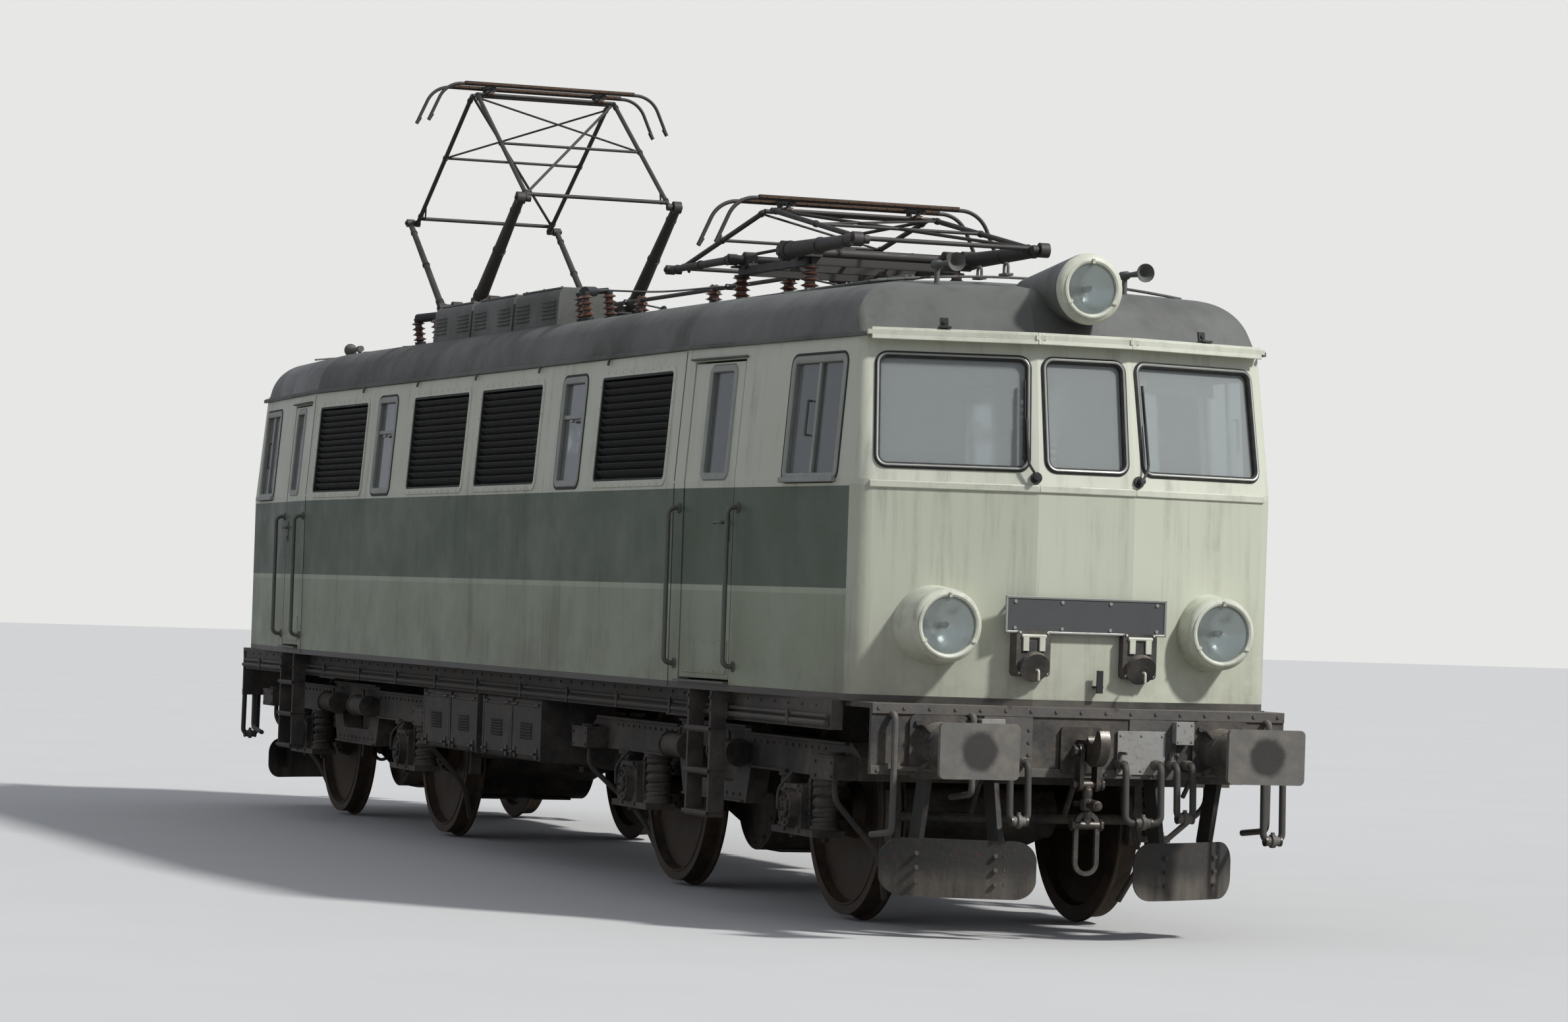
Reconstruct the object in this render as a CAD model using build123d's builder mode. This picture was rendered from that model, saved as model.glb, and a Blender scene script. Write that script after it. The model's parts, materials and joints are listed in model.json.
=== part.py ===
from build123d import *
from math import acos, asin, atan, cos, degrees, radians, sin, tan
import os

# Four-axle electric locomotive with two cabs, standing on its wheel flanges. Millimetres.
# +X points out of cab 1, +Y to its left and +Z up. The origin is on the floor, midway between the buffers.

# Main sizes
LENGTH_OVER_BUFFERS = 15915.0
BODY_WIDTH = 3038.0
FLANGE_DEPTH = 28.0
WHEEL_DIAMETER = 1250.0
PIVOT_SETBACK = 3087.5
BOGIE_WHEELBASE = 3050.0
RAIL = FLANGE_DEPTH
FIT = 0.3

# Body outline in plan
BUFFER_LENGTH = 620.0
HEADSTOCK_X = LENGTH_OVER_BUFFERS / 2 - BUFFER_LENGTH
FACE_SETBACK = 7.5
FACE_X = HEADSTOCK_X - FACE_SETBACK
CAB_DEPTH = 2830.0
TAPER_X = FACE_X - CAB_DEPTH
PIVOT_SPACING = 2 * (HEADSTOCK_X - PIVOT_SETBACK)
TAPER_ANGLE = 4.8
CENTRE_FACET_HALF = 300.0
FACET_ANGLE = 15.4

# Body outline in elevation
SILL_Z = RAIL + 1300.0
WAIST_Z = RAIL + 2560.0
CANTRAIL_Z = RAIL + 3370.0
ROOF_TOP_Z = RAIL + 3795.0
WALL_LEAN = 62.0
SHOULDER_BACK = 50.0
SHOULDER_RISE = 290.0
SHOULDER_RADIUS = 300.0
SHOULDER_SLOPE = 0.18
FACE_RAKE = 140.0
HOOD_BACK = 250.0
HOOD_RISE = 325.0
HOOD_RADIUS = 300.0
HOOD_SLOPE = 0.10
WALL = 70.0
BELOW = 600.0
FAR = 20000.0

# Rounded corners between the sides and the faces: height, radius in plan
CORNER_RADII = (
    (SILL_Z - BELOW, 160.0),
    (WAIST_Z, 130.0),
    (CANTRAIL_Z, 60.0),
    (CANTRAIL_Z + BELOW, 50.0),
)
SHARP_TURN = 0.5
LEAST_CORNER = 5.0
CORNER_MARGIN = 0.02

# Side openings between the cabs, as positions along the body from its middle
OPENING_BOTTOM_Z = RAIL + 2567.0
OPENING_HEIGHT = 700.0
OPENING_CORNER = 45.0
MIDDLE_POST = 300.0
INNER_PIER = 470.0
NARROW_WINDOW_WIDTH = 480.0
OUTER_PIER = 320.0
END_PIER = 200.0
LOUVRE_WIDTH = (TAPER_X - MIDDLE_POST / 2 - INNER_PIER - NARROW_WINDOW_WIDTH - OUTER_PIER - END_PIER) / 2
LOUVRE_CENTRES = ((MIDDLE_POST + LOUVRE_WIDTH) / 2, TAPER_X - END_PIER - LOUVRE_WIDTH / 2)
NARROW_WINDOW_CENTRE = MIDDLE_POST / 2 + LOUVRE_WIDTH + INNER_PIER + NARROW_WINDOW_WIDTH / 2
SLAT_PITCH = 48.0
SLAT_DEPTH = 52.0
SLAT_THICKNESS = 5.0
SLAT_TILT = 45.0
LOUVRE_FRAME = 26.0

# Cab doors and cab side windows
DOOR_SETBACK = 2670.0
DOOR_REAR_X = FACE_X - DOOR_SETBACK
DOOR_WIDTH = 720.0
DOOR_BOTTOM_Z = RAIL + 1370.0
DOOR_HEIGHT = 1910.0
DOOR_DEPTH = 3.0
DOOR_THICKNESS = 40.0
DOOR_GAP = 14.0
DOOR_CUT = 420.0
DOOR_WINDOW_WIDTH = 370.0
DOOR_WINDOW_FORWARD = 60.0
HINGE_HEIGHTS = (DOOR_BOTTOM_Z + 280.0, DOOR_BOTTOM_Z + 1000.0)
HINGE_SLEEVE = 70.0
HINGE_LUG = 16.0
HINGE_PLAY = 5.0
HINGE_PIN = 8.0
HINGE_RADIUS = 16.0
HINGE_REACH = 60.0
HINGE_ARM = 36.0
HINGE_SINK = 5.0
CAB_WINDOW_SETBACK = 910.0
CAB_WINDOW_CENTRE = FACE_X - CAB_WINDOW_SETBACK
CAB_WINDOW_WIDTH = 700.0
GLASS_DEPTH = 20.0
GLASS_THICKNESS = 8.0

# Windscreens
SCREEN_BOTTOM_Z = RAIL + 2640.0
SCREEN_HEIGHT = 640.0
SCREEN_CENTRE_WIDTH = 490.0
SCREEN_OUTER_WIDTH = 860.0
SCREEN_OUTER_OFFSET = 500.0
SCREEN_CORNER = 55.0
VISOR_REACH = 80.0
VISOR_THICKNESS = 26.0

GUTTER_Z = CANTRAIL_Z + 15.0
VISOR_LENGTH = 980.0
VISOR_OVERLAP = 40.0
LOUVRE_DEPTH = 46.0

# Cab interior
BULKHEAD_SETBACK = 2800.0
BULKHEAD_X = FACE_X - BULKHEAD_SETBACK
BULKHEAD_THICKNESS = 40.0
DOORWAY_WIDTH = 640.0
DOORWAY_HEIGHT = 1900.0
DOORWAY_Y = 700.0

# Headlamps
LAMP_Y = 850.0
LAMP_Z = RAIL + 1745.0
LAMP_STAND = 62.5
LAMP_FACE_X = FACE_X + LAMP_STAND
LAMP_RADIUS = 210.0
LAMP_BACK_RADIUS = 245.0
TOP_LAMP_Z = RAIL + 3690.0
TOP_LAMP_SETBACK = 22.5
TOP_LAMP_FACE_X = FACE_X - TOP_LAMP_SETBACK
TOP_LAMP_RADIUS = 205.0
TOP_LAMP_BACK_RADIUS = 108.0
TOP_LAMP_LENGTH = 900.0
LAMP_RIM = 42.0
TOP_LAMP_RIM = 53.0
LAMP_LENGTH = 400.0
LAMP_NECK = 75.0
QUARTER_MID = 1 - cos(radians(45.0))
LAMP_BOWL_DEPTH = 110.0
LENS_DEPTH = 14.0
LENS_BULGE = 22.0
LENS_THICKNESS = 6.0

# Underframe, buffers and drawgear
DECK_THICKNESS = 55.0
HEADSTOCK_THICKNESS = 30.0
HEADSTOCK_WIDTH = 2560.0
HEADSTOCK_BOTTOM_Z = RAIL + 900.0
HEADSTOCK_DEPTH = 420.0
SOLEBAR_Y = 1360.0
SOLEBAR_WIDTH = 70.0
SOLEBAR_DEPTH = 170.0
BOLSTER_LENGTH = 460.0
BOLSTER_DEPTH = 180.0
PIVOT_RADIUS = 110.0
PIVOT_BOTTOM_Z = RAIL + 640.0
BUFFER_Y = 875.0
BUFFER_Z = RAIL + 1060.0
BUFFER_HEAD_WIDTH = 475.0
BUFFER_HEAD_HEIGHT = 310.0
BUFFER_HEAD_THICKNESS = 32.0
BUFFER_HEAD_CORNER = 30.0
BUFFER_FLANGE = 360.0
BUFFER_FLANGE_CORNER = 45.0
BUFFER_FLANGE_THICKNESS = 24.0
BUFFER_CASING_RADIUS = 120.0
BUFFER_CASING_LENGTH = 370.0
BUFFER_ROOT_RADIUS = 150.0
BUFFER_ROOT_LENGTH = 92.0
BUFFER_COLLAR_RADIUS = 130.0
BUFFER_COLLAR_LENGTH = 37.0
PLUNGER_RADIUS = 88.0
HOOK_THICKNESS = 60.0
HOOK_EYE_RADIUS = 24.0
HOOK_GUIDE = 260.0
HOOK_GUIDE_CORNER = 26.0
HOOK_EYE_X = 120.0
HOOK_SHANK = 120.0
HOOK_SHANK_LENGTH = 150.0
HOOK_LENGTH = 340.0
HOOK_THROAT_X = 215.0
HOOK_THROAT_Z = 45.0
HOOK_THROAT = 40.0
HOOK_TIP_RISE = 120.0
HOOK_TIP_WIDTH = 35.0
HOOK_CHIN = 85.0
COUPLING_HALF = 52.0
COUPLING_BAR = 26.0
COUPLING_PLATE = 190.0
COUPLING_PLATE_WIDTH = 78.0
COUPLING_SCREW = 230.0
COUPLING_LINK = 210.0
HANDLE_LENGTH = 300.0
HANDLE_WIDTH = 39.0
DRAWGEAR_Y = 260.0
OUTER_CROSS_X = FACE_X - 1030.0
INNER_CROSS_X = 2200.0

# Bogies
FRAME_Y = 1040.0
FRAME_WIDTH = 130.0
FRAME_TOP_Z = RAIL + 1050.0
FRAME_BOTTOM_Z = RAIL + 835.0
FRAME_DROP_Z = RAIL + 610.0
FRAME_HALF_LENGTH = 2500.0
WHEEL_BACK_TO_BACK = 1360.0
RIM_WIDTH = 135.0
RIM_THICKNESS = 70.0
RIM_LIP = 20.0
TREAD_FALL = 4.0
FLANGE_WIDTH = 24.0
FLANGE_TIP = 10.0
FLANGE_ROOT = 50.0
WEB_SET = 45.0
WEB_THICKNESS = 34.0
HUB_RADIUS = 150.0
HUB_FLARE = 20.0
HUB_INNER = 20.0
HUB_OUTER = 10.0
AXLE_RADIUS = 88.0
JOURNAL_RADIUS = 62.0
RUNNING_GAP = 0.08
AXLE_Z = RAIL + WHEEL_DIAMETER / 2
SPRING_RADIUS = 80.0
SPRING_OFFSET = 270.0
SPRING_COILS = 5
SPRING_ROOT = 0.8
SPRING_FLAT = 0.3
FRAME_RISE = 40.0
FRAME_MIDDLE = 620.0
FRAME_NOSE = 160.0
FRAME_WINDOW = 200.0
GUIDE_WIDTH = 36.0
GUIDE_GAP = 3.0
GUIDE_FOOT = 25.0
GUIDE_DROP = 90.0
TRANSOM_HALF = 280.0
TRANSOM_BOTTOM_Z = RAIL + 660.0
TRANSOM_TOP_Z = RAIL + 960.0
END_BEAM = 150.0
SANDBOX_X = 2130.0
SANDBOX_LENGTH = 320.0
SANDBOX_WIDTH = 150.0
AXLEBOX_HALF = 150.0
AXLEBOX_CORNER = 30.0
AXLEBOX_INNER_Y = 950.0
AXLEBOX_OUTER_Y = 1150.0
JOURNAL_END_Y = 1120.0
SEAT_THICKNESS = 40.0
COVER_RADIUS = 115.0
COVER_DEPTH = 45.0
COVER_TAPER = 12.0
MOTOR_Z = AXLE_Z
MOTOR_NOSE = 120.0
MOTOR_YOKE_LENGTH = 940.0
MOTOR_YOKE_RISE = 304.0
SLEEVE_RADIUS = 150.0
BRAKE_Y = 768.0
BRAKE_WIDTH = 80.0
BRAKE_HEIGHT = 300.0
HANGER_WIDTH = 46.0
HANGER_SET = 44.0
HANGER_TOP_Z = RAIL + 960.0
MOTOR_RADIUS = 380.0
MOTOR_LENGTH = 980.0
MOTOR_OFFSET = 640.0
BRAKE_GAP = 8.0
BRAKE_THICKNESS = 55.0

# Gear below the body
BATTERY_CLEARANCE = 300.0
BATTERY_GAP = 120.0
BATTERY_REACH = PIVOT_SPACING / 2 - FRAME_HALF_LENGTH - BATTERY_CLEARANCE
BATTERY_BOXES = ((-BATTERY_REACH, -BATTERY_GAP / 2), (BATTERY_GAP / 2, BATTERY_REACH))
BATTERY_INNER_Y = 830.0
BATTERY_OUTER_Y = 1350.0
BATTERY_BOTTOM_Z = RAIL + 700.0
BATTERY_CORNER = 40.0
SOLEBAR_BOTTOM_Z = SILL_Z - SOLEBAR_DEPTH
RESERVOIR_Y = 330.0
RESERVOIR_Z = RAIL + 800.0
RESERVOIR_RADIUS = 200.0
RESERVOIR_INSET = 300.0
RESERVOIR_HALF = BATTERY_REACH - RESERVOIR_INSET
RESERVOIR_DISH = 90.0
STRAP_INSET = 450.0
STRAP_X = RESERVOIR_HALF - STRAP_INSET
STRAP_WIDTH = 60.0
STRAP_THICKNESS = 8.0
GUARD_REACH = 120.0
GUARD_FRONT_X = HEADSTOCK_X + GUARD_REACH
GUARD_CORNER = 120.0
GUARD_SWEEP = 400.0
GUARD_MID_SWEEP = 140.0
GUARD_RIBS = ((500.0, 55.0), (900.0, 255.0))
GUARD_INNER_Y = 300.0
GUARD_OUTER_Y = 1100.0
GUARD_BOTTOM_Z = RAIL + 210.0
GUARD_HEIGHT = 330.0
GUARD_THICKNESS = 14.0
GUARD_RIB = 30.0
GUARD_MID_Y = (GUARD_INNER_Y + GUARD_OUTER_Y) / 2
GUARD_MID_Z = GUARD_BOTTOM_Z + GUARD_HEIGHT / 2
GUARD_FOOT = 160.0
STEP_Y = 1440.0
STEP_WIDTH = 400.0
STEP_BAR = 30.0
STEP_TREAD = 100.0
STEP_BOTTOM_Z = RAIL + 540.0
STEP_COUNT = 3
RAIL_OFFSET = 75.0
HANDRAIL_BOTTOM_Z = RAIL + 1450.0
HANDRAIL_TOP_Z = RAIL + 2400.0
HANDRAIL_REACH = 70.0
HANDRAIL_RADIUS = 15.0
HANDRAIL_BEND = 42.0

# Fittings of the cab face
SOCKET_Y = 330.0
SOCKET_Z = RAIL + 1600.0
SOCKET_WIDTH = 210.0
SOCKET_HEIGHT = 260.0
SOCKET_DEPTH = 60.0
SOCKET_CORNER = 26.0
SOCKET_CAP_RADIUS = 88.0
SOCKET_CAP_DEPTH = 36.0
SOCKET_CAP_DROP = 65.0
SOCKET_CAP_TILT = 26.6
HOSES = ((-420.0, 330.0, 110.0), (350.0, 330.0, 220.0), (610.0, 300.0, 100.0), (1170.0, 420.0, 120.0))
HOSE_Z = RAIL + 985.0
HOSE_REACH = 110.0
HOSE_BOW = 126.0
HOSE_BEND = 45.0
HOSE_RADIUS = 20.0

# Cab fittings and machine room
DESK_HALF_WIDTH = 1180.0
DESK_SETBACK = 770.0
DESK_REAR_X = FACE_X - DESK_SETBACK
DESK_KNEE = 620.0
DESK_HEIGHT = 960.0
DESK_LIP = 40.0
DESK_TOP = 180.0
SEAT_SETBACK = 1180.0
SEAT_X = FACE_X - SEAT_SETBACK
SEAT_Y = 700.0
SEAT_FOOT = 110.0
SEAT_HEIGHT = 560.0
SEAT_CUSHION = 90.0
SEAT_BACK_ROOT = 90.0
SEAT_BACK_TOP = 63.0
SEAT_BACK_LEAN = 45.0
SEAT_SIZE = 460.0
SEAT_CORNER = 76.0
MACHINE_END_GAP = 1330.0
MACHINE_HALF_WIDTH = 750.0
MACHINE_HEIGHT = 1500.0

# Roof equipment
ROOF_BOX_INNER_Y = 800.0
ROOF_BOX_OUTER_Y = 1190.0
ROOF_BOX_TOP_Z = RAIL + 3962.0
ROOF_BOX_CORNER = 60.0
ROOF_BOX_SLOPE = 30.0
ROOF_BOX_BASE_Z = CANTRAIL_Z + 145.0
ROOF_BOX_SPANS = ((-2180.0, -1230.0), (-1180.0, -180.0), (-130.0, 900.0))
HORN_SETBACK = 730.0
HORN_X = FACE_X - HORN_SETBACK
HORN_Y = 600.0
HORN_Z = RAIL + 3845.0
HORN_SINK = 60.0
HORN_BACK = 220.0
HORN_CHAMBER_RADIUS = 26.0
HORN_CHAMBER = 70.0
HORN_THROAT_RADIUS = 14.0
HORN_THROAT = 90.0
HORN_FLARE_START = 40.0
HORN_FLARE_RADIUS = 20.0
HORN_MOUTH = 110.0
HORN_MOUTH_RADIUS = 55.0
HORN_LIP = 10.0
HORN_BORE_RADIUS = 8.0
HORN_BORE_DEPTH = 60.0
HORN_POST_BACK = 180.0
HORN_POST_RADIUS = 16.0

# Pantographs
PANTOGRAPH_SETBACK = 3930.0
PANTOGRAPH_X = FACE_X - PANTOGRAPH_SETBACK
SHAFT_X = 500.0
SHAFT_Z = RAIL + 4070.0
LOWER_ARM = 1250.0
UPPER_ARM = 1710.0
APEX_HALF_GAP = 65.0
LOWER_ARM_Y = 620.0
UPPER_ARM_Y = 560.0
LOWERED_ANGLE = 0.0
RAISED_ANGLE = 36.0
SHAFT_RADIUS = 32.0
BEARING_RADIUS = 50.0
BASE_Y = 500.0
BASE_HALF = 640.0
BASE_BAR = 50.0
BASE_Z = RAIL + 3980.0
KNEE_BOSS = 60.0
KNEE_WALL = 10.0
KNEE_PIN = 13.0
KNEE_PIN_Y = 537.0
KNEE_EYE = 36.0
KNEE_BAR_BACK = 70.0
UPPER_RADIUS = 17.0
APEX_RADIUS = 15.0
BRACE_RADIUS = 11.0
HEAD_HALF_WIDTH = 975.0
HEAD_BEND_Y = 840.0
HEAD_DROP = 300.0
HEAD_BEND = 200.0
HORN_TUBE = 13.0
STRIP_X = 170.0
STRIP_RISE = 85.0
STRIP_DEPTH = 8.0
STRIP_WIDTH = 44.0
STRIP_HALF = 690.0
HEAD_BAR_Y = 450.0
HEAD_BAR = 24.0

# Roof insulators and busbar
INSULATOR_HEIGHT = 190.0
INSULATOR_SINK = 60.0
INSULATOR_CORE = 34.0
INSULATOR_SHED = 62.0
INSULATOR_SHEDS = 5
INSULATOR_FOOT = 44.0
SHED_LOW = 0.25
SHED_TIP = 0.5
SHED_HIGH = 0.9
BUSBAR_Z = RAIL + 4000.0
BUSBAR_OUTER = PANTOGRAPH_X - BASE_HALF - 460.0
BUSBAR_INNER = 800.0
BUSBAR_POSTS = (-BUSBAR_OUTER, -BUSBAR_INNER, BUSBAR_INNER, BUSBAR_OUTER)
BUSBAR_RADIUS = 15.0

os.makedirs("parts", exist_ok=True)


def save(piece, name):
    piece.label = name
    export_step(piece, f"parts/{name}.step")
    print(f"{name}: {len(piece.solids())} solids")


# Panels of the outer wall: x, y, heading of the outward normal in degrees
HALF_WIDTH = BODY_WIDTH / 2
SIDE_PANELS = [(0.0, side * HALF_WIDTH, side * 90.0) for side in (1, -1)]
TAPER_PANELS = {
    (end, side): (end * TAPER_X, side * HALF_WIDTH, side * (90.0 - end * TAPER_ANGLE))
    for end in (1, -1)
    for side in (1, -1)
}
FACE_PANELS = {
    (end, side): (
        end * FACE_X,
        side * CENTRE_FACET_HALF,
        (0.0 if end > 0 else 180.0) + end * side * FACET_ANGLE,
    )
    for end in (1, -1)
    for side in (-1, 0, 1)
}


def profile_plane(panel):
    # Upright plane through the panel's outward normal: local x outward, local y up
    x, y, heading = panel
    angle = radians(heading)
    return Plane(origin=(x, y, 0), x_dir=(cos(angle), sin(angle), 0), z_dir=(sin(angle), -cos(angle), 0))


def lean_angle(lean):
    return atan(lean / (CANTRAIL_Z - WAIST_Z))


def leaning_plane(panel, lean, along, z):
    # Plane on the leaning upper part of a panel: local x along the wall, local y up it, local z outward
    x, y, heading = panel
    angle = radians(heading)
    tilt = lean_angle(lean)
    back = (z - WAIST_Z) * tan(tilt)
    origin = (x - sin(angle) * along - cos(angle) * back, y + cos(angle) * along - sin(angle) * back, z)
    normal = (cos(angle) * cos(tilt), sin(angle) * cos(tilt), sin(tilt))
    return Plane(origin=origin, x_dir=(-sin(angle), cos(angle), 0), z_dir=normal)


def along_at(panel, x):
    # Distance along a side panel from its own origin to a position along the body
    return (panel[0] - x) / sin(radians(panel[2]))


def wall_profile(inset, lean, back, rise, radius, slope):
    # Half section of the body at right angles to one wall, with the wall's foot line at x = 0
    shoulder = (-lean - back, CANTRAIL_Z + rise)
    with BuildSketch() as half:
        with BuildLine():
            Polyline(
                (-FAR, SILL_Z - BELOW),
                (0, SILL_Z - BELOW),
                (0, WAIST_Z),
                (-lean, CANTRAIL_Z),
                shoulder,
                (-FAR, shoulder[1] + slope * (FAR + shoulder[0])),
                close=True,
            )
        make_face()
        fillet(half.vertices().sort_by_distance((shoulder[0], shoulder[1], 0))[0], radius)
        if inset:
            offset(amount=-inset, kind=Kind.INTERSECTION, mode=Mode.REPLACE)
    return half.sketch


def setback(lean, back, rise, z):
    # How far a wall has moved inward at a height, and its slope there
    if z <= WAIST_Z:
        return 0.0, 0.0
    if z <= CANTRAIL_Z:
        slope = lean / (CANTRAIL_Z - WAIST_Z)
        return slope * (z - WAIST_Z), slope
    return lean + back * (z - CANTRAIL_Z) / rise, back / rise


def rounded_section(inset, z, radius):
    # Level section of the walls with its sharp corners rounded, a hair outside them everywhere else
    lines = []
    for panels, lean, back, rise in (
        (SIDE_PANELS, WALL_LEAN, SHOULDER_BACK, SHOULDER_RISE),
        (TAPER_PANELS.values(), WALL_LEAN, SHOULDER_BACK, SHOULDER_RISE),
        (FACE_PANELS.values(), FACE_RAKE, HOOD_BACK, HOOD_RISE),
    ):
        moved, slope = setback(lean, back, rise, z)
        depth = moved + (inset - CORNER_MARGIN) * (1 + slope**2) ** 0.5
        for x, y, heading in panels:
            angle = radians(heading % 360)
            lines.append((angle, x * cos(angle) + y * sin(angle) - depth))
    lines.sort()
    corners = []
    for (angle, reach), (next_angle, next_reach) in zip(lines, lines[1:] + lines[:1]):
        turn = sin(next_angle - angle)
        x = (reach * sin(next_angle) - next_reach * sin(angle)) / turn
        y = (next_reach * cos(angle) - reach * cos(next_angle)) / turn
        corners.append((x, y, turn))
    with BuildSketch(Plane.XY.offset(z)) as section:
        with BuildLine():
            Polyline(*[(x, y) for x, y, turn in corners], close=True)
        make_face()
        sharp = [(x, y, z) for x, y, turn in corners if turn > SHARP_TURN]
        vertices = [section.vertices().sort_by_distance(corner)[0] for corner in sharp]
        fillet(vertices, max(radius - inset, LEAST_CORNER))
    return section.sketch


def envelope(inset):
    # Whole body as one block, inset from the outside face of every wall and of the roof
    side = wall_profile(inset, WALL_LEAN, SHOULDER_BACK, SHOULDER_RISE, SHOULDER_RADIUS, SHOULDER_SLOPE)
    face = wall_profile(inset, FACE_RAKE, HOOD_BACK, HOOD_RISE, HOOD_RADIUS, HOOD_SLOPE)
    crown_y = HALF_WIDTH - WALL_LEAN - SHOULDER_BACK
    crown_low = CANTRAIL_Z + SHOULDER_RISE - inset
    with BuildPart() as block:
        with BuildSketch(Plane.YZ.offset(-FAR)):
            with BuildLine():
                Polyline(
                    (-crown_y, crown_low),
                    (-BODY_WIDTH, crown_low),
                    (-BODY_WIDTH, 0),
                    (BODY_WIDTH, 0),
                    (BODY_WIDTH, crown_low),
                    (crown_y, crown_low),
                )
                ThreePointArc((-crown_y, crown_low), (0, ROOF_TOP_Z - inset), (crown_y, crown_low))
            make_face()
        extrude(amount=2 * FAR)
        walls = [(panel, side) for panel in [*SIDE_PANELS, *TAPER_PANELS.values()]]
        walls += [(panel, face) for panel in FACE_PANELS.values()]
        for panel, profile in walls:
            with BuildSketch(profile_plane(panel)):
                add(profile)
            extrude(amount=FAR, both=True, mode=Mode.INTERSECT)
        for z, radius in CORNER_RADII:
            add(rounded_section(inset, z, radius))
        loft(ruled=True, mode=Mode.INTERSECT)
    return block.part


def slab(x_low, x_high, z_low, z_high, y_low=-FAR, y_high=FAR):
    # Block between given planes, for cutting a piece out of the body
    with BuildPart(Plane.XY.offset(z_low)) as block:
        with Locations(((x_low + x_high) / 2, (y_low + y_high) / 2)):
            Box(x_high - x_low, y_high - y_low, z_high - z_low, align=(Align.CENTER, Align.CENTER, Align.MIN))
    return block.part


def prism(plane, width, height, corner, depth_in, depth_out):
    # Rounded block through a wall, centred on the plane's own origin
    with BuildPart() as block:
        with BuildSketch(plane.offset(-depth_in)):
            RectangleRounded(width, height, corner)
        extrude(amount=depth_in + depth_out)
    return block.part


def pane(plane, width, height, corner):
    # Flat glass set back in its opening
    return prism(
        plane.offset(-GLASS_DEPTH - GLASS_THICKNESS),
        width - 2 * FIT,
        height - 2 * FIT,
        corner,
        0.0,
        GLASS_THICKNESS,
    )


OUTER = envelope(0.0)
INNER = envelope(WALL)
OUTER_DOOR = envelope(DOOR_DEPTH)
INNER_DOOR = envelope(DOOR_DEPTH + DOOR_THICKNESS)

# Openings in the walls: plane at the opening's centre, width, height, corner radius
SIDE_MID_Z = OPENING_BOTTOM_Z + OPENING_HEIGHT / 2
SCREEN_MID_Z = SCREEN_BOTTOM_Z + SCREEN_HEIGHT / 2
DOOR_CENTRE_X = DOOR_REAR_X + DOOR_WIDTH / 2
DOOR_TOP_Z = DOOR_BOTTOM_Z + DOOR_HEIGHT
HINGE_DEPTH = DOOR_DEPTH + DOOR_THICKNESS + (DOOR_TOP_Z - WAIST_Z) * tan(lean_angle(WALL_LEAN))
LOUVRES = [
    leaning_plane(panel, WALL_LEAN, along_at(panel, end * centre), SIDE_MID_Z)
    for panel in SIDE_PANELS
    for end in (1, -1)
    for centre in LOUVRE_CENTRES
]
NARROW_WINDOWS = [
    leaning_plane(panel, WALL_LEAN, along_at(panel, end * NARROW_WINDOW_CENTRE), SIDE_MID_Z)
    for panel in SIDE_PANELS
    for end in (1, -1)
]
CAB_WINDOWS = [
    leaning_plane(panel, WALL_LEAN, along_at(panel, end * CAB_WINDOW_CENTRE), SIDE_MID_Z)
    for (end, side), panel in TAPER_PANELS.items()
]
DOOR_WINDOWS = {
    (end, side): leaning_plane(
        panel, WALL_LEAN, along_at(panel, end * (DOOR_CENTRE_X + DOOR_WINDOW_FORWARD)), SIDE_MID_Z
    )
    for (end, side), panel in TAPER_PANELS.items()
}
SCREENS = [
    (
        leaning_plane(panel, FACE_RAKE, end * side * SCREEN_OUTER_OFFSET, SCREEN_MID_Z),
        SCREEN_OUTER_WIDTH if side else SCREEN_CENTRE_WIDTH,
    )
    for (end, side), panel in FACE_PANELS.items()
]


def door_plane(end, side, along, depth, z):
    # Level plane at a place in a cab door's panel: local x along the wall, local y inward
    panel = TAPER_PANELS[end, side]
    x, y, heading = panel
    distance = along_at(panel, end * DOOR_CENTRE_X) + along
    angle = radians(heading)
    x -= sin(angle) * distance + cos(angle) * depth
    y += cos(angle) * distance - sin(angle) * depth
    return Plane(origin=(x, y, z), x_dir=(-sin(angle), cos(angle), 0), z_dir=(0, 0, 1))


def door_block(end, side, margin):
    # Upright block through the wall at a cab door
    with BuildPart() as block:
        with BuildSketch(door_plane(end, side, 0.0, 0.0, DOOR_BOTTOM_Z - margin)):
            Rectangle(DOOR_WIDTH + 2 * margin, DOOR_CUT)
        extrude(amount=DOOR_HEIGHT + 2 * margin)
    return block.part


def hinge_plane(end, side, z):
    # Level plane on a cab door's hinge line, at the rear edge of the door
    return door_plane(end, side, end * side * DOOR_WIDTH / 2, HINGE_DEPTH, z)


def hinge_lugs(end, side):
    # Fixed half of a cab door's hinges: lugs on the wall and a pin through each sleeve of the door
    root = WALL - HINGE_SINK - HINGE_DEPTH
    lug_middle = (end * side * (HINGE_REACH - HINGE_RADIUS) / 2, (root + HINGE_RADIUS) / 2)
    with BuildPart() as lugs:
        for z in HINGE_HEIGHTS:
            pin_low = z - HINGE_SLEEVE / 2 - HINGE_PLAY
            pin_high = z + HINGE_SLEEVE / 2 + HINGE_PLAY
            for low in (pin_low - HINGE_LUG, pin_high):
                with BuildSketch(hinge_plane(end, side, low)):
                    with Locations(lug_middle):
                        Rectangle(HINGE_REACH + HINGE_RADIUS, HINGE_RADIUS - root)
                extrude(amount=HINGE_LUG)
            with BuildSketch(hinge_plane(end, side, pin_low)):
                Circle(HINGE_PIN)
            extrude(amount=pin_high - pin_low)
    return lugs.part


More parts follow.
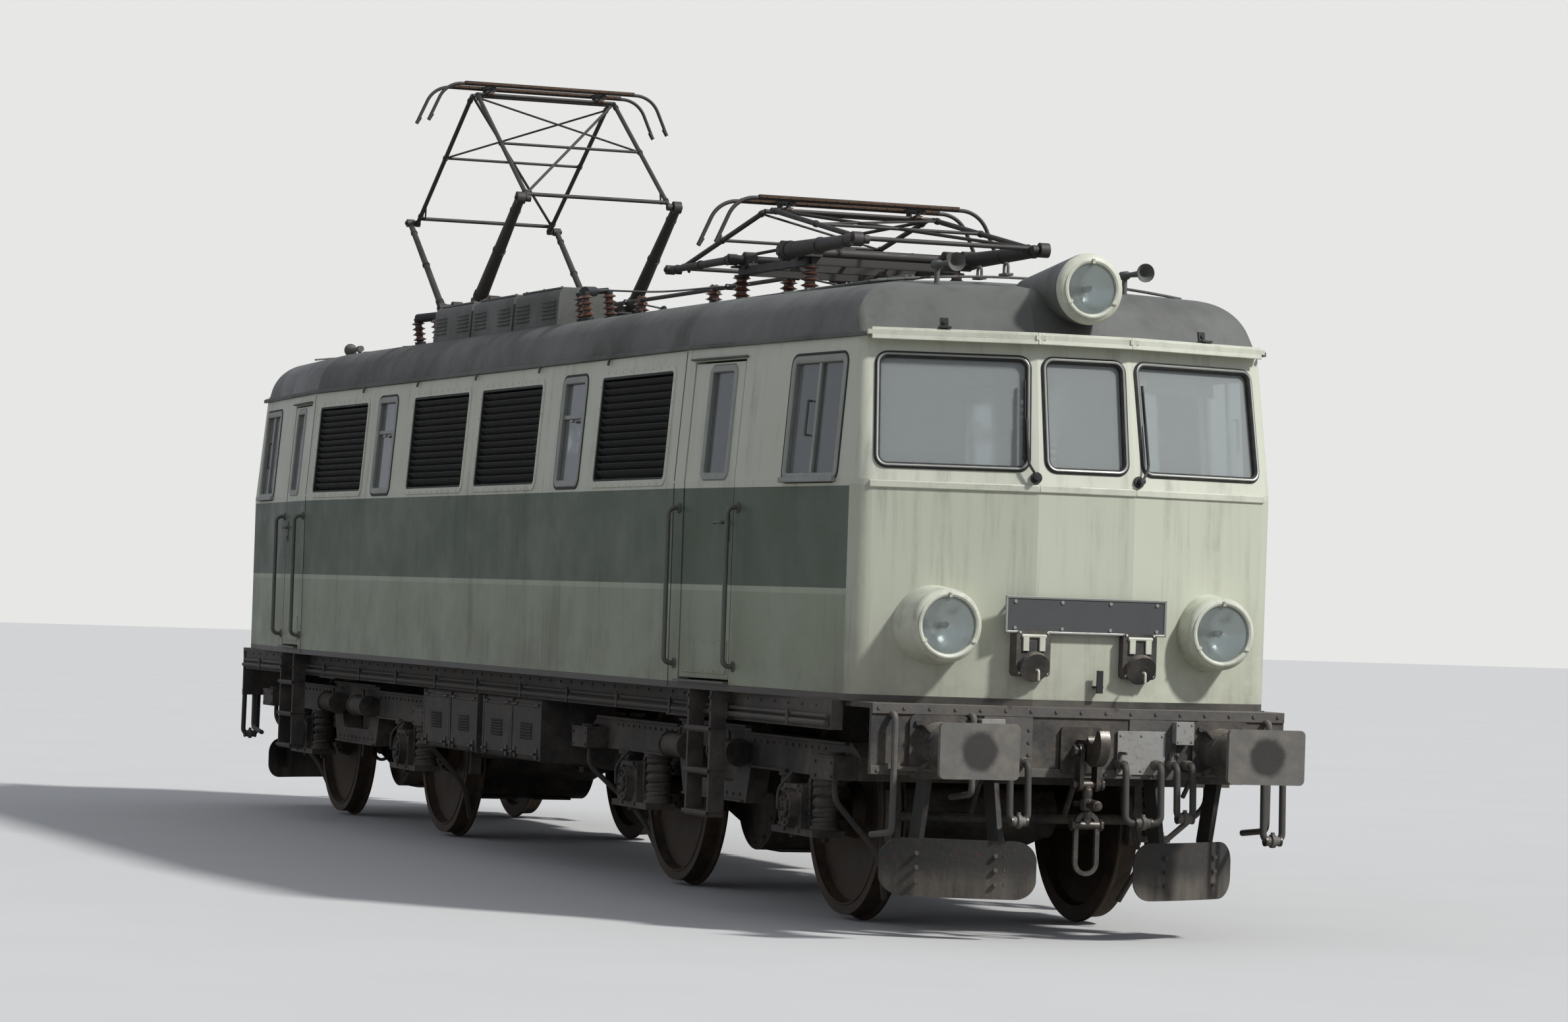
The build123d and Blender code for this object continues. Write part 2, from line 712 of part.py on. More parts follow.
def hinge_sleeves(end, side):
    # Moving half of a cab door's hinges: sleeves on arms from the inside of the door
    arm = HINGE_DEPTH - DOOR_DEPTH - DOOR_THICKNESS + HINGE_SINK
    with BuildPart() as sleeves:
        for z in HINGE_HEIGHTS:
            with BuildSketch(hinge_plane(end, side, z - HINGE_SLEEVE / 2)):
                Circle(HINGE_RADIUS)
                with Locations((-end * side * HINGE_ARM / 2, -arm / 2)):
                    Rectangle(HINGE_ARM, arm)
                Circle(HINGE_PIN + RUNNING_GAP, mode=Mode.SUBTRACT)
            extrude(amount=HINGE_SLEEVE)
    return sleeves.part


def hole(plane, width, height, corner):
    # Cutter for an opening through a wall
    return prism(plane, width, height, corner, 2 * WALL, WALL)


# Shell of the body, before it is split into its panels
with BuildPart() as shell:
    add(OUTER)
    add(INNER, mode=Mode.SUBTRACT)
    for planes, width in (
        (LOUVRES, LOUVRE_WIDTH),
        (NARROW_WINDOWS, NARROW_WINDOW_WIDTH),
        (CAB_WINDOWS, CAB_WINDOW_WIDTH),
    ):
        for plane in planes:
            add(hole(plane, width, OPENING_HEIGHT, OPENING_CORNER), mode=Mode.SUBTRACT)
    for plane, width in SCREENS:
        add(hole(plane, width, SCREEN_HEIGHT, SCREEN_CORNER), mode=Mode.SUBTRACT)
    for end, side in TAPER_PANELS:
        add(door_block(end, side, DOOR_GAP), mode=Mode.SUBTRACT)

for name, side in (("left", 1), ("right", -1)):
    y_low, y_high = sorted((0.0, side * FAR))
    with BuildPart() as side_wall:
        add(slab(-TAPER_X, TAPER_X, SILL_Z, CANTRAIL_Z, y_low, y_high))
        add(shell.part, mode=Mode.INTERSECT)
    save(side_wall.part, f"side_wall_{name}")

with BuildPart() as main_roof:
    add(slab(-TAPER_X, TAPER_X, CANTRAIL_Z, FAR))
    add(shell.part, mode=Mode.INTERSECT)
save(main_roof.part, "main_roof")

for number, end in ((1, 1), (2, -1)):
    x_low, x_high = sorted((end * TAPER_X, end * FAR))
    with BuildPart() as cab_shell:
        add(slab(x_low, x_high, SILL_Z, FAR))
        add(shell.part, mode=Mode.INTERSECT)
        for side in (1, -1):
            add(hinge_lugs(end, side))
    save(cab_shell.part, f"cab_shell_{number}")

# Bulkheads behind the cabs, with a doorway into the machine room
with BuildPart() as bulkheads:
    for end in (1, -1):
        x_low, x_high = sorted((end * BULKHEAD_X, end * (BULKHEAD_X + BULKHEAD_THICKNESS)))
        add(slab(x_low, x_high, SILL_Z + DECK_THICKNESS, FAR))
    add(INNER, mode=Mode.INTERSECT)
    for end in (1, -1):
        x_low, x_high = sorted((end * (BULKHEAD_X - WALL), end * (BULKHEAD_X + 2 * WALL)))
        doorway = slab(
            x_low,
            x_high,
            SILL_Z + DECK_THICKNESS,
            SILL_Z + DECK_THICKNESS + DOORWAY_HEIGHT,
            DOORWAY_Y - DOORWAY_WIDTH / 2,
            DOORWAY_Y + DOORWAY_WIDTH / 2,
        )
        add(doorway, mode=Mode.SUBTRACT)
save(bulkheads.part, "cab_bulkheads")

# Cab doors, each with its own window, and their panes
for number, end in ((1, 1), (2, -1)):
    for name, side in (("left", 1), ("right", -1)):
        plane = DOOR_WINDOWS[end, side]
        window = (plane, DOOR_WINDOW_WIDTH, OPENING_HEIGHT - 2 * DOOR_GAP, OPENING_CORNER)
        with BuildPart() as door:
            add(door_block(end, side, 0.0))
            add(OUTER_DOOR, mode=Mode.INTERSECT)
            add(INNER_DOOR, mode=Mode.SUBTRACT)
            add(hole(*window), mode=Mode.SUBTRACT)
            add(hinge_sleeves(end, side))
        save(door.part, f"cab_door_{number}_{name}")
        with BuildPart() as door_pane:
            add(pane(*window))
        save(door_pane.part, f"door_pane_{number}_{name}")

# Fixed glass
with BuildPart() as side_windows:
    for plane in NARROW_WINDOWS:
        add(pane(plane, NARROW_WINDOW_WIDTH, OPENING_HEIGHT, OPENING_CORNER))
    for plane in CAB_WINDOWS:
        add(pane(plane, CAB_WINDOW_WIDTH, OPENING_HEIGHT, OPENING_CORNER))
save(side_windows.part, "side_windows")

with BuildPart() as windscreens:
    for plane, width in SCREENS:
        add(pane(plane, width, SCREEN_HEIGHT, SCREEN_CORNER))
save(windscreens.part, "windscreens")

# Louvred grilles in the side walls: a frame filled with tilted slats
with BuildPart() as louvre:
    with BuildSketch(Plane.XY.offset(-LOUVRE_DEPTH)):
        RectangleRounded(LOUVRE_WIDTH - 2 * FIT, OPENING_HEIGHT - 2 * FIT, OPENING_CORNER)
        Rectangle(LOUVRE_WIDTH - 2 * LOUVRE_FRAME, OPENING_HEIGHT - 2 * LOUVRE_FRAME, mode=Mode.SUBTRACT)
    extrude(amount=LOUVRE_DEPTH)
    slat_count = int((OPENING_HEIGHT - 2 * LOUVRE_FRAME) / SLAT_PITCH)
    with BuildSketch(Plane.YZ.offset(-LOUVRE_WIDTH / 2 + LOUVRE_FRAME / 2)):
        with Locations((0, -LOUVRE_DEPTH / 2)):
            with GridLocations(SLAT_PITCH, 0, slat_count, 1):
                Rectangle(SLAT_DEPTH, SLAT_THICKNESS, rotation=SLAT_TILT)
    extrude(amount=LOUVRE_WIDTH - LOUVRE_FRAME)
with BuildPart() as side_louvres:
    for plane in LOUVRES:
        add(plane.location * louvre.part)
save(side_louvres.part, "side_louvres")

# Rain gutter over the windscreens, round the three facets of each end
with BuildPart() as rain_gutters:
    for end in (1, -1):
        with BuildSketch(Plane.XY.offset(GUTTER_Z)):
            for side in (-1, 0, 1):
                x, y, heading = FACE_PANELS[end, side]
                angle = radians(heading)
                half = CENTRE_FACET_HALF if side == 0 else VISOR_LENGTH / 2
                shift = end * side * VISOR_LENGTH / 2
                centre = (x - sin(angle) * shift, y + cos(angle) * shift)
                with Locations(Location((centre[0], centre[1], 0), (0, 0, heading))):
                    with Locations((-FACE_RAKE + VISOR_REACH / 2 - VISOR_OVERLAP, 0)):
                        Rectangle(VISOR_REACH + 2 * VISOR_OVERLAP, 2 * half + VISOR_OVERLAP)
        extrude(amount=VISOR_THICKNESS)
    add(OUTER, mode=Mode.SUBTRACT)
save(rain_gutters.part, "rain_gutters")


def dome(x, radius, depth):
    # Middle and tip of a spherical cap that springs from a rim and closes on the axis
    sphere = (radius**2 + depth**2) / (2 * abs(depth))
    half = asin(radius / sphere) / 2
    flat = sphere * (1 - cos(half))
    return (x + depth - (flat if depth > 0 else -flat), sphere * sin(half)), (x + depth, 0)


def both_ends(piece):
    # The piece at cab 1 and its copy turned half round for cab 2
    with BuildPart() as pair:
        add(piece)
        add(piece.rotate(Axis.Z, 180))
    return pair.part


# Headlamps: y, z, face x, front radius, back radius, length, rim
LAMPS = [
    (LAMP_Y, LAMP_Z, LAMP_FACE_X, LAMP_RADIUS, LAMP_BACK_RADIUS, LAMP_LENGTH, LAMP_RIM),
    (-LAMP_Y, LAMP_Z, LAMP_FACE_X, LAMP_RADIUS, LAMP_BACK_RADIUS, LAMP_LENGTH, LAMP_RIM),
    (
        0.0,
        TOP_LAMP_Z,
        TOP_LAMP_FACE_X,
        TOP_LAMP_RADIUS,
        TOP_LAMP_BACK_RADIUS,
        TOP_LAMP_LENGTH,
        TOP_LAMP_RIM,
    ),
]
with BuildPart() as lamp_housings:
    for y, z, face, radius, back, length, rim in LAMPS:
        bowl = radius - rim
        with BuildSketch(Plane(origin=(face, y, z), x_dir=(1, 0, 0), z_dir=(0, -1, 0))):
            with BuildLine():
                Polyline((-length, 0), (-length, back), (-LAMP_NECK, radius), (-rim, radius))
                ThreePointArc(
                    (-rim, radius),
                    (-rim * QUARTER_MID, radius - rim * QUARTER_MID),
                    (0, bowl),
                )
                Line((0, bowl), (-LENS_DEPTH - LENS_THICKNESS, bowl))
                bowl_middle, bowl_tip = dome(-LENS_DEPTH - LENS_THICKNESS, bowl, -LAMP_BOWL_DEPTH)
                ThreePointArc((-LENS_DEPTH - LENS_THICKNESS, bowl), bowl_middle, bowl_tip)
                Line(bowl_tip, (-length, 0))
            make_face()
        revolve(axis=Axis((0, y, z), (1, 0, 0)))
    add(OUTER, mode=Mode.SUBTRACT)
save(both_ends(lamp_housings.part), "headlamp_housings")

with BuildPart() as lamp_lenses:
    for y, z, face, radius, back, length, rim in LAMPS:
        edge = radius - rim - FIT
        with BuildSketch(Plane(origin=(face - LENS_DEPTH, y, z), x_dir=(1, 0, 0), z_dir=(0, -1, 0))):
            with BuildLine():
                front_middle, front_tip = dome(0, edge, LENS_BULGE)
                back_middle, back_tip = dome(-LENS_THICKNESS, edge, LENS_BULGE)
                ThreePointArc((0, edge), front_middle, front_tip)
                Line(front_tip, back_tip)
                ThreePointArc(back_tip, back_middle, (-LENS_THICKNESS, edge))
                Line((-LENS_THICKNESS, edge), (0, edge))
            make_face()
        revolve(axis=Axis((0, y, z), (1, 0, 0)))
save(both_ends(lamp_lenses.part), "headlamp_lenses")

# Underframe: deck, headstocks, solebars, bolsters and pivots in one weldment
DECK_TOP_Z = SILL_Z + DECK_THICKNESS
with BuildPart() as underframe:
    add(slab(-FACE_X, FACE_X, SILL_Z, DECK_TOP_Z))
    add(INNER, mode=Mode.INTERSECT)
    for end in (1, -1):
        x_low, x_high = sorted((end * (HEADSTOCK_X - HEADSTOCK_THICKNESS), end * HEADSTOCK_X))
        half = HEADSTOCK_WIDTH / 2
        add(slab(x_low, x_high, HEADSTOCK_BOTTOM_Z, SILL_Z, -half, half))
        x_low, x_high = sorted((end * (HEADSTOCK_X - HEADSTOCK_DEPTH), end * HEADSTOCK_X))
        add(slab(x_low, x_high, SILL_Z - HEADSTOCK_THICKNESS, SILL_Z, -half, half))
        for y in (-BUFFER_Y, -DRAWGEAR_Y, DRAWGEAR_Y, BUFFER_Y):
            add(
                slab(
                    x_low,
                    x_high,
                    HEADSTOCK_BOTTOM_Z,
                    SILL_Z,
                    y - HEADSTOCK_THICKNESS / 2,
                    y + HEADSTOCK_THICKNESS / 2,
                )
            )
        x_low, x_high = sorted(
            (end * (PIVOT_SPACING - BOLSTER_LENGTH) / 2, end * (PIVOT_SPACING + BOLSTER_LENGTH) / 2)
        )
        add(slab(x_low, x_high, SILL_Z - BOLSTER_DEPTH, SILL_Z, -SOLEBAR_Y, SOLEBAR_Y))
        with BuildSketch(Plane.XY.offset(PIVOT_BOTTOM_Z)):
            with Locations((end * PIVOT_SPACING / 2, 0)):
                Circle(PIVOT_RADIUS)
        extrude(amount=SILL_Z - PIVOT_BOTTOM_Z)
    for x in (-OUTER_CROSS_X, -INNER_CROSS_X, -STRAP_X, STRAP_X, INNER_CROSS_X, OUTER_CROSS_X):
        add(
            slab(
                x - SOLEBAR_WIDTH / 2,
                x + SOLEBAR_WIDTH / 2,
                SILL_Z - SOLEBAR_DEPTH,
                SILL_Z,
                -SOLEBAR_Y,
                SOLEBAR_Y,
            )
        )
    for side in (1, -1):
        y_low, y_high = sorted((side * (SOLEBAR_Y - SOLEBAR_WIDTH), side * SOLEBAR_Y))
        reach = HEADSTOCK_X - HEADSTOCK_DEPTH
        add(slab(-reach, reach, SILL_Z - SOLEBAR_DEPTH, SILL_Z, y_low, y_high))
save(underframe.part, "underframe")

# Buffers
with BuildPart() as buffer_casings:
    for y in (-BUFFER_Y, BUFFER_Y):
        with BuildSketch(Plane.YZ.offset(HEADSTOCK_X)):
            with Locations((y, BUFFER_Z)):
                RectangleRounded(BUFFER_FLANGE, BUFFER_FLANGE, BUFFER_FLANGE_CORNER)
        extrude(amount=BUFFER_FLANGE_THICKNESS)
        with BuildSketch(Plane(origin=(HEADSTOCK_X, y, BUFFER_Z), x_dir=(1, 0, 0), z_dir=(0, -1, 0))):
            with BuildLine():
                Polyline(
                    (0, PLUNGER_RADIUS + FIT),
                    (0, BUFFER_ROOT_RADIUS),
                    (BUFFER_ROOT_LENGTH, BUFFER_CASING_RADIUS),
                    (BUFFER_CASING_LENGTH - BUFFER_COLLAR_LENGTH, BUFFER_CASING_RADIUS),
                    (BUFFER_CASING_LENGTH - BUFFER_COLLAR_LENGTH, BUFFER_COLLAR_RADIUS),
                    (BUFFER_CASING_LENGTH, BUFFER_COLLAR_RADIUS),
                    (BUFFER_CASING_LENGTH, PLUNGER_RADIUS + FIT),
                    close=True,
                )
            make_face()
        revolve(axis=Axis((0, y, BUFFER_Z), (1, 0, 0)))
save(both_ends(buffer_casings.part), "buffer_casings")

with BuildPart() as buffer_heads:
    for y in (-BUFFER_Y, BUFFER_Y):
        head_back = LENGTH_OVER_BUFFERS / 2 - BUFFER_HEAD_THICKNESS
        with BuildSketch(Plane.YZ.offset(head_back)):
            with Locations((y, BUFFER_Z)):
                RectangleRounded(BUFFER_HEAD_WIDTH, BUFFER_HEAD_HEIGHT, BUFFER_HEAD_CORNER)
        extrude(amount=BUFFER_HEAD_THICKNESS)
        plunger_start = HEADSTOCK_X + BUFFER_FLANGE_THICKNESS + FIT
        with BuildSketch(Plane.YZ.offset(plunger_start)):
            with Locations((y, BUFFER_Z)):
                Circle(PLUNGER_RADIUS)
        extrude(amount=head_back - plunger_start)
save(both_ends(buffer_heads.part), "buffer_heads")

# Draw hook with its screw coupling hanging from it
with BuildPart() as draw_hook:
    with BuildSketch(Plane(origin=(HEADSTOCK_X, 0, BUFFER_Z), x_dir=(1, 0, 0), z_dir=(0, -1, 0))):
        with BuildLine():
            throat_start = (HOOK_THROAT_X - HOOK_THROAT, HOOK_CHIN)
            throat_finish = (HOOK_THROAT_X + HOOK_THROAT, HOOK_SHANK / 2)
            tip_back = (HOOK_THROAT_X + 2 * HOOK_THROAT, HOOK_TIP_RISE)
            tip_front = (tip_back[0] + HOOK_TIP_WIDTH, HOOK_TIP_RISE)
            chin = (HOOK_THROAT_X, -HOOK_CHIN)
            shank = HOOK_SHANK / 2
            Polyline((0, -shank), (0, shank), (HOOK_SHANK_LENGTH, shank), throat_start)
            ThreePointArc(throat_start, (HOOK_THROAT_X, HOOK_THROAT_Z), throat_finish)
            Polyline(throat_finish, tip_back, tip_front)
            ThreePointArc(tip_front, (HOOK_LENGTH, -HOOK_THROAT / 2), chin)
            Polyline(chin, (HOOK_SHANK_LENGTH, -shank), (0, -shank))
        make_face()
        with Locations((HOOK_EYE_X, 0)):
            Circle(HOOK_EYE_RADIUS, mode=Mode.SUBTRACT)
    extrude(amount=HOOK_THICKNESS / 2, both=True)
    with BuildSketch(Plane.YZ.offset(HEADSTOCK_X)):
        with Locations((0, BUFFER_Z)):
            RectangleRounded(HOOK_GUIDE, HOOK_GUIDE, HOOK_GUIDE_CORNER)
    extrude(amount=BUFFER_FLANGE_THICKNESS)

# Screw coupling: two side plates on the hook's pin, a screw with its weighted handle, and the end link
with BuildPart() as coupling:
    for y in (-COUPLING_HALF, COUPLING_HALF):
        with BuildSketch(Plane(origin=(0, y, 0), x_dir=(1, 0, 0), z_dir=(0, -1, 0))):
            with Locations((0, -COUPLING_PLATE / 2)):
                SlotCenterToCenter(COUPLING_PLATE, COUPLING_PLATE_WIDTH, rotation=90)
        extrude(amount=COUPLING_BAR / 2, both=True)
    for z in (0.0, -COUPLING_PLATE, -COUPLING_PLATE - COUPLING_SCREW):
        with BuildSketch(Plane(origin=(0, 0, z), x_dir=(1, 0, 0), z_dir=(0, -1, 0))):
            Circle(HOOK_EYE_RADIUS - FIT)
        extrude(amount=COUPLING_HALF + COUPLING_BAR, both=True)
    with BuildSketch(Plane.XY.offset(-COUPLING_PLATE)):
        Circle(COUPLING_BAR)
    extrude(amount=-COUPLING_SCREW)
    with BuildSketch(Plane.XY.offset(-COUPLING_PLATE - COUPLING_SCREW / 2)):
        SlotCenterToCenter(HANDLE_LENGTH, HANDLE_WIDTH)
    extrude(amount=COUPLING_BAR / 2, both=True)
    with BuildSketch(Plane.YZ) as link:
        with Locations((0, -COUPLING_PLATE - COUPLING_SCREW - COUPLING_LINK / 2)):
            SlotCenterToCenter(COUPLING_LINK, 2 * COUPLING_HALF + 2 * COUPLING_BAR, rotation=90)
            SlotCenterToCenter(COUPLING_LINK, 2 * COUPLING_HALF, rotation=90, mode=Mode.SUBTRACT)
    extrude(amount=COUPLING_BAR / 2, both=True)
with BuildPart() as draw_gear:
    add(draw_hook.part)
    with Locations((HEADSTOCK_X + HOOK_EYE_X, 0, BUFFER_Z)):
        add(coupling.part)
save(both_ends(draw_gear.part), "draw_gear")


# Bogie, modelled about its own pivot
AXLE_X = BOGIE_WHEELBASE / 2
WHEEL_RADIUS = WHEEL_DIAMETER / 2
WHEEL_BACK_Y = WHEEL_BACK_TO_BACK / 2
FRAME_INNER_Y = FRAME_Y - FRAME_WIDTH / 2
FRAME_OUTER_Y = FRAME_Y + FRAME_WIDTH / 2
CORNERS = [(end, side) for end in (1, -1) for side in (1, -1)]

with BuildPart() as wheelset:
    rim_inner = WHEEL_RADIUS - RIM_THICKNESS
    rim_outer_y = WHEEL_BACK_Y + RIM_WIDTH
    flange_low = WHEEL_RADIUS + FLANGE_DEPTH - FLANGE_TIP
    with BuildSketch(Plane.YZ):
        with BuildLine():
            Polyline(
                (0, 0),
                (0, AXLE_RADIUS),
                (WHEEL_BACK_Y - HUB_INNER, AXLE_RADIUS),
                (WHEEL_BACK_Y - HUB_INNER, HUB_RADIUS),
                (WHEEL_BACK_Y + WEB_SET - HUB_FLARE, HUB_RADIUS + HUB_FLARE),
                (WHEEL_BACK_Y + WEB_SET, rim_inner - RIM_LIP),
                (WHEEL_BACK_Y, rim_inner),
                (WHEEL_BACK_Y, flange_low),
            )
            ThreePointArc(
                (WHEEL_BACK_Y, flange_low),
                (WHEEL_BACK_Y + FLANGE_WIDTH / 2, flange_low + FLANGE_TIP),
                (WHEEL_BACK_Y + FLANGE_WIDTH, flange_low),
            )
            Polyline(
                (WHEEL_BACK_Y + FLANGE_WIDTH, flange_low),
                (WHEEL_BACK_Y + FLANGE_WIDTH + FLANGE_TIP, WHEEL_RADIUS + TREAD_FALL),
                (WHEEL_BACK_Y + FLANGE_ROOT, WHEEL_RADIUS),
                (rim_outer_y, WHEEL_RADIUS - TREAD_FALL),
                (rim_outer_y, rim_inner),
                (WHEEL_BACK_Y + WEB_SET + WEB_THICKNESS, rim_inner - RIM_LIP),
                (WHEEL_BACK_Y + WEB_SET + WEB_THICKNESS - HUB_OUTER, HUB_RADIUS + HUB_FLARE),
                (rim_outer_y + HUB_OUTER, HUB_RADIUS),
                (rim_outer_y + HUB_OUTER, JOURNAL_RADIUS),
                (JOURNAL_END_Y, JOURNAL_RADIUS),
                (JOURNAL_END_Y, 0),
                (0, 0),
            )
        make_face()
    revolve(axis=Axis.Y)
    mirror(about=Plane.XZ)

# Side frame, seen from the side: straight top, arches over the axleboxes and a deep middle
with BuildPart() as bogie_frame:
    with BuildSketch(Plane.XZ.offset(-FRAME_INNER_Y)) as side_frame:
        with BuildLine():
            Polyline(
                (0, FRAME_TOP_Z + FRAME_RISE),
                (FRAME_MIDDLE, FRAME_TOP_Z + FRAME_RISE),
                (FRAME_MIDDLE + FRAME_RISE, FRAME_TOP_Z),
                (FRAME_HALF_LENGTH - FRAME_NOSE, FRAME_TOP_Z),
                (FRAME_HALF_LENGTH, FRAME_TOP_Z - FRAME_NOSE / 2),
                (FRAME_HALF_LENGTH, FRAME_BOTTOM_Z),
                (AXLE_X + AXLEBOX_HALF + GUIDE_WIDTH, FRAME_BOTTOM_Z),
                (AXLE_X + AXLEBOX_HALF + GUIDE_FOOT, AXLE_Z - GUIDE_DROP),
                (AXLE_X + AXLEBOX_HALF + GUIDE_GAP, AXLE_Z - GUIDE_DROP),
                (AXLE_X + AXLEBOX_HALF + GUIDE_GAP, FRAME_BOTTOM_Z),
                (AXLE_X - AXLEBOX_HALF - GUIDE_GAP, FRAME_BOTTOM_Z),
                (AXLE_X - AXLEBOX_HALF - GUIDE_GAP, AXLE_Z - GUIDE_DROP),
                (AXLE_X - AXLEBOX_HALF - GUIDE_FOOT, AXLE_Z - GUIDE_DROP),
                (AXLE_X - AXLEBOX_HALF - GUIDE_WIDTH, FRAME_BOTTOM_Z),
                (FRAME_MIDDLE + FRAME_RISE, FRAME_BOTTOM_Z),
                (FRAME_MIDDLE - FRAME_RISE, FRAME_DROP_Z),
                (0, FRAME_DROP_Z),
                close=True,
            )
        make_face()
        mirror(about=Plane.YZ)
        with Locations((0, (FRAME_TOP_Z + FRAME_DROP_Z) / 2)):
            SlotCenterToCenter(FRAME_MIDDLE, FRAME_WINDOW, mode=Mode.SUBTRACT)
    extrude(amount=-FRAME_WIDTH)
    mirror(about=Plane.XZ)
    add(slab(-TRANSOM_HALF, TRANSOM_HALF, TRANSOM_BOTTOM_Z, TRANSOM_TOP_Z, -FRAME_INNER_Y, FRAME_INNER_Y))
    for end in (1, -1):
        x_low, x_high = sorted((end * (FRAME_HALF_LENGTH - END_BEAM), end * FRAME_HALF_LENGTH))
        add(slab(x_low, x_high, FRAME_BOTTOM_Z, FRAME_TOP_Z - FRAME_NOSE / 2, -FRAME_INNER_Y, FRAME_INNER_Y))
    with BuildSketch(Plane.XY.offset(TRANSOM_BOTTOM_Z)):
        Circle(PIVOT_RADIUS + RUNNING_GAP)
    extrude(amount=TRANSOM_TOP_Z - TRANSOM_BOTTOM_Z, mode=Mode.SUBTRACT)
    for end, side in CORNERS:
        x_low, x_high = sorted((end * SANDBOX_X, end * (SANDBOX_X + SANDBOX_LENGTH)))
        y_low, y_high = sorted((side * FRAME_OUTER_Y, side * (FRAME_OUTER_Y + SANDBOX_WIDTH)))
        add(slab(x_low, x_high, FRAME_BOTTOM_Z, FRAME_TOP_Z - FRAME_NOSE / 2, y_low, y_high))

# Axlebox with a spring seat each side of it and the coil springs that carry the frame
with BuildPart() as axlebox:
    with BuildSketch(Plane.XZ.offset(-AXLEBOX_INNER_Y)):
        with Locations((0, AXLE_Z)):
            RectangleRounded(2 * AXLEBOX_HALF, 2 * AXLEBOX_HALF, AXLEBOX_CORNER)
        with Locations((0, AXLE_Z - AXLEBOX_HALF + SEAT_THICKNESS / 2)):
            Rectangle(2 * (SPRING_OFFSET + SPRING_RADIUS), SEAT_THICKNESS)
    extrude(amount=AXLEBOX_INNER_Y - AXLEBOX_OUTER_Y)
    with BuildSketch(Plane.XZ.offset(-AXLEBOX_OUTER_Y)):
        with Locations((0, AXLE_Z)):
            Circle(COVER_RADIUS)
    extrude(amount=-COVER_DEPTH, taper=COVER_TAPER)
    with BuildSketch(Plane.XZ.offset(-AXLEBOX_INNER_Y)):
        with Locations((0, AXLE_Z)):
            Circle(JOURNAL_RADIUS + RUNNING_GAP)
    extrude(amount=AXLEBOX_INNER_Y - JOURNAL_END_Y - RUNNING_GAP, mode=Mode.SUBTRACT)
with BuildPart() as coil_spring:
    with BuildSketch(Plane.XZ):
        seat_z = AXLE_Z - AXLEBOX_HALF + SEAT_THICKNESS
        pitch = (FRAME_BOTTOM_Z - seat_z) / SPRING_COILS
        with BuildLine():
            points = [(0, seat_z)]
            for coil in range(SPRING_COILS):
                base = seat_z + coil * pitch
                points += [
                    (SPRING_RADIUS * SPRING_ROOT, base),
                    (SPRING_RADIUS, base + pitch * SPRING_FLAT),
                    (SPRING_RADIUS, base + pitch * (1 - SPRING_FLAT)),
                ]
            points += [(SPRING_RADIUS * SPRING_ROOT, FRAME_BOTTOM_Z), (0, FRAME_BOTTOM_Z)]
            Polyline(*points, close=True)
        make_face()
    revolve(axis=Axis.Z)
with BuildPart() as suspension:
    for end in (1, -1):
        with Locations((end * AXLE_X, 0, 0)):
            add(axlebox.part)
        for offset_x in (-SPRING_OFFSET, SPRING_OFFSET):
            with Locations((end * AXLE_X + offset_x, FRAME_Y, 0)):
                add(coil_spring.part)
    mirror(about=Plane.XZ)

# Nose-hung traction motors: a barrel, its sleeve round the axle and a nose on the transom
with BuildPart() as motor:
    motor_x = AXLE_X - MOTOR_OFFSET
    with BuildSketch(Plane.XZ.offset(-MOTOR_YOKE_LENGTH / 2)):
        with BuildLine():
            Polyline(
                (TRANSOM_HALF, MOTOR_Z - MOTOR_NOSE),
                (motor_x, MOTOR_Z - MOTOR_YOKE_RISE),
                (AXLE_X, AXLE_Z - SLEEVE_RADIUS),
                (AXLE_X, AXLE_Z + SLEEVE_RADIUS),
                (motor_x, MOTOR_Z + MOTOR_YOKE_RISE),
                (TRANSOM_HALF, MOTOR_Z + MOTOR_NOSE),
                close=True,
            )
        make_face()
    extrude(amount=MOTOR_YOKE_LENGTH)
    with BuildSketch(Plane.XZ.offset(-MOTOR_LENGTH / 2)):
        with Locations((motor_x, MOTOR_Z)):
            Circle(MOTOR_RADIUS)
        with Locations((AXLE_X, AXLE_Z)):
            Circle(SLEEVE_RADIUS)
    extrude(amount=MOTOR_LENGTH)
    with BuildSketch(Plane.XZ.offset(-MOTOR_LENGTH / 2)):
        with Locations((AXLE_X, AXLE_Z)):
            Circle(AXLE_RADIUS + RUNNING_GAP)
    extrude(amount=MOTOR_LENGTH, mode=Mode.SUBTRACT)

# Brake block, its hanger and the pin that carries it, for the outer side of one wheel
with BuildPart() as brake:
    block_inner = WHEEL_RADIUS + BRAKE_GAP
    with BuildSketch(Plane.XZ.offset(-BRAKE_Y - BRAKE_WIDTH / 2)):
        with Locations((0, AXLE_Z)):
            Circle(block_inner + BRAKE_THICKNESS)
            Circle(block_inner, mode=Mode.SUBTRACT)
        with Locations((block_inner, AXLE_Z)):
            Rectangle(4 * BRAKE_THICKNESS, BRAKE_HEIGHT, mode=Mode.INTERSECT)
    extrude(amount=BRAKE_WIDTH)
    hanger_x = block_inner + HANGER_SET
    with BuildSketch(Plane.XZ.offset(-BRAKE_Y - HANGER_WIDTH / 2)):
        with Locations((hanger_x, (AXLE_Z + HANGER_TOP_Z) / 2)):
            SlotCenterToCenter(HANGER_TOP_Z - AXLE_Z, HANGER_WIDTH, rotation=90)
    extrude(amount=HANGER_WIDTH)
    with BuildSketch(Plane.XZ.offset(-FRAME_INNER_Y)):
        with Locations((hanger_x, HANGER_TOP_Z)):
            Circle(HANGER_WIDTH / 2)
    extrude(amount=FRAME_INNER_Y - BRAKE_Y)
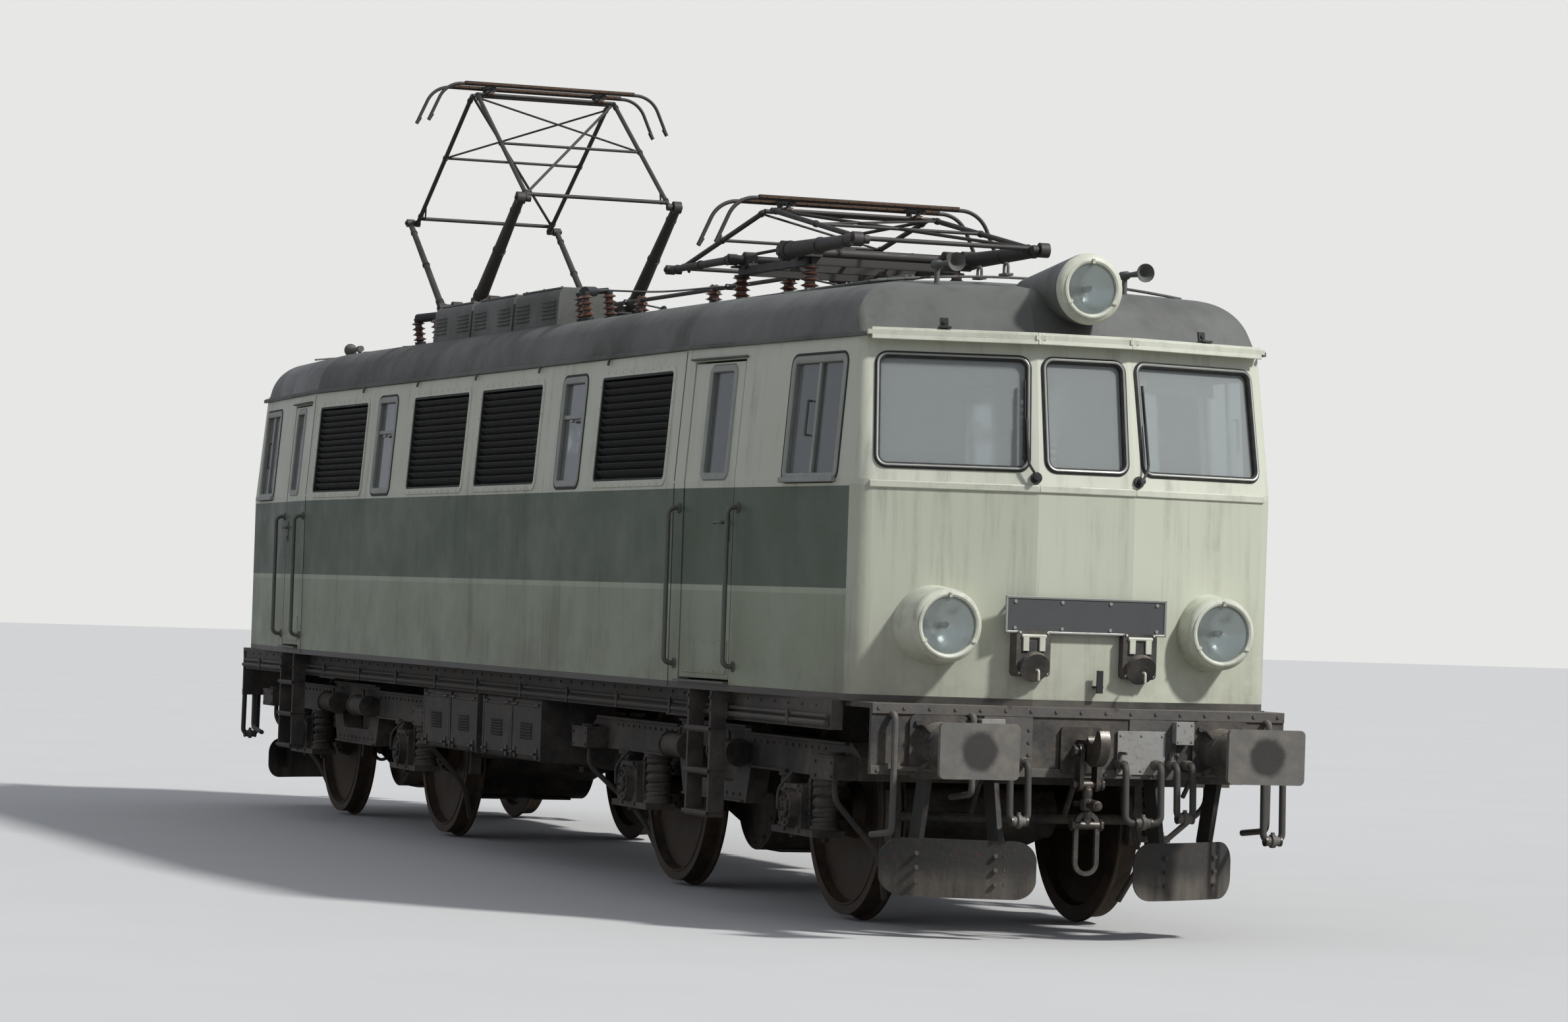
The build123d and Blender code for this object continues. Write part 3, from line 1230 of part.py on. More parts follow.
with BuildPart() as brake_gear:
    for end in (1, -1):
        with Locations((end * AXLE_X, 0, 0)):
            add(brake.part)
            add(brake.part.mirror(Plane.YZ))
    mirror(about=Plane.XZ)

for number, end in ((1, 1), (2, -1)):
    bogie = Pos(end * PIVOT_SPACING / 2, 0, 0)
    save(bogie * bogie_frame.part, f"bogie_frame_{number}")
    save(bogie * suspension.part, f"axleboxes_{number}")
    save(bogie * both_ends(motor.part), f"traction_motors_{number}")
    save(bogie * brake_gear.part, f"brake_gear_{number}")
    for index, axle in ((1, 1), (2, -1)):
        place = Pos(end * PIVOT_SPACING / 2 + axle * AXLE_X, 0, AXLE_Z)
        save(place * wheelset.part, f"wheelset_{2 * number - 2 + index}")

# Gear hung below the body between the bogies
with BuildPart() as battery_boxes:
    for side in (1, -1):
        for x_low, x_high in BATTERY_BOXES:
            y_low, y_high = sorted((side * BATTERY_INNER_Y, side * BATTERY_OUTER_Y))
            with BuildSketch(Plane.YZ.offset(x_low)):
                with Locations(((y_low + y_high) / 2, (BATTERY_BOTTOM_Z + SOLEBAR_BOTTOM_Z) / 2)):
                    RectangleRounded(y_high - y_low, SOLEBAR_BOTTOM_Z - BATTERY_BOTTOM_Z, BATTERY_CORNER)
            extrude(amount=x_high - x_low)
save(battery_boxes.part, "battery_boxes")

with BuildPart() as air_reservoirs:
    for y in (-RESERVOIR_Y, RESERVOIR_Y):
        with BuildSketch(Plane(origin=(0, y, RESERVOIR_Z), x_dir=(1, 0, 0), z_dir=(0, -1, 0))):
            with BuildLine():
                middle, tip = dome(RESERVOIR_HALF - RESERVOIR_DISH, RESERVOIR_RADIUS, RESERVOIR_DISH)
                shoulder = (RESERVOIR_HALF - RESERVOIR_DISH, RESERVOIR_RADIUS)
                ThreePointArc(tip, middle, shoulder)
                Line(shoulder, (-shoulder[0], shoulder[1]))
                ThreePointArc((-shoulder[0], shoulder[1]), (-middle[0], middle[1]), (-tip[0], 0))
                Line((-tip[0], 0), tip)
            make_face()
        revolve(axis=Axis((0, y, RESERVOIR_Z), (1, 0, 0)))
        for x in (-STRAP_X, STRAP_X):
            with BuildSketch(Plane.YZ.offset(x - STRAP_WIDTH / 2)):
                with Locations((y, RESERVOIR_Z)):
                    Circle(RESERVOIR_RADIUS + STRAP_THICKNESS)
                with Locations((y, (RESERVOIR_Z + SOLEBAR_BOTTOM_Z) / 2)):
                    Rectangle(STRAP_WIDTH, SOLEBAR_BOTTOM_Z - RESERVOIR_Z)
            extrude(amount=STRAP_WIDTH)
save(air_reservoirs.part, "air_reservoirs")

# Rail guards: curved blades on brackets below the headstocks, each rib at its own distance out and back
with BuildPart() as rail_guard:
    for side in (1, -1):
        with BuildSketch(Plane.XY.offset(GUARD_BOTTOM_Z)):
            with BuildLine() as blade_line:
                ThreePointArc(
                    (GUARD_FRONT_X, side * GUARD_INNER_Y),
                    (GUARD_FRONT_X - GUARD_MID_SWEEP, side * GUARD_MID_Y),
                    (GUARD_FRONT_X - GUARD_SWEEP, side * GUARD_OUTER_Y),
                )
            trace(line_width=GUARD_THICKNESS)
        extrude(amount=GUARD_HEIGHT)
    with BuildSketch(Plane.YZ.offset(GUARD_FRONT_X - 2 * GUARD_SWEEP)):
        with Locations((-GUARD_MID_Y, GUARD_MID_Z), (GUARD_MID_Y, GUARD_MID_Z)):
            RectangleRounded(GUARD_OUTER_Y - GUARD_INNER_Y, GUARD_HEIGHT, GUARD_CORNER)
    extrude(amount=3 * GUARD_SWEEP, mode=Mode.INTERSECT)
    for side in (1, -1):
        for rib_y, rib_sweep in GUARD_RIBS:
            x_back = GUARD_FRONT_X - rib_sweep
            with BuildSketch(Plane.XZ.offset(-side * rib_y - GUARD_RIB / 2)):
                with BuildLine():
                    Polyline(
                        (HEADSTOCK_X - HEADSTOCK_THICKNESS, HEADSTOCK_BOTTOM_Z),
                        (HEADSTOCK_X - HEADSTOCK_THICKNESS - GUARD_FOOT, HEADSTOCK_BOTTOM_Z),
                        (x_back - GUARD_FOOT, GUARD_BOTTOM_Z + GUARD_HEIGHT),
                        (x_back - GUARD_FOOT / 2, GUARD_BOTTOM_Z + GUARD_HEIGHT / 4),
                        (x_back, GUARD_BOTTOM_Z + GUARD_HEIGHT / 4),
                        (x_back, GUARD_BOTTOM_Z + GUARD_HEIGHT),
                        close=True,
                    )
                make_face()
            extrude(amount=GUARD_RIB)
save(both_ends(rail_guard.part), "rail_guards")

# Steps below each cab door: two stringers and treads, hung from the solebar
with BuildPart() as steps:
    for offset_x in (-STEP_WIDTH / 2, STEP_WIDTH / 2):
        with BuildSketch(Plane.YZ.offset(DOOR_CENTRE_X + offset_x - STEP_BAR / 2)):
            with BuildLine():
                Polyline(
                    (SOLEBAR_Y, SILL_Z),
                    (STEP_Y + STEP_TREAD / 2, SILL_Z),
                    (STEP_Y + STEP_TREAD / 2, STEP_BOTTOM_Z),
                    (STEP_Y - STEP_TREAD / 2, STEP_BOTTOM_Z),
                    (STEP_Y - STEP_TREAD / 2, SOLEBAR_BOTTOM_Z),
                    (SOLEBAR_Y, SOLEBAR_BOTTOM_Z),
                    close=True,
                )
            make_face()
        extrude(amount=STEP_BAR)
    for index in range(STEP_COUNT):
        z = STEP_BOTTOM_Z + index * (SILL_Z - STEP_BOTTOM_Z) / STEP_COUNT
        x_low = DOOR_CENTRE_X - STEP_WIDTH / 2
        y_low = STEP_Y - STEP_TREAD / 2
        add(slab(x_low, x_low + STEP_WIDTH, z, z + STEP_BAR, y_low, y_low + STEP_TREAD))
with BuildPart() as door_steps:
    add(steps.part)
    mirror(about=Plane.XZ)
save(both_ends(door_steps.part), "door_steps")

# Handrails each side of the cab doors, bowed out from the wall on their feet
with BuildPart() as handrails:
    for end, side in TAPER_PANELS:
        panel = TAPER_PANELS[end, side]
        angle = radians(panel[2])
        for offset_x in (-RAIL_OFFSET, DOOR_WIDTH + RAIL_OFFSET):
            distance = along_at(panel, end * (DOOR_REAR_X + offset_x))
            foot = (panel[0] - sin(angle) * distance, panel[1] + cos(angle) * distance)
            path_plane = profile_plane((*foot, panel[2]))
            with BuildLine(path_plane):
                FilletPolyline(
                    (0, HANDRAIL_BOTTOM_Z),
                    (HANDRAIL_REACH, HANDRAIL_BOTTOM_Z),
                    (HANDRAIL_REACH, HANDRAIL_TOP_Z),
                    (0, HANDRAIL_TOP_Z),
                    radius=HANDRAIL_BEND,
                )
            with BuildSketch(Plane(origin=(foot[0], foot[1], HANDRAIL_BOTTOM_Z), z_dir=path_plane.x_dir)):
                Circle(HANDRAIL_RADIUS)
            sweep()
save(handrails.part, "door_handrails")

# Jumper sockets below the number plate, each a box with a hinged round cap
with BuildPart() as jumper_sockets:
    for y in (-SOCKET_Y, SOCKET_Y):
        with BuildSketch(Plane.YZ.offset(FACE_X - SOCKET_DEPTH)):
            with Locations((y, SOCKET_Z)):
                RectangleRounded(SOCKET_WIDTH, SOCKET_HEIGHT, SOCKET_CORNER)
        extrude(amount=2 * SOCKET_DEPTH)
        cap_normal = (cos(radians(SOCKET_CAP_TILT)), 0, -sin(radians(SOCKET_CAP_TILT)))
        cap_centre = (FACE_X + SOCKET_DEPTH, y, SOCKET_Z - SOCKET_CAP_DROP)
        with BuildSketch(Plane(origin=cap_centre, z_dir=cap_normal)):
            Circle(SOCKET_CAP_RADIUS)
        extrude(amount=SOCKET_CAP_DEPTH)
    add(OUTER, mode=Mode.SUBTRACT)
save(both_ends(jumper_sockets.part), "jumper_sockets")

# Brake hoses: y, depth of the hanging bow, width of the bow
with BuildPart() as brake_hoses:
    for y, drop, width in HOSES:
        lean = width / 2
        with BuildLine():
            FilletPolyline(
                (HEADSTOCK_X, y - lean, HOSE_Z),
                (HEADSTOCK_X + HOSE_REACH, y - lean, HOSE_Z),
                (HEADSTOCK_X + HOSE_BOW, y - lean, HOSE_Z - drop),
                (HEADSTOCK_X + HOSE_BOW, y + lean, HOSE_Z - drop),
                (HEADSTOCK_X + HOSE_REACH, y + lean, HOSE_Z),
                (HEADSTOCK_X, y + lean, HOSE_Z),
                radius=HOSE_BEND,
            )
        with BuildSketch(Plane(origin=(HEADSTOCK_X, y - lean, HOSE_Z), z_dir=(1, 0, 0))):
            Circle(HOSE_RADIUS)
        sweep()
save(both_ends(brake_hoses.part), "brake_hoses")

# Cab fittings: a desk below the windscreens and two seats in each cab
with BuildPart() as desk_block:
    with BuildSketch(Plane.XZ.offset(-DESK_HALF_WIDTH)):
        with BuildLine():
            Polyline(
                (DESK_REAR_X, DECK_TOP_Z + DESK_KNEE),
                (DESK_REAR_X + DESK_LIP, DECK_TOP_Z + DESK_HEIGHT - DESK_LIP),
                (DESK_REAR_X + DESK_TOP, DECK_TOP_Z + DESK_HEIGHT),
                (FAR, DECK_TOP_Z + DESK_HEIGHT),
                (FAR, DECK_TOP_Z),
                (DESK_REAR_X + DESK_TOP, DECK_TOP_Z),
                (DESK_REAR_X + DESK_TOP, DECK_TOP_Z + DESK_KNEE),
                close=True,
            )
        make_face()
    extrude(amount=2 * DESK_HALF_WIDTH)
    add(INNER, mode=Mode.INTERSECT)
with BuildPart() as seat:
    with BuildSketch(Plane.XY.offset(DECK_TOP_Z)):
        Circle(SEAT_FOOT)
    extrude(amount=SEAT_HEIGHT - SEAT_CUSHION)
    with BuildSketch(Plane.XY.offset(DECK_TOP_Z + SEAT_HEIGHT - SEAT_CUSHION)):
        RectangleRounded(SEAT_SIZE, SEAT_SIZE, SEAT_CORNER)
    extrude(amount=SEAT_CUSHION)
    with BuildSketch(Plane.XZ.offset(-SEAT_SIZE / 2)):
        with BuildLine():
            Polyline(
                (-SEAT_SIZE / 2, DECK_TOP_Z + SEAT_HEIGHT),
                (-SEAT_SIZE / 2 + SEAT_BACK_ROOT, DECK_TOP_Z + SEAT_HEIGHT),
                (-SEAT_SIZE / 2 - SEAT_BACK_LEAN + SEAT_BACK_TOP, DECK_TOP_Z + SEAT_HEIGHT + SEAT_SIZE),
                (-SEAT_SIZE / 2 - SEAT_BACK_LEAN, DECK_TOP_Z + SEAT_HEIGHT + SEAT_SIZE),
                close=True,
            )
        make_face()
    extrude(amount=SEAT_SIZE)
with BuildPart() as cab_fittings:
    add(desk_block.part)
    for y in (-SEAT_Y, SEAT_Y):
        with Locations((SEAT_X, y, 0)):
            add(seat.part)
save(both_ends(cab_fittings.part), "cab_fittings")

# Transformer and switchgear of the machine room, as one closed block with an aisle each side
with BuildPart() as machinery:
    reach = BULKHEAD_X - MACHINE_END_GAP
    add(slab(-reach, reach, DECK_TOP_Z, DECK_TOP_Z + MACHINE_HEIGHT, -MACHINE_HALF_WIDTH, MACHINE_HALF_WIDTH))
save(machinery.part, "machinery_block")

# Fairings along one side of the roof, with sloped sides and rounded upper edges
with BuildPart() as roof_boxes:
    for x_low, x_high in ROOF_BOX_SPANS:
        with BuildSketch(Plane.YZ.offset(x_low)):
            with BuildLine():
                FilletPolyline(
                    (-ROOF_BOX_OUTER_Y, ROOF_BOX_BASE_Z),
                    (-ROOF_BOX_OUTER_Y + ROOF_BOX_SLOPE, ROOF_BOX_TOP_Z),
                    (-ROOF_BOX_INNER_Y, ROOF_BOX_TOP_Z),
                    (-ROOF_BOX_INNER_Y, ROOF_BOX_BASE_Z),
                    radius=ROOF_BOX_CORNER,
                )
                Line((-ROOF_BOX_INNER_Y, ROOF_BOX_BASE_Z), (-ROOF_BOX_OUTER_Y, ROOF_BOX_BASE_Z))
            make_face()
        extrude(amount=x_high - x_low)
    add(OUTER, mode=Mode.SUBTRACT)
save(both_ends(roof_boxes.part), "roof_boxes")

with BuildPart() as horns:
    for y in (-HORN_Y, HORN_Y):
        with BuildSketch(Plane(origin=(HORN_X, y, HORN_Z), x_dir=(1, 0, 0), z_dir=(0, -1, 0))):
            with BuildLine():
                Polyline(
                    (-HORN_BACK, 0),
                    (-HORN_BACK, HORN_CHAMBER_RADIUS),
                    (HORN_CHAMBER - HORN_BACK, HORN_CHAMBER_RADIUS),
                    (HORN_THROAT - HORN_BACK, HORN_THROAT_RADIUS),
                    (HORN_FLARE_START, HORN_FLARE_RADIUS),
                    (HORN_MOUTH, HORN_MOUTH_RADIUS),
                    (HORN_MOUTH + HORN_LIP, HORN_MOUTH_RADIUS),
                    (HORN_BORE_DEPTH, HORN_BORE_RADIUS),
                    (HORN_BORE_DEPTH, 0),
                    close=True,
                )
            make_face()
        revolve(axis=Axis((0, y, HORN_Z), (1, 0, 0)))
        with BuildSketch(Plane.XY.offset(ROOF_TOP_Z - HORN_SINK)):
            with Locations((HORN_X - HORN_POST_BACK, y)):
                Circle(HORN_POST_RADIUS)
        extrude(amount=HORN_Z - ROOF_TOP_Z + HORN_SINK)
    add(OUTER, mode=Mode.SUBTRACT)
save(both_ends(horns.part), "horns")


# Pantographs: lower arms on shafts, upper frames hinged at the knees and a head carried on their apexes
def closed_angle(lower_angle):
    # Angle of the upper frame above the horizontal for which it reaches its own side of the head
    return degrees(acos((SHAFT_X + LOWER_ARM * cos(radians(lower_angle)) - APEX_HALF_GAP) / UPPER_ARM))


def tube(start, finish, radius, end_radius):
    # Straight tapered tube between two points
    axis = Vector(*finish) - Vector(*start)
    with BuildPart() as bar:
        with BuildSketch(Plane(origin=start, z_dir=axis)):
            Circle(radius)
        with BuildSketch(Plane(origin=finish, z_dir=axis)):
            Circle(end_radius)
        loft()
    return bar.part


def across(x, z, half_length, radius):
    # Round bar across the roof, centred on the middle line
    with BuildPart() as bar:
        with BuildSketch(Plane.XZ.offset(-half_length)):
            with Locations((x, z)):
                Circle(radius)
        extrude(amount=2 * half_length)
    return bar.part


# Lower arms by side of the pantograph: radius at the shaft, radius at the knee
ARM_RADII = {1: (54.0, 36.0), -1: (27.0, 22.0)}
with BuildPart() as pantograph_base:
    for y in (-BASE_Y, BASE_Y):
        add(slab(-BASE_HALF, BASE_HALF, BASE_Z, BASE_Z + BASE_BAR, y - BASE_BAR / 2, y + BASE_BAR / 2))
    for x in (-BASE_HALF, BASE_HALF):
        add(slab(x - BASE_BAR / 2, x + BASE_BAR / 2, BASE_Z, BASE_Z + BASE_BAR, -BASE_Y, BASE_Y))
    for x in (-SHAFT_X, SHAFT_X):
        for y in (-BASE_Y, BASE_Y):
            with BuildSketch(Plane.XZ.offset(-y - BASE_BAR / 2)):
                with Locations((x, (BASE_Z + BASE_BAR + SHAFT_Z) / 2)):
                    Rectangle(2 * BEARING_RADIUS, SHAFT_Z - BASE_Z - BASE_BAR)
                with Locations((x, SHAFT_Z)):
                    Circle(BEARING_RADIUS)
                    Circle(SHAFT_RADIUS + RUNNING_GAP, mode=Mode.SUBTRACT)
            extrude(amount=BASE_BAR)

for number, end, rest in ((1, 1, LOWERED_ANGLE), (2, -1, RAISED_ANGLE)):
    place = Pos(end * PANTOGRAPH_X, 0, 0)
    lower_angle = radians(rest)
    upper_angle = radians(closed_angle(rest))
    knee_x = SHAFT_X + LOWER_ARM * cos(lower_angle)
    knee_z = SHAFT_Z + LOWER_ARM * sin(lower_angle)
    apex_z = knee_z + UPPER_ARM * sin(upper_angle)
    for name, half in (("front", 1), ("rear", -1)):
        thick, thin = ARM_RADII[half]
        with BuildPart() as lower_frame:
            add(across(half * SHAFT_X, SHAFT_Z, LOWER_ARM_Y + thick, SHAFT_RADIUS))
            for y in (-LOWER_ARM_Y, LOWER_ARM_Y):
                add(tube((half * SHAFT_X, y, SHAFT_Z), (half * knee_x, y, knee_z), thick, thin))
                with BuildSketch(Plane.XZ.offset(-y - KNEE_BOSS / 2)):
                    with Locations((half * knee_x, knee_z)):
                        Circle(thin + KNEE_WALL)
                extrude(amount=KNEE_BOSS)
                with BuildSketch(Plane.XZ.offset(-y - KNEE_BOSS / 2)):
                    with Locations((half * SHAFT_X, SHAFT_Z)):
                        Circle(thick + KNEE_WALL)
                extrude(amount=KNEE_BOSS)
            for side in (-1, 1):
                y_low, y_high = sorted((side * LOWER_ARM_Y, side * KNEE_PIN_Y))
                with BuildSketch(Plane.XZ.offset(-y_high)):
                    with Locations((half * knee_x, knee_z)):
                        Circle(KNEE_PIN)
                extrude(amount=y_high - y_low)
        save(place * lower_frame.part, f"pantograph_{number}_lower_{name}")
        with BuildPart() as upper_frame:
            add(across(half * APEX_HALF_GAP, apex_z, UPPER_ARM_Y, APEX_RADIUS))
            knee_bar_x = knee_x - KNEE_BAR_BACK * cos(upper_angle)
            knee_bar_z = knee_z + KNEE_BAR_BACK * sin(upper_angle)
            add(across(half * knee_bar_x, knee_bar_z, UPPER_ARM_Y, APEX_RADIUS))
            for y in (-UPPER_ARM_Y, UPPER_ARM_Y):
                knee, apex = (half * knee_x, y, knee_z), (half * APEX_HALF_GAP, y, apex_z)
                add(tube(knee, apex, UPPER_RADIUS, UPPER_RADIUS))
                with BuildSketch(Plane.XZ.offset(-y - KNEE_EYE / 2)):
                    with Locations((half * knee_x, knee_z)):
                        Circle(UPPER_RADIUS + KNEE_WALL)
                extrude(amount=KNEE_EYE)
                with BuildSketch(Plane.XZ.offset(-y - KNEE_EYE / 2)):
                    with Locations((half * knee_x, knee_z)):
                        Circle(KNEE_PIN + RUNNING_GAP)
                extrude(amount=KNEE_EYE, mode=Mode.SUBTRACT)
            add(
                tube(
                    (half * knee_bar_x, half * end * UPPER_ARM_Y, knee_bar_z),
                    (half * APEX_HALF_GAP, -half * end * UPPER_ARM_Y, apex_z),
                    BRACE_RADIUS,
                    BRACE_RADIUS,
                )
            )
        save(place * upper_frame.part, f"pantograph_{number}_upper_{name}")
    with BuildPart() as head:
        for x in (-STRIP_X, STRIP_X):
            strip_z = apex_z + STRIP_RISE - STRIP_DEPTH - HORN_TUBE
            with BuildLine(Plane.YZ.offset(x)):
                FilletPolyline(
                    (-HEAD_HALF_WIDTH, strip_z - HEAD_DROP),
                    (-HEAD_BEND_Y, strip_z),
                    (HEAD_BEND_Y, strip_z),
                    (HEAD_HALF_WIDTH, strip_z - HEAD_DROP),
                    radius=HEAD_BEND,
                )
            slope = Vector(0, HEAD_HALF_WIDTH - HEAD_BEND_Y, HEAD_DROP)
            with BuildSketch(Plane(origin=(x, -HEAD_HALF_WIDTH, strip_z - HEAD_DROP), z_dir=slope)):
                Circle(HORN_TUBE)
            sweep()
            x_low, x_high = x - STRIP_WIDTH / 2, x + STRIP_WIDTH / 2
            add(slab(x_low, x_high, strip_z, strip_z + STRIP_DEPTH + HORN_TUBE, -STRIP_HALF, STRIP_HALF))
        for y in (-HEAD_BAR_Y, HEAD_BAR_Y):
            add(
                slab(
                    -STRIP_X,
                    STRIP_X,
                    strip_z - HORN_TUBE,
                    strip_z + HORN_TUBE,
                    y - HEAD_BAR / 2,
                    y + HEAD_BAR / 2,
                )
            )
            with BuildSketch(Plane.XZ.offset(-y - HEAD_BAR / 2)):
                with Locations((APEX_HALF_GAP, apex_z)):
                    Circle(APEX_RADIUS + KNEE_WALL)
                with Locations((APEX_HALF_GAP, (apex_z + strip_z) / 2)):
                    Rectangle(2 * APEX_RADIUS, strip_z - apex_z)
                with Locations((APEX_HALF_GAP, apex_z)):
                    Circle(APEX_RADIUS + RUNNING_GAP, mode=Mode.SUBTRACT)
            extrude(amount=HEAD_BAR)
    save(place * head.part, f"pantograph_{number}_head")

# Roof insulators below the pantographs and the high-tension bars, and what stands on them
with BuildPart() as insulator:
    with BuildSketch(Plane.XZ):
        with BuildLine():
            points = [(0, -INSULATOR_SINK), (INSULATOR_FOOT, -INSULATOR_SINK), (INSULATOR_FOOT, 0)]
            pitch = INSULATOR_HEIGHT / INSULATOR_SHEDS
            for shed in range(INSULATOR_SHEDS):
                points += [
                    (INSULATOR_CORE, (shed + SHED_LOW) * pitch),
                    (INSULATOR_SHED, (shed + SHED_TIP) * pitch),
                    (INSULATOR_CORE, (shed + SHED_HIGH) * pitch),
                ]
            points += [(INSULATOR_CORE, INSULATOR_HEIGHT), (0, INSULATOR_HEIGHT)]
            Polyline(*points, close=True)
        make_face()
    revolve(axis=Axis.Z)
with BuildPart() as roof_insulators:
    for end in (1, -1):
        for x, y in [(x, y) for x in (-BASE_HALF, BASE_HALF) for y in (-BASE_Y, BASE_Y)]:
            with Locations((end * PANTOGRAPH_X + x, y, BASE_Z - INSULATOR_HEIGHT)):
                add(insulator.part)
    for x in BUSBAR_POSTS:
        with Locations((x, 0, BUSBAR_Z - INSULATOR_HEIGHT)):
            add(insulator.part)
    add(OUTER, mode=Mode.SUBTRACT)
save(roof_insulators.part, "roof_insulators")

with BuildPart() as pantograph_bases:
    with Locations((PANTOGRAPH_X, 0, 0), (-PANTOGRAPH_X, 0, 0)):
        add(pantograph_base.part)
save(pantograph_bases.part, "pantograph_bases")

with BuildPart() as roof_busbars:
    reach = PANTOGRAPH_X - BASE_HALF - BASE_BAR / 2
    with BuildSketch(Plane.YZ.offset(-reach)):
        with Locations((0, BUSBAR_Z + BUSBAR_RADIUS)):
            Circle(BUSBAR_RADIUS)
    extrude(amount=2 * reach)
save(roof_busbars.part, "roof_busbars")
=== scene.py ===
"""Looks of the four-axle electric locomotive: finishes, glazing, trim and fittings, in metres."""

import json
from itertools import product
from math import acos, atan2, cos, pi, radians, sin, tan

import bmesh
import bpy
from mathutils import Matrix, Vector


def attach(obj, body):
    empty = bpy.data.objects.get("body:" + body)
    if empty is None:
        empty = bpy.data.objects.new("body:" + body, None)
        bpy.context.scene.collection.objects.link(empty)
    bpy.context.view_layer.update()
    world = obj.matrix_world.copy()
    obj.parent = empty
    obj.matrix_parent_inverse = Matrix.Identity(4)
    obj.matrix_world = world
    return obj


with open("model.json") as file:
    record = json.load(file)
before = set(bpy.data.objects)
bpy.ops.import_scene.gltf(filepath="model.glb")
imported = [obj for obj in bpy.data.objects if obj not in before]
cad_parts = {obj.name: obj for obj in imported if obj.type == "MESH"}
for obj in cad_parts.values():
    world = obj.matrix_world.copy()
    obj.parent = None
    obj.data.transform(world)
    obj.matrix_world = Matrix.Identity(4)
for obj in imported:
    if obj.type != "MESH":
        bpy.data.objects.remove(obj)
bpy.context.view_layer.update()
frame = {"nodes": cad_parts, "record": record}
NODES = frame["nodes"]

# Heights and places shared with the solids
RAIL = 0.028
HALF_WIDTH = 1.519
TAPER_X = 4.5
TAPER_ANGLE = 4.8
FACE_X = 7.33
CENTRE_FACET_HALF = 0.3
FACET_ANGLE = 15.4
SILL_Z = RAIL + 1.3
WAIST_Z = RAIL + 2.56
CANTRAIL_Z = RAIL + 3.37
WALL_LEAN = 0.062
FACE_RAKE = 0.14
OPENING_MID_Z = RAIL + 2.917
OPENING_HEIGHT = 0.7
OPENING_CORNER = 0.045
SCREEN_MID_Z = RAIL + 2.96
SCREEN_HEIGHT = 0.64
SCREEN_CORNER = 0.055
LOUVRE_WIDTH = 1.44
LOUVRE_CENTRES = (0.87, 3.58)
NARROW_WIDTH = 0.48
NARROW_CENTRE = 2.3
CAB_WINDOW_X = 6.42
CAB_WINDOW_WIDTH = 0.7
DOOR_CENTRE_X = 5.02
DOOR_WIDTH = 0.72
DOOR_WINDOW_X = 5.08
DOOR_WINDOW_WIDTH = 0.37
DOOR_WINDOW_HEIGHT = 0.672
DOOR_BOTTOM_Z = RAIL + 1.37
DOOR_TOP_Z = RAIL + 3.28
CROWN_Z = RAIL + 3.795
SHOULDER_RISE = 0.29
CROWN_HALF = 1.407

# Headlamps: y, z, face x, radius, rim
LAMPS = (
    (0.85, RAIL + 1.745, 7.3925, 0.21, 0.042),
    (-0.85, RAIL + 1.745, 7.3925, 0.21, 0.042),
    (0.0, RAIL + 3.69, 7.3075, 0.205, 0.053),
)
TOP_RIM_DEPTH = 0.05

# Fittings of the ends
PLATE_STAND = 0.035
PLATE_Z = RAIL + 1.82
PLATE_WIDTH = 1.0
PLATE_HEIGHT = 0.21
FACE_LENGTH = 0.97
GUTTER_TOP_Z = CANTRAIL_Z + 0.041
VISOR_REACH = 0.08
HOOD_LUGS = (6.6, 6.2)
LUG_LOOP = ((0.0, 0.03), (0.07, 0.03), (0.07, -0.03), (0.0, -0.03))
SOCKET_DEPTH = 0.06
SOCKET_Y = 0.33
SOCKET_Z = RAIL + 1.6
HEADSTOCK_X = 7.3375
HEADSTOCK_BOTTOM_Z = RAIL + 0.9
HEADSTOCK_WIDTH = 2.56
BUFFER_Y = 0.875
BUFFER_Z = RAIL + 1.06
BUFFER_FLANGE_THICKNESS = 0.024
HOOK_EYE_X = 0.12
COUPLING_PLATE = 0.19
COUPLING_SCREW = 0.23
HOSE_Z = RAIL + 0.985
HOSE_BOW = 0.126
GUARD_FRONT_X = HEADSTOCK_X + 0.12
GUARD_MID_Z = RAIL + 0.375

# Boxes on the headstock's face: x across, y up, width, height
HEADSTOCK_BOXES = ((-0.57, 0.02, 0.13, 0.2), (0.62, 0.07, 0.1, 0.12))
HEADSTOCK_PANEL = (0.375, -0.05, 0.3, 0.25)

# Brake hoses: y, depth and width of the bow
HOSES = ((-0.42, 0.33, 0.11), (0.35, 0.33, 0.22), (0.61, 0.3, 0.1), (1.17, 0.42, 0.12))

# Ribs of the rail guards: y, distance back
GUARD_RIBS = ((0.5, 0.055), (0.9, 0.255))

# Sides and gear below them
SEAM_PLACES = (-TAPER_X, TAPER_X)
RAIL_OFFSET = 0.075
HANDRAIL_BOTTOM_Z = RAIL + 1.45
HANDRAIL_TOP_Z = RAIL + 2.4
SOLEBAR_Y = 1.36
BATTERY_BOXES = ((-1.45, -0.06), (0.06, 1.45))
BATTERY_OUTER_Y = 1.35
BATTERY_TOP_Z = SILL_Z - 0.17
BATTERY_BOTTOM_Z = RAIL + 0.7
RESERVOIR_Y = 0.33
RESERVOIR_Z = RAIL + 0.8
RESERVOIR_HALF = 1.15
STEP_Y = 1.44
STEP_WIDTH = 0.4
STEP_BAR = 0.03
STEP_TREAD = 0.1
STEP_BOTTOM_Z = RAIL + 0.54
STEP_COUNT = 3

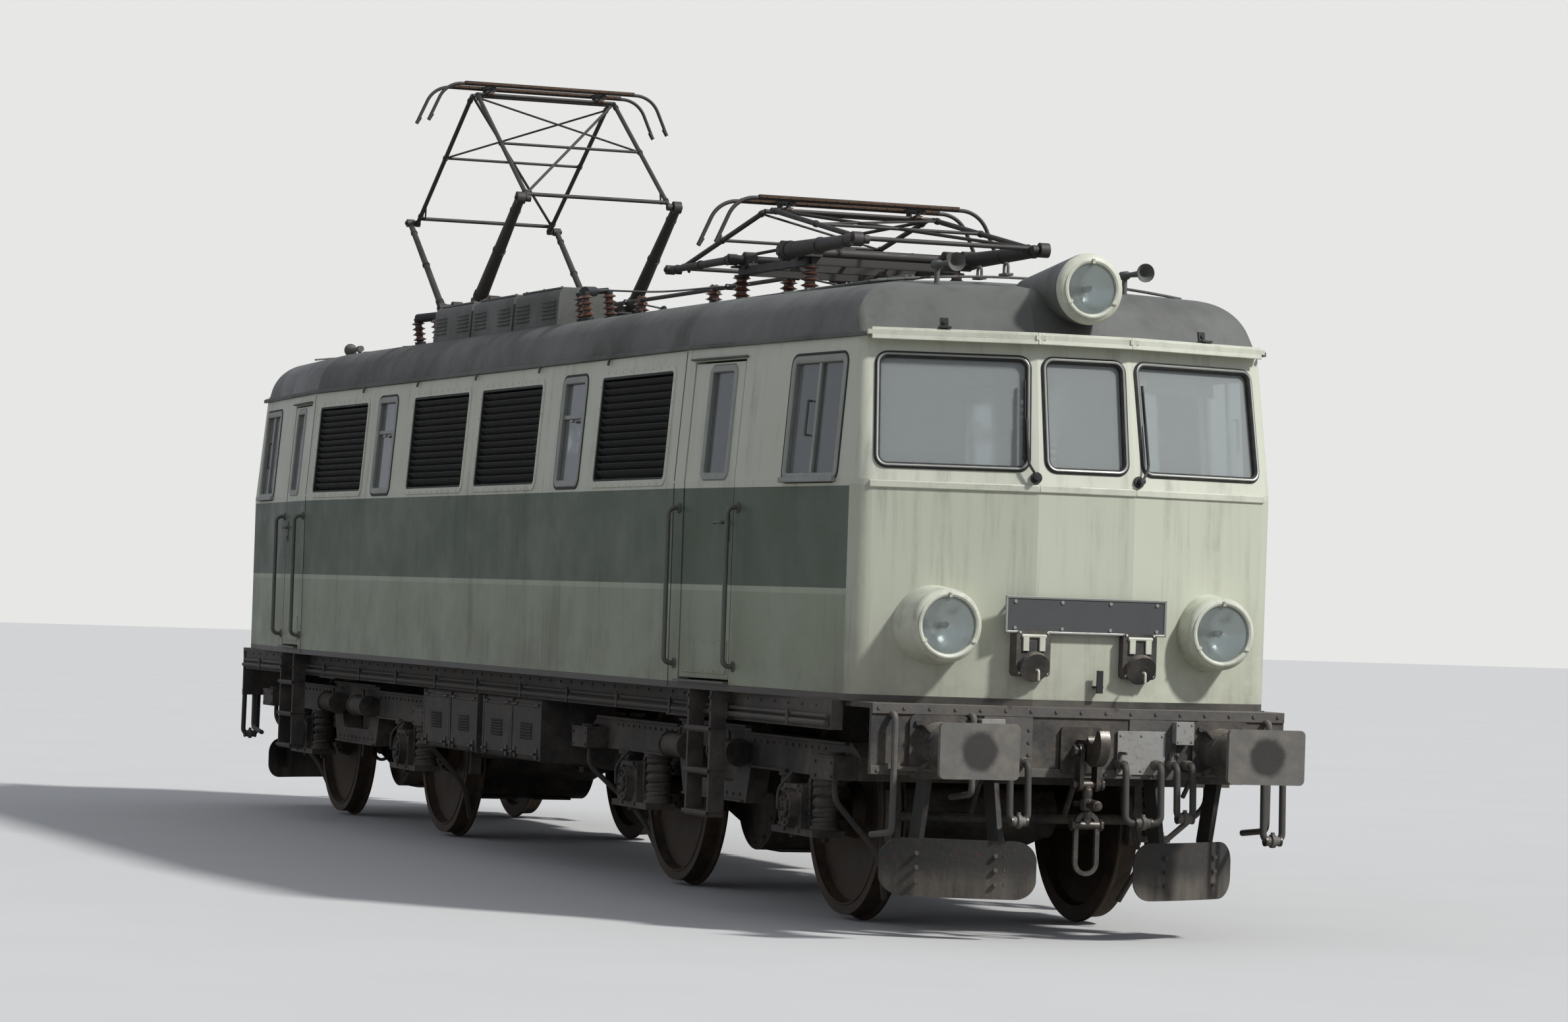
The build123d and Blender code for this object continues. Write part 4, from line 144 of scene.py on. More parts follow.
# Bogies
PIVOT_X = 4.25
AXLE_X = 1.525
AXLE_Z = RAIL + 0.625
FRAME_Y = 1.04
FRAME_OUTER_Y = 1.105
FITTING_Y = FRAME_OUTER_Y + 0.075
SAND_NOZZLE_Y = 0.75
FRAME_TOP_Z = RAIL + 1.05
FRAME_BOTTOM_Z = RAIL + 0.835
SPRING_OFFSET = 0.27
SPRING_SEAT_Z = AXLE_Z - 0.11
AXLEBOX_OUTER_Y = 1.15
COVER_FACE_Y = 1.195
SANDBOX_X = 2.13
BEAM_X = 2.202
MOTOR_X = 0.885
WHEEL_FACE_Y = 0.815

# Roof: hatches as x and length, ribs, fuses beside the fairings, and boxes as their spans along x
HATCHES = ((0.0, 1.25), (1.55, 1.3), (-1.55, 1.3))
RIBS = (-6.35, -4.9, -2.55, -0.78, 0.78, 2.55, 4.9, 6.35)
RIB_HALF = 1.0
RIB_PARTS = 18
FUSE_PLACES = (-2.42, 1.12)
ROOF_BOX_SPANS = ((-2.18, -1.23), (-1.18, -0.18), (-0.13, 0.9))
ROOF_BOX_OUTER_Y = 1.19
ROOF_BOX_TOP_Z = RAIL + 3.962

# Pantographs
PANTOGRAPH_X = 3.4
SHAFT_X = 0.5
SHAFT_Z = RAIL + 4.07
LOWER_ARM = 1.25
UPPER_ARM = 1.71
APEX_HALF_GAP = 0.065
LOWER_ARM_Y = 0.62
UPPER_ARM_Y = 0.56
REST_ANGLES = {1: 0.0, 2: 36.0}
ARM_RADII = {1: (0.054, 0.036), -1: (0.027, 0.022)}
BASE_Y = 0.5
BASE_HALF = 0.64
BASE_BAR = 0.05
BASE_Z = RAIL + 3.98
SPRING_Z = BASE_Z + 0.1
STRIP_X = 0.17
STRIP_TOP = 0.085
STRIP_HALF = 0.69
STRIP_TO_HORN = 0.321
HEAD_HALF_WIDTH = 0.975
HEAD_BAR_Y = 0.45
BUSBAR_Z = RAIL + 4.0
BUSBAR_POSTS = (-2.3, -0.8, 0.8, 2.3)

# Cabs
DESK_X = 6.56
DESK_Z = SILL_Z + 1.015
SEAT_X = 6.15
SEAT_Y = 0.7
SEAT_TOP_Z = SILL_Z + 0.615
SEAT_WIDTH = 0.45
SEAT_LENGTH = 0.45
BACK_LENGTH = 0.42
CUSHION_HEIGHT = 0.085
CUSHION_PINCH = 0.05

# Rings of a cushion from below: share of its outline, height as a share of its own
CUSHION_LEVELS = (
    (0.93, 0.0),
    (0.985, 0.2),
    (1.0, 0.5),
    (0.98, 0.78),
    (0.86, 1.0),
    (0.6, 1.12),
    (0.3, 1.18),
    (0.02, 1.2),
)

# Heights where the paint changes colour
LINE_Z = RAIL + 1.9
LINE_HEIGHT = 0.035
BAND_TOP_Z = RAIL + 2.52
DUST_TOP_Z = RAIL + 2.1
DUST_FULL_Z = RAIL + 1.2
DUST_SHARE = 0.5
STREAK_SHARE = 0.35

# Paint and other colours, as linear values
CREAM = (0.61, 0.625, 0.51, 1)
# Darker cream on the cab faces below the waist: painted shade, as the faces are one cream all over
FACE_SHADE_CREAM = (0.53, 0.55, 0.435, 1)
GREEN_DARK = (0.092, 0.122, 0.08, 1)
GREEN_MID = (0.31, 0.355, 0.25, 1)
LINE_GREEN = (0.40, 0.445, 0.33, 1)
ROOF_GREY = (0.13, 0.134, 0.12, 1)
CAB_LINING = (0.42, 0.45, 0.36, 1)
CHASSIS_BLACK = (0.03, 0.03, 0.03, 1)
DUST = (0.20, 0.17, 0.135, 1)
GRIME = (0.035, 0.031, 0.026, 1)
RUST = (0.12, 0.045, 0.018, 1)
RUBBER_DUST = (0.09, 0.082, 0.07, 1)


class Shader:
    """Adds nodes to one material and joins them."""

    def __init__(self, name, **values):
        self.material = bpy.data.materials.new(name)
        self.material.use_nodes = True
        self.tree = self.material.node_tree
        self.bsdf = self.tree.nodes["Principled BSDF"]
        for socket, value in values.items():
            self.bsdf.inputs[socket.replace("_", " ")].default_value = value
        self.coordinates = self.tree.nodes.new("ShaderNodeTexCoord").outputs["Object"]

    def node(self, kind, links=(), **settings):
        made = self.tree.nodes.new("ShaderNode" + kind)
        for key, value in settings.items():
            setattr(made, key, value)
        for socket, value in dict(links).items():
            if isinstance(value, bpy.types.NodeSocket):
                self.tree.links.new(value, made.inputs[socket])
            else:
                made.inputs[socket].default_value = value
        return made

    def feed(self, socket, output):
        self.tree.links.new(output, self.bsdf.inputs[socket])

    def noise(self, scale, detail=5.0, rough=0.6, stretch=(1, 1, 1), offset=(0, 0, 0)):
        place = self.node("Mapping", {"Vector": self.coordinates, "Location": offset, "Scale": stretch})
        links = {"Vector": place.outputs[0], "Scale": scale, "Detail": detail, "Roughness": rough}
        return self.node("TexNoise", links).outputs["Fac"]

    def math(self, operation, a, b=0.0):
        return self.node("Math", {0: a, 1: b}, operation=operation).outputs[0]

    def times(self, a, b):
        return self.math("MULTIPLY", a, b)

    def span(self, value, low, high, to_low=0.0, to_high=1.0):
        links = {"Value": value, "From Min": low, "From Max": high, "To Min": to_low, "To Max": to_high}
        return self.node("MapRange", links, interpolation_type="SMOOTHSTEP").outputs[0]

    def mix(self, share, a, b):
        return self.node("Mix", {0: share, 6: a, 7: b}, data_type="RGBA").outputs[2]

    def place(self):
        return self.node("SeparateXYZ", {0: self.coordinates}).outputs

    def normal(self):
        return self.node("SeparateXYZ", {0: self.node("NewGeometry").outputs["Normal"]}).outputs

    def bump(self, *layers):
        """Each layer is a height output and its depth in metres."""
        normal = None
        for height, depth in layers:
            links = {"Height": height, "Distance": depth, "Strength": 1.0}
            if normal:
                links["Normal"] = normal
            normal = self.node("Bump", links).outputs[0]
        self.feed("Normal", normal)


def dirt(shader, colour):
    """Rain streaks, blotches and a film of dust that thickens towards the rail."""
    z = shader.place()[2]
    running = shader.noise(9.0, 6.0, 0.65, (1.0, 1.0, 0.07))
    blotches = shader.noise(1.7, 6.0, 0.7)
    share = shader.times(shader.span(running, 0.48, 0.75), STREAK_SHARE)
    colour = shader.mix(shader.times(share, shader.span(blotches, 0.3, 0.6)), colour, GRIME)
    dusty = shader.times(shader.span(z, DUST_TOP_Z, DUST_FULL_Z), shader.span(blotches, 0.25, 0.7))
    return shader.mix(shader.times(dusty, DUST_SHARE), colour, DUST), blotches


def body_paint():
    """Bands along the sides, and one light cream on the cab faces, painted darker below the waist as painted
    shade.
    """
    s = Shader("body_paint", Metallic=0.0)
    x, y, z = s.place()
    side = CREAM
    for height, colour in ((BAND_TOP_Z, GREEN_DARK), (LINE_Z + LINE_HEIGHT, LINE_GREEN), (LINE_Z, GREEN_MID)):
        side = s.mix(s.math("LESS_THAN", z, height), side, colour)
    angle = radians(FACET_ANGLE)
    reach = FACE_X * cos(angle) + CENTRE_FACET_HALF * sin(angle)
    forward = s.times(s.math("ABSOLUTE", x), cos(angle))
    outward = s.times(s.math("ABSOLUTE", y), sin(angle))
    on_face = s.math("GREATER_THAN", s.math("ADD", forward, outward), reach - 0.09)
    # Below the waist each face takes the darker cream: painted shade
    face = s.mix(s.math("GREATER_THAN", z, WAIST_Z - 0.03), FACE_SHADE_CREAM, CREAM)
    colour = s.mix(on_face, side, face)
    edge = s.math("LESS_THAN", z, SILL_Z + 0.04)
    colour = s.mix(edge, colour, (0.03, 0.032, 0.03, 1))
    colour = s.mix(s.math("GREATER_THAN", z, CANTRAIL_Z + 0.02), colour, roof_colour(s))
    colour, blotches = dirt(s, colour)
    colour = s.mix(inside(s, x, y, z), colour, CAB_LINING)
    s.feed("Base Color", colour)
    s.feed("Roughness", s.span(blotches, 0.2, 0.8, 0.34, 0.6))
    s.bump((s.noise(0.9, 2.0, 0.4), 0.012), (s.noise(160.0, 2.0), 0.0003))
    return s.material


def roof_colour(s):
    """Grey with soot in patches and a little rust."""
    soot = s.span(s.noise(1.1, 8.0, 0.7), 0.38, 0.72)
    colour = s.mix(s.times(soot, 0.75), ROOF_GREY, (0.07, 0.07, 0.062, 1))
    rusty = s.span(s.noise(4.0, 8.0, 0.75, (1, 1, 0.4), (7, 3, 1)), 0.6, 0.74)
    return s.mix(s.times(rusty, 0.35), colour, RUST)


def inside(s, x, y, z):
    """Whether a surface looks towards the middle of the body: the lining of walls, doors and ceiling."""
    normal = s.normal()
    across = s.math("ADD", s.times(normal[0], x), s.times(normal[1], y))
    ceiling = s.times(s.math("LESS_THAN", normal[2], -0.3), s.math("GREATER_THAN", z, WAIST_Z))
    return s.math("MAXIMUM", s.math("LESS_THAN", across, -0.4), ceiling)


def roof_paint():
    s = Shader("roof_paint")
    s.feed("Base Color", roof_colour(s))
    s.feed("Roughness", s.span(s.noise(1.1, 8.0, 0.7), 0.2, 0.8, 0.5, 0.85))
    s.bump((s.noise(1.2, 2.0, 0.4), 0.01), (s.noise(45.0, 4.0), 0.001))
    return s.material


def chassis_paint(name, colour, dust=0.55, paler_low_share=0.0):
    """Black paint under oil, brake dust and earth; on the rail guards a share of paler streaks low down,
    lighter towards the bottom.
    """
    s = Shader(name)
    patches = s.noise(3.2, 8.0, 0.7)
    fine = s.noise(28.0, 6.0, 0.7)
    made = s.mix(s.times(s.span(patches, 0.35, 0.7), dust), colour, DUST)
    made = s.mix(s.times(s.span(fine, 0.52, 0.7), 0.45), made, RUST)
    settled = s.times(s.span(s.normal()[2], 0.3, 0.95), s.span(fine, 0.3, 0.6))
    made = s.mix(s.times(settled, 0.7), made, DUST)
    if paler_low_share:
        # Paler streaks low down on the rail guards, lighter towards the bottom
        runs = s.span(s.noise(9.0, 5.0, 0.6, (1, 1, 0.12)), 0.35, 0.65, 0.25, 1.0)
        low = s.span(s.place()[2], GUARD_MID_Z + 0.04, GUARD_MID_Z - 0.1)
        made = s.mix(s.times(low, s.times(runs, paler_low_share)), made, DUST)
    s.feed("Base Color", made)
    s.feed("Roughness", s.span(patches, 0.2, 0.8, 0.45, 0.9))
    s.bump((s.noise(22.0, 5.0, 0.6), 0.003), (s.noise(190.0, 3.0), 0.0006))
    return s.material


def buffer_paint():
    """Worn grey paint with a greasy disc in the middle of each buffer head."""
    s = Shader("buffer_paint")
    _, y, z = s.place()
    across = s.math("SUBTRACT", s.math("ABSOLUTE", y), BUFFER_Y)
    up = s.math("SUBTRACT", z, BUFFER_Z)
    reach = s.math("SQRT", s.math("ADD", s.times(across, across), s.times(up, up)))
    patches = s.noise(9.0, 7.0, 0.7)
    colour = s.mix(s.span(patches, 0.35, 0.7), (0.125, 0.122, 0.112, 1), (0.18, 0.16, 0.135, 1))
    grease = s.span(s.math("ADD", reach, s.times(patches, 0.05)), 0.11, 0.16, 0.85, 0.0)
    s.feed("Base Color", s.mix(grease, colour, (0.03, 0.028, 0.026, 1)))
    s.feed("Roughness", s.span(grease, 0.0, 0.85, 0.7, 0.32))
    s.bump((s.noise(50.0, 4.0), 0.0008))
    return s.material


def worn(name, colour, other, patches, spread, rough, grain=None, share=1.0, **values):
    """A colour that goes over to another in patches, with roughness and fine relief to match.

    patches: scale, detail and roughness of the noise; spread: its values between which the change runs;
    rough: roughness at both ends; grain: scale, detail and depth of the relief.
    """
    s = Shader(name, **values)
    noise = s.noise(*patches)
    colour = colour(s) if callable(colour) else colour
    s.feed("Base Color", s.mix(s.times(s.span(noise, *spread), share), colour, other))
    s.feed("Roughness", s.span(noise, 0.2, 0.8, *rough))
    if grain:
        *pattern, depth = grain
        s.bump((s.noise(*pattern), depth))
    return s.material


def metal(name, colour, rough, rubbed=(0.3, 0.24, 0.18, 1), share=0.3, metallic=0.9):
    limits = (rough - 0.08, rough + 0.15)
    grain = (90.0, 4.0, 0.0008)
    return worn(name, colour, rubbed, (11.0, 7.0, 0.7), (0.45, 0.7), limits, grain, share, Metallic=metallic)


def rubber(name, colour=(0.02, 0.02, 0.02, 1)):
    grain = (140.0, 3.0, 0.0006)
    return worn(name, colour, RUBBER_DUST, (16.0, 5.0, 0.6), (0.4, 0.75), (0.55, 0.8), grain, 0.5)


def plain_paint(name, colour, rough=0.45, grime=0.3):
    """Enamel with some grime."""
    limits = (rough, rough + 0.2)
    return worn(name, colour, GRIME, (6.0, 7.0, 0.7), (0.42, 0.72), limits, (120.0, 3.0, 0.0005), grime)


def lamp_colour(s):
    """Cream, and roof grey on what lies back over the cab."""
    x, _, z = s.place()
    back = s.math("LESS_THAN", s.math("ABSOLUTE", x), LAMPS[2][2] - TOP_RIM_DEPTH)
    return s.mix(s.times(back, s.math("GREATER_THAN", z, CANTRAIL_Z)), CREAM, ROOF_GREY)


def glass(name, tint=(0.78, 0.84, 0.82, 1), rough=0.03, clear=0.92):
    s = Shader(name, Base_Color=tint, IOR=1.45, Transmission_Weight=clear)
    film = s.noise(3.0, 6.0, 0.7)
    s.feed("Roughness", s.span(film, 0.45, 0.75, rough, rough + 0.16))
    return s.material


WORLD = Matrix.Identity(4)
PAIR = (-1, 1)


def shift(x, y, z):
    return Matrix.Translation((x, y, z))


def spin(degrees, axis="Z"):
    return Matrix.Rotation(radians(degrees), 4, axis)


def pair(value):
    return (-value, value)


def row(count, step):
    """Evenly spaced values about zero."""
    return [(k - (count - 1) / 2) * step for k in range(count)]


def grid(xs, ys, z=0.0):
    return [(x, y, z) for x in xs for y in ys]


def ring(count, radius, z=0.0):
    angles = [2 * pi * k / count for k in range(count)]
    return [(radius * cos(a), radius * sin(a), z) for a in angles]


def rounded_rectangle(width, height, corner, steps):
    """Steps round a rounded rectangle: centre of the corner, and direction from it, as x and y each."""
    for quarter, (sx, sy) in enumerate(((1, 1), (-1, 1), (-1, -1), (1, -1))):
        for step in range(steps + 1):
            angle = pi / 2 * (quarter + step / steps)
            yield sx * (width / 2 - corner), sy * (height / 2 - corner), cos(angle), sin(angle)


def rounded_path(points, bend, steps=6):
    """Replaces each corner by a smooth bend that starts and ends a given way from it."""
    path = [points[0]]
    for before, corner, after in zip(points, points[1:], points[2:]):
        reach = min(bend, (corner - before).length * 0.48, (after - corner).length * 0.48)
        start = corner + (before - corner).normalized() * reach
        end = corner + (after - corner).normalized() * reach
        for step in range(steps + 1):
            t = step / steps
            path.append(start * (1 - t) ** 2 + corner * (2 * t * (1 - t)) + end * t**2)
    return path + [points[-1]]


def spiral(turns, radius, length, steps):
    """Points of a helix about the z axis, from the origin upwards."""
    count = int(turns * steps)
    angles = [2 * pi * k / steps for k in range(count + 1)]
    return [Vector((radius * cos(a), radius * sin(a), length * k / count)) for k, a in enumerate(angles)]


class Shape:
    """Collects simple solids into one mesh. Each takes the base frame that its places are given in."""

    def __init__(self):
        self.mesh = bmesh.new()

    def box(self, base, size, at=(0, 0, 0), turn=WORLD):
        """Block with its centre at a place."""
        matrix = base @ shift(*at) @ turn @ Matrix.Diagonal((*size, 1))
        bmesh.ops.create_cube(self.mesh, size=1.0, matrix=matrix)

    def rod(self, base, start, end, radius, sides=14, far=None):
        """Round bar between two points, or a cone if the far radius differs."""
        start, end = base @ Vector(start), base @ Vector(end)
        turn = (end - start).to_track_quat("Z", "Y").to_matrix().to_4x4()
        radii = {"radius1": radius, "radius2": radius if far is None else far}
        options = {"cap_ends": True, "cap_tris": False, "segments": sides, "depth": (end - start).length}
        bmesh.ops.create_cone(self.mesh, matrix=shift(*((start + end) / 2)) @ turn, **radii, **options)

    def peg(self, base, low, high, radius, sides=14, at=(0, 0)):
        """Rod along z, at a place in x and y."""
        self.rod(base, (*at, low), (*at, high), radius, sides)

    def bar(self, base, low, high, radius, sides=14, at=(0, 0)):
        """Rod along x, at a place in y and z."""
        self.rod(base, (low, *at), (high, *at), radius, sides)

    def bolts(self, base, places, radius, height):
        """Hexagon heads that stand along z."""
        for x, y, z in places:
            self.peg(base, z, z + height, radius, 6, (x, y))

    def loops(self, rings, caps=False):
        """Skin over rings of points that all have the same count, closed on itself or by two caps."""
        made = [[self.mesh.verts.new(point) for point in points] for points in rings]
        following = made[1:] if caps else made[1:] + made[:1]
        for first, second in zip(made, following):
            for i in range(len(first)):
                j = (i + 1) % len(first)
                self.mesh.faces.new((first[i], first[j], second[j], second[i]))
        if caps:
            self.mesh.faces.new(list(reversed(made[0])))
            self.mesh.faces.new(made[-1])

    def lathe(self, base, profile, sides=32):
        """Turned skin from (radius, height) points about z; it closes on itself."""
        turns = ring(sides, 1.0)
        self.loops([[base @ Vector((r * x, r * y, h)) for r, h in profile] for x, y, _ in turns])

    def border(self, base, width, height, corner, outline, steps=6):
        """Closed outline swept round a rounded rectangle: outline points are (outward, up) from its edge."""
        rings = []
        for x, y, dx, dy in rounded_rectangle(width, height, corner, steps):
            reaches = [(corner + outward, up) for outward, up in outline]
            rings.append([base @ Vector((x + r * dx, y + r * dy, up)) for r, up in reaches])
        self.loops(rings)

    def tube(self, base, points, radius, bend=0.04):
        """Round tube along points whose corners are rounded."""
        self.run(base, rounded_path([Vector(p) for p in points], bend), radius)

    def run(self, base, path, radius, sides=10):
        """Round tube along a smooth run of points."""
        path = [base @ point for point in path]
        side = None
        rings = []
        for i, point in enumerate(path):
            ahead = (path[min(i + 1, len(path) - 1)] - path[max(i - 1, 0)]).normalized()
            if side is None:
                side = ahead.orthogonal().normalized()
            side = (side - ahead * side.dot(ahead)).normalized()
            up = ahead.cross(side)
            rings.append([point + side * x + up * y for x, y, _ in ring(sides, radius)])
        self.loops(rings, caps=True)

    def prism(self, base, outline, depth):
        """Flat outline in x and y, thickened along z."""
        self.loops([[base @ Vector((x, y, z)) for x, y in outline] for z in (0, depth)], caps=True)

    def done(self, name, body, slot, material, bevel, smooth):
        """Turns what was collected into a piece that rides on a body."""
        data = bpy.data.meshes.new(name)
        bmesh.ops.recalc_face_normals(self.mesh, faces=self.mesh.faces)
        for face in self.mesh.faces:
            face.smooth = True
        for edge in self.mesh.edges:
            if len(edge.link_faces) == 2 and edge.calc_face_angle(0.0) > radians(smooth):
                edge.smooth = False
        self.mesh.to_mesh(data)
        self.mesh.free()
        data.materials.append(material)
        piece = bpy.data.objects.new(name, data)
        bpy.context.scene.collection.objects.link(piece)
        if bevel:
            rounding = piece.modifiers.new("edges", "BEVEL")
            rounding.width = bevel
            rounding.segments = 2
            rounding.limit_method = "ANGLE"
            rounding.angle_limit = radians(40)
        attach(piece, body)
        return piece


def facing(x_axis, z_axis, place):
    """Frame at a place, with y up."""
    return Matrix.Translation(place) @ Matrix((x_axis, (0, 0, 1), z_axis)).transposed().to_4x4()


def on_end(end, x, y, z):
    """Frame that looks out of a cab end: x across, y up and z outward."""
    return facing((0, end, 0), (end, 0, 0), (end * x, end * y, z))


def on_side(side, x, y, z):
    """Frame that looks out of a side: x along the body, y up and z outward."""
    return facing((-side, 0, 0), (0, side, 0), (x, side * y, z))


def roof_frame(x, y):
    """Frame lying on the roof: x along it, y across it and z outward."""
    crown = CROWN_Z - CANTRAIL_Z - SHOULDER_RISE
    tilt = Matrix.Rotation(atan2(-2 * crown * y / CROWN_HALF**2, 1.0), 4, "X")
    return shift(x, y, CROWN_Z - crown * (y / CROWN_HALF) ** 2) @ tilt


class Wall:
    """One flat panel of the body: frames on its outer face, x along it, y up it and z outward."""

    def __init__(self, x, y, heading, lean):
        self.x, self.y, self.heading, self.lean = x, y, radians(heading), lean

    def along(self, x):
        return (self.x - x) / sin(self.heading)

    def at(self, along, z, out=0.0):
        tilt = atan2(self.lean, CANTRAIL_Z - WAIST_Z) if z > WAIST_Z else 0.0
        back = max(0.0, z - WAIST_Z) * tan(tilt)
        c, s = cos(self.heading), sin(self.heading)
        origin = Vector((self.x - s * along - c * back, self.y + c * along - s * back, z))
        x_axis = Vector((-s, c, 0))
        z_axis = Vector((c * cos(tilt), s * cos(tilt), sin(tilt)))
        turn = Matrix((x_axis, z_axis.cross(x_axis), z_axis)).transposed().to_4x4()
        return Matrix.Translation(origin + z_axis * out) @ turn

    def over(self, x, z):
        """Frame at a place along the body."""
        return self.at(self.along(x), z)


SIDES = {side: Wall(0.0, side * HALF_WIDTH, side * 90.0, WALL_LEAN) for side in PAIR}
TAPERS = {
    (end, side): Wall(end * TAPER_X, side * HALF_WIDTH, side * (90.0 - end * TAPER_ANGLE), WALL_LEAN)
    for end, side in product(PAIR, PAIR)
}
FACES = {}
for end, side in product(PAIR, (-1, 0, 1)):
    heading = 90 - end * 90 + end * side * FACET_ANGLE
    FACES[end, side] = Wall(end * FACE_X, side * CENTRE_FACET_HALF, heading, FACE_RAKE)
ENDS = ((1, 1), (2, -1))

PAINT = body_paint()
ROOF = roof_paint()
UNDERFRAME = chassis_paint("underframe_paint", CHASSIS_BLACK)
BOGIE = chassis_paint("bogie_paint", (0.026, 0.025, 0.024, 1), 0.7)
WHEEL = worn(
    "wheel_steel",
    (0.075, 0.062, 0.05, 1),
    (0.14, 0.1, 0.07, 1),
    (7.0, 8.0, 0.7),
    (0.35, 0.7),
    (0.5, 0.8),
    (60.0, 4.0, 0.001),
    Metallic=0.75,
)
GLASS = glass("glass")
LOUVRE = plain_paint("louvre_metal", (0.016, 0.017, 0.016, 1), 0.5, 0.2)
HANDRAIL = metal("handrail_metal", (0.13, 0.14, 0.12, 1), 0.45, metallic=0.3)
LAMP = plain_paint("lamp_paint", lamp_colour, 0.4, 0.35)
RUBBER = rubber("hose_rubber")
INTERIOR = plain_paint("cab_interior", (0.16, 0.19, 0.15, 1), 0.6, 0.4)
PORCELAIN = worn(
    "porcelain",
    (0.11, 0.045, 0.026, 1),
    (0.06, 0.05, 0.042, 1),
    (14.0, 6.0, 0.7),
    (0.4, 0.75),
    (0.2, 0.5),
    Coat_Weight=0.6,
)
PANTOGRAPH = plain_paint("pantograph_steel", (0.05, 0.045, 0.04, 1), 0.5, 0.5)
STEEL = metal("bare_steel", (0.28, 0.27, 0.25, 1), 0.4)
GUARD = chassis_paint("guard_paint", (0.026, 0.026, 0.024, 1), 0.1, 0.5)
BUFFER = buffer_paint()
TRIM = plain_paint("trim_paint", CREAM, 0.42, 0.25)
DARK_STEEL = metal("oiled_steel", (0.11, 0.1, 0.09, 1), 0.42)
HOSE = rubber("dusty_rubber", (0.055, 0.053, 0.048, 1))
SCREEN = glass("windscreen_glass", (0.74, 0.78, 0.76, 1), 0.05, 0.72)
SLOT_MATERIALS = {
    "body_paint": PAINT,
    "roof_paint": ROOF,
    "underframe_paint": UNDERFRAME,
    "bogie_paint": BOGIE,
    "wheel_steel": WHEEL,
    "glass": GLASS,
    "louvre_metal": LOUVRE,
    "handrail_metal": HANDRAIL,
    "lamp_paint": LAMP,
    "hose_rubber": RUBBER,
    "cab_interior": INTERIOR,
    "porcelain": PORCELAIN,
    "pantograph_steel": PANTOGRAPH,
}
NODE_MATERIALS = {
    "rail_guards": GUARD,
    "buffer_heads": BUFFER,
    "draw_gear": DARK_STEEL,
    "brake_hoses": HOSE,
    "windscreens": SCREEN,
    "rain_gutters": TRIM,
}

for part in frame["record"]["subparts"]:
    node = NODES[part["node"]]
    node.data.materials.clear()
    node.data.materials.append(NODE_MATERIALS.get(part["node"], SLOT_MATERIALS[part["material_slot"]]))

DARK_SEAL = rubber("window_rubber")
BRIGHT = metal("window_alloy", (0.34, 0.35, 0.32, 1), 0.45, share=0.2, metallic=0.6)
BLACK = plain_paint("black_enamel", (0.02, 0.02, 0.021, 1), 0.4, 0.3)
GASKET = rubber("black_rubber", (0.015, 0.015, 0.015, 1))
MIRROR = metal("lamp_mirror", (0.8, 0.8, 0.78, 1), 0.16, share=0.1)
BULB = glass("lamp_bulb", (0.95, 0.94, 0.9, 1), 0.04)
PLATE = plain_paint("plate_enamel", (0.075, 0.076, 0.078, 1), 0.35, 0.3)
HEADSTOCK = chassis_paint("headstock_paint", (0.08, 0.08, 0.075, 1), 0.4)
GREY_BOX = chassis_paint("grey_box_paint", (0.3, 0.3, 0.28, 1), 0.4)
COCK = plain_paint("cock_paint", (0.16, 0.15, 0.13, 1), 0.5, 0.5)
PIPES = chassis_paint("pipe_paint", (0.05, 0.048, 0.045, 1), 0.4)
COPPER = metal("contact_copper", (0.15, 0.095, 0.065, 1), 0.4, (0.05, 0.045, 0.04, 1), 0.5)
DESK = plain_paint("desk_paint", (0.10, 0.12, 0.10, 1), 0.5, 0.3)
DIAL = plain_paint("dial_enamel", (0.7, 0.7, 0.66, 1), 0.3, 0.1)
LEATHER = rubber("seat_leather", (0.07, 0.035, 0.02, 1))

# Outlines swept round openings, plates and lamps: outward from the edge, and up
SEAL = [(-0.016, -0.018), (-0.016, 0.004), (-0.008, 0.012), (0.012, 0.012), (0.02, 0.005), (0.02, -0.004)]
BEAD = [(-0.004, 0.009), (-0.004, 0.016), (0.004, 0.018), (0.008, 0.016), (0.008, 0.009)]
FRAME = [(-0.03, -0.022), (-0.03, 0.004), (-0.024, 0.009), (0.01, 0.009), (0.018, 0.003), (0.018, -0.003)]
THIN_SEAL = [(outward * 0.4 + 0.024, up * 0.5) for outward, up in SEAL]
FLANGE = [(-0.012, -0.004), (-0.012, 0.006), (0.026, 0.006), (0.03, 0.003), (0.03, -0.003)]
PLATE_RIM = [(-0.014, 0.001), (-0.014, 0.007), (-0.011, 0.009), (-0.003, 0.009), (0, 0.006), (0, 0.001)]
BEZEL = [(-0.008, -0.013), (-0.004, 0.001), (0.008, 0.006), (0.018, 0.003), (0.018, -0.005), (0.0, -0.013)]
OPENING = (OPENING_HEIGHT, OPENING_CORNER)
SIDE_SCREEN_WIDTH = 0.86
MID_SCREEN_WIDTH = 0.49

# Outline of a lamp's bulb: radius, height
BULB_OUTLINE = [
    (0.0005, -0.036),
    (0.014, -0.04),
    (0.021, -0.055),
    (0.02, -0.07),
    (0.01, -0.085),
    (0.0005, -0.09),
]

# Runs of a wiper's arm, its blade's holder and its rubber: along the screen, up it and out of it
WIPER_RUNS = (
    ((0.02, -0.045, 0.044), (0.07, 0.03, 0.046), (0.082, 0.29, 0.034)),
    ((0.09, 0.09, 0.026), (0.09, 0.47, 0.026)),
    ((0.092, 0.05, 0.018), (0.092, 0.51, 0.018)),
)

# Pipes up the headstock's face: y, distance before it, lower end. Thin pipes across it: from, to
HEADSTOCK_PIPES = ((-1.16, 0.06, 0.58), (1.16, 0.06, 0.62), (-0.68, 0.05, 0.8))
HEADSTOCK_LINES = ((-1.2, -0.62), (1.2, 0.7))

# Insulators of a fuse: x away from the first, y
FUSE_INSULATORS = ((0.0, -0.86), (0.0, -1.06), (0.3, -1.12))

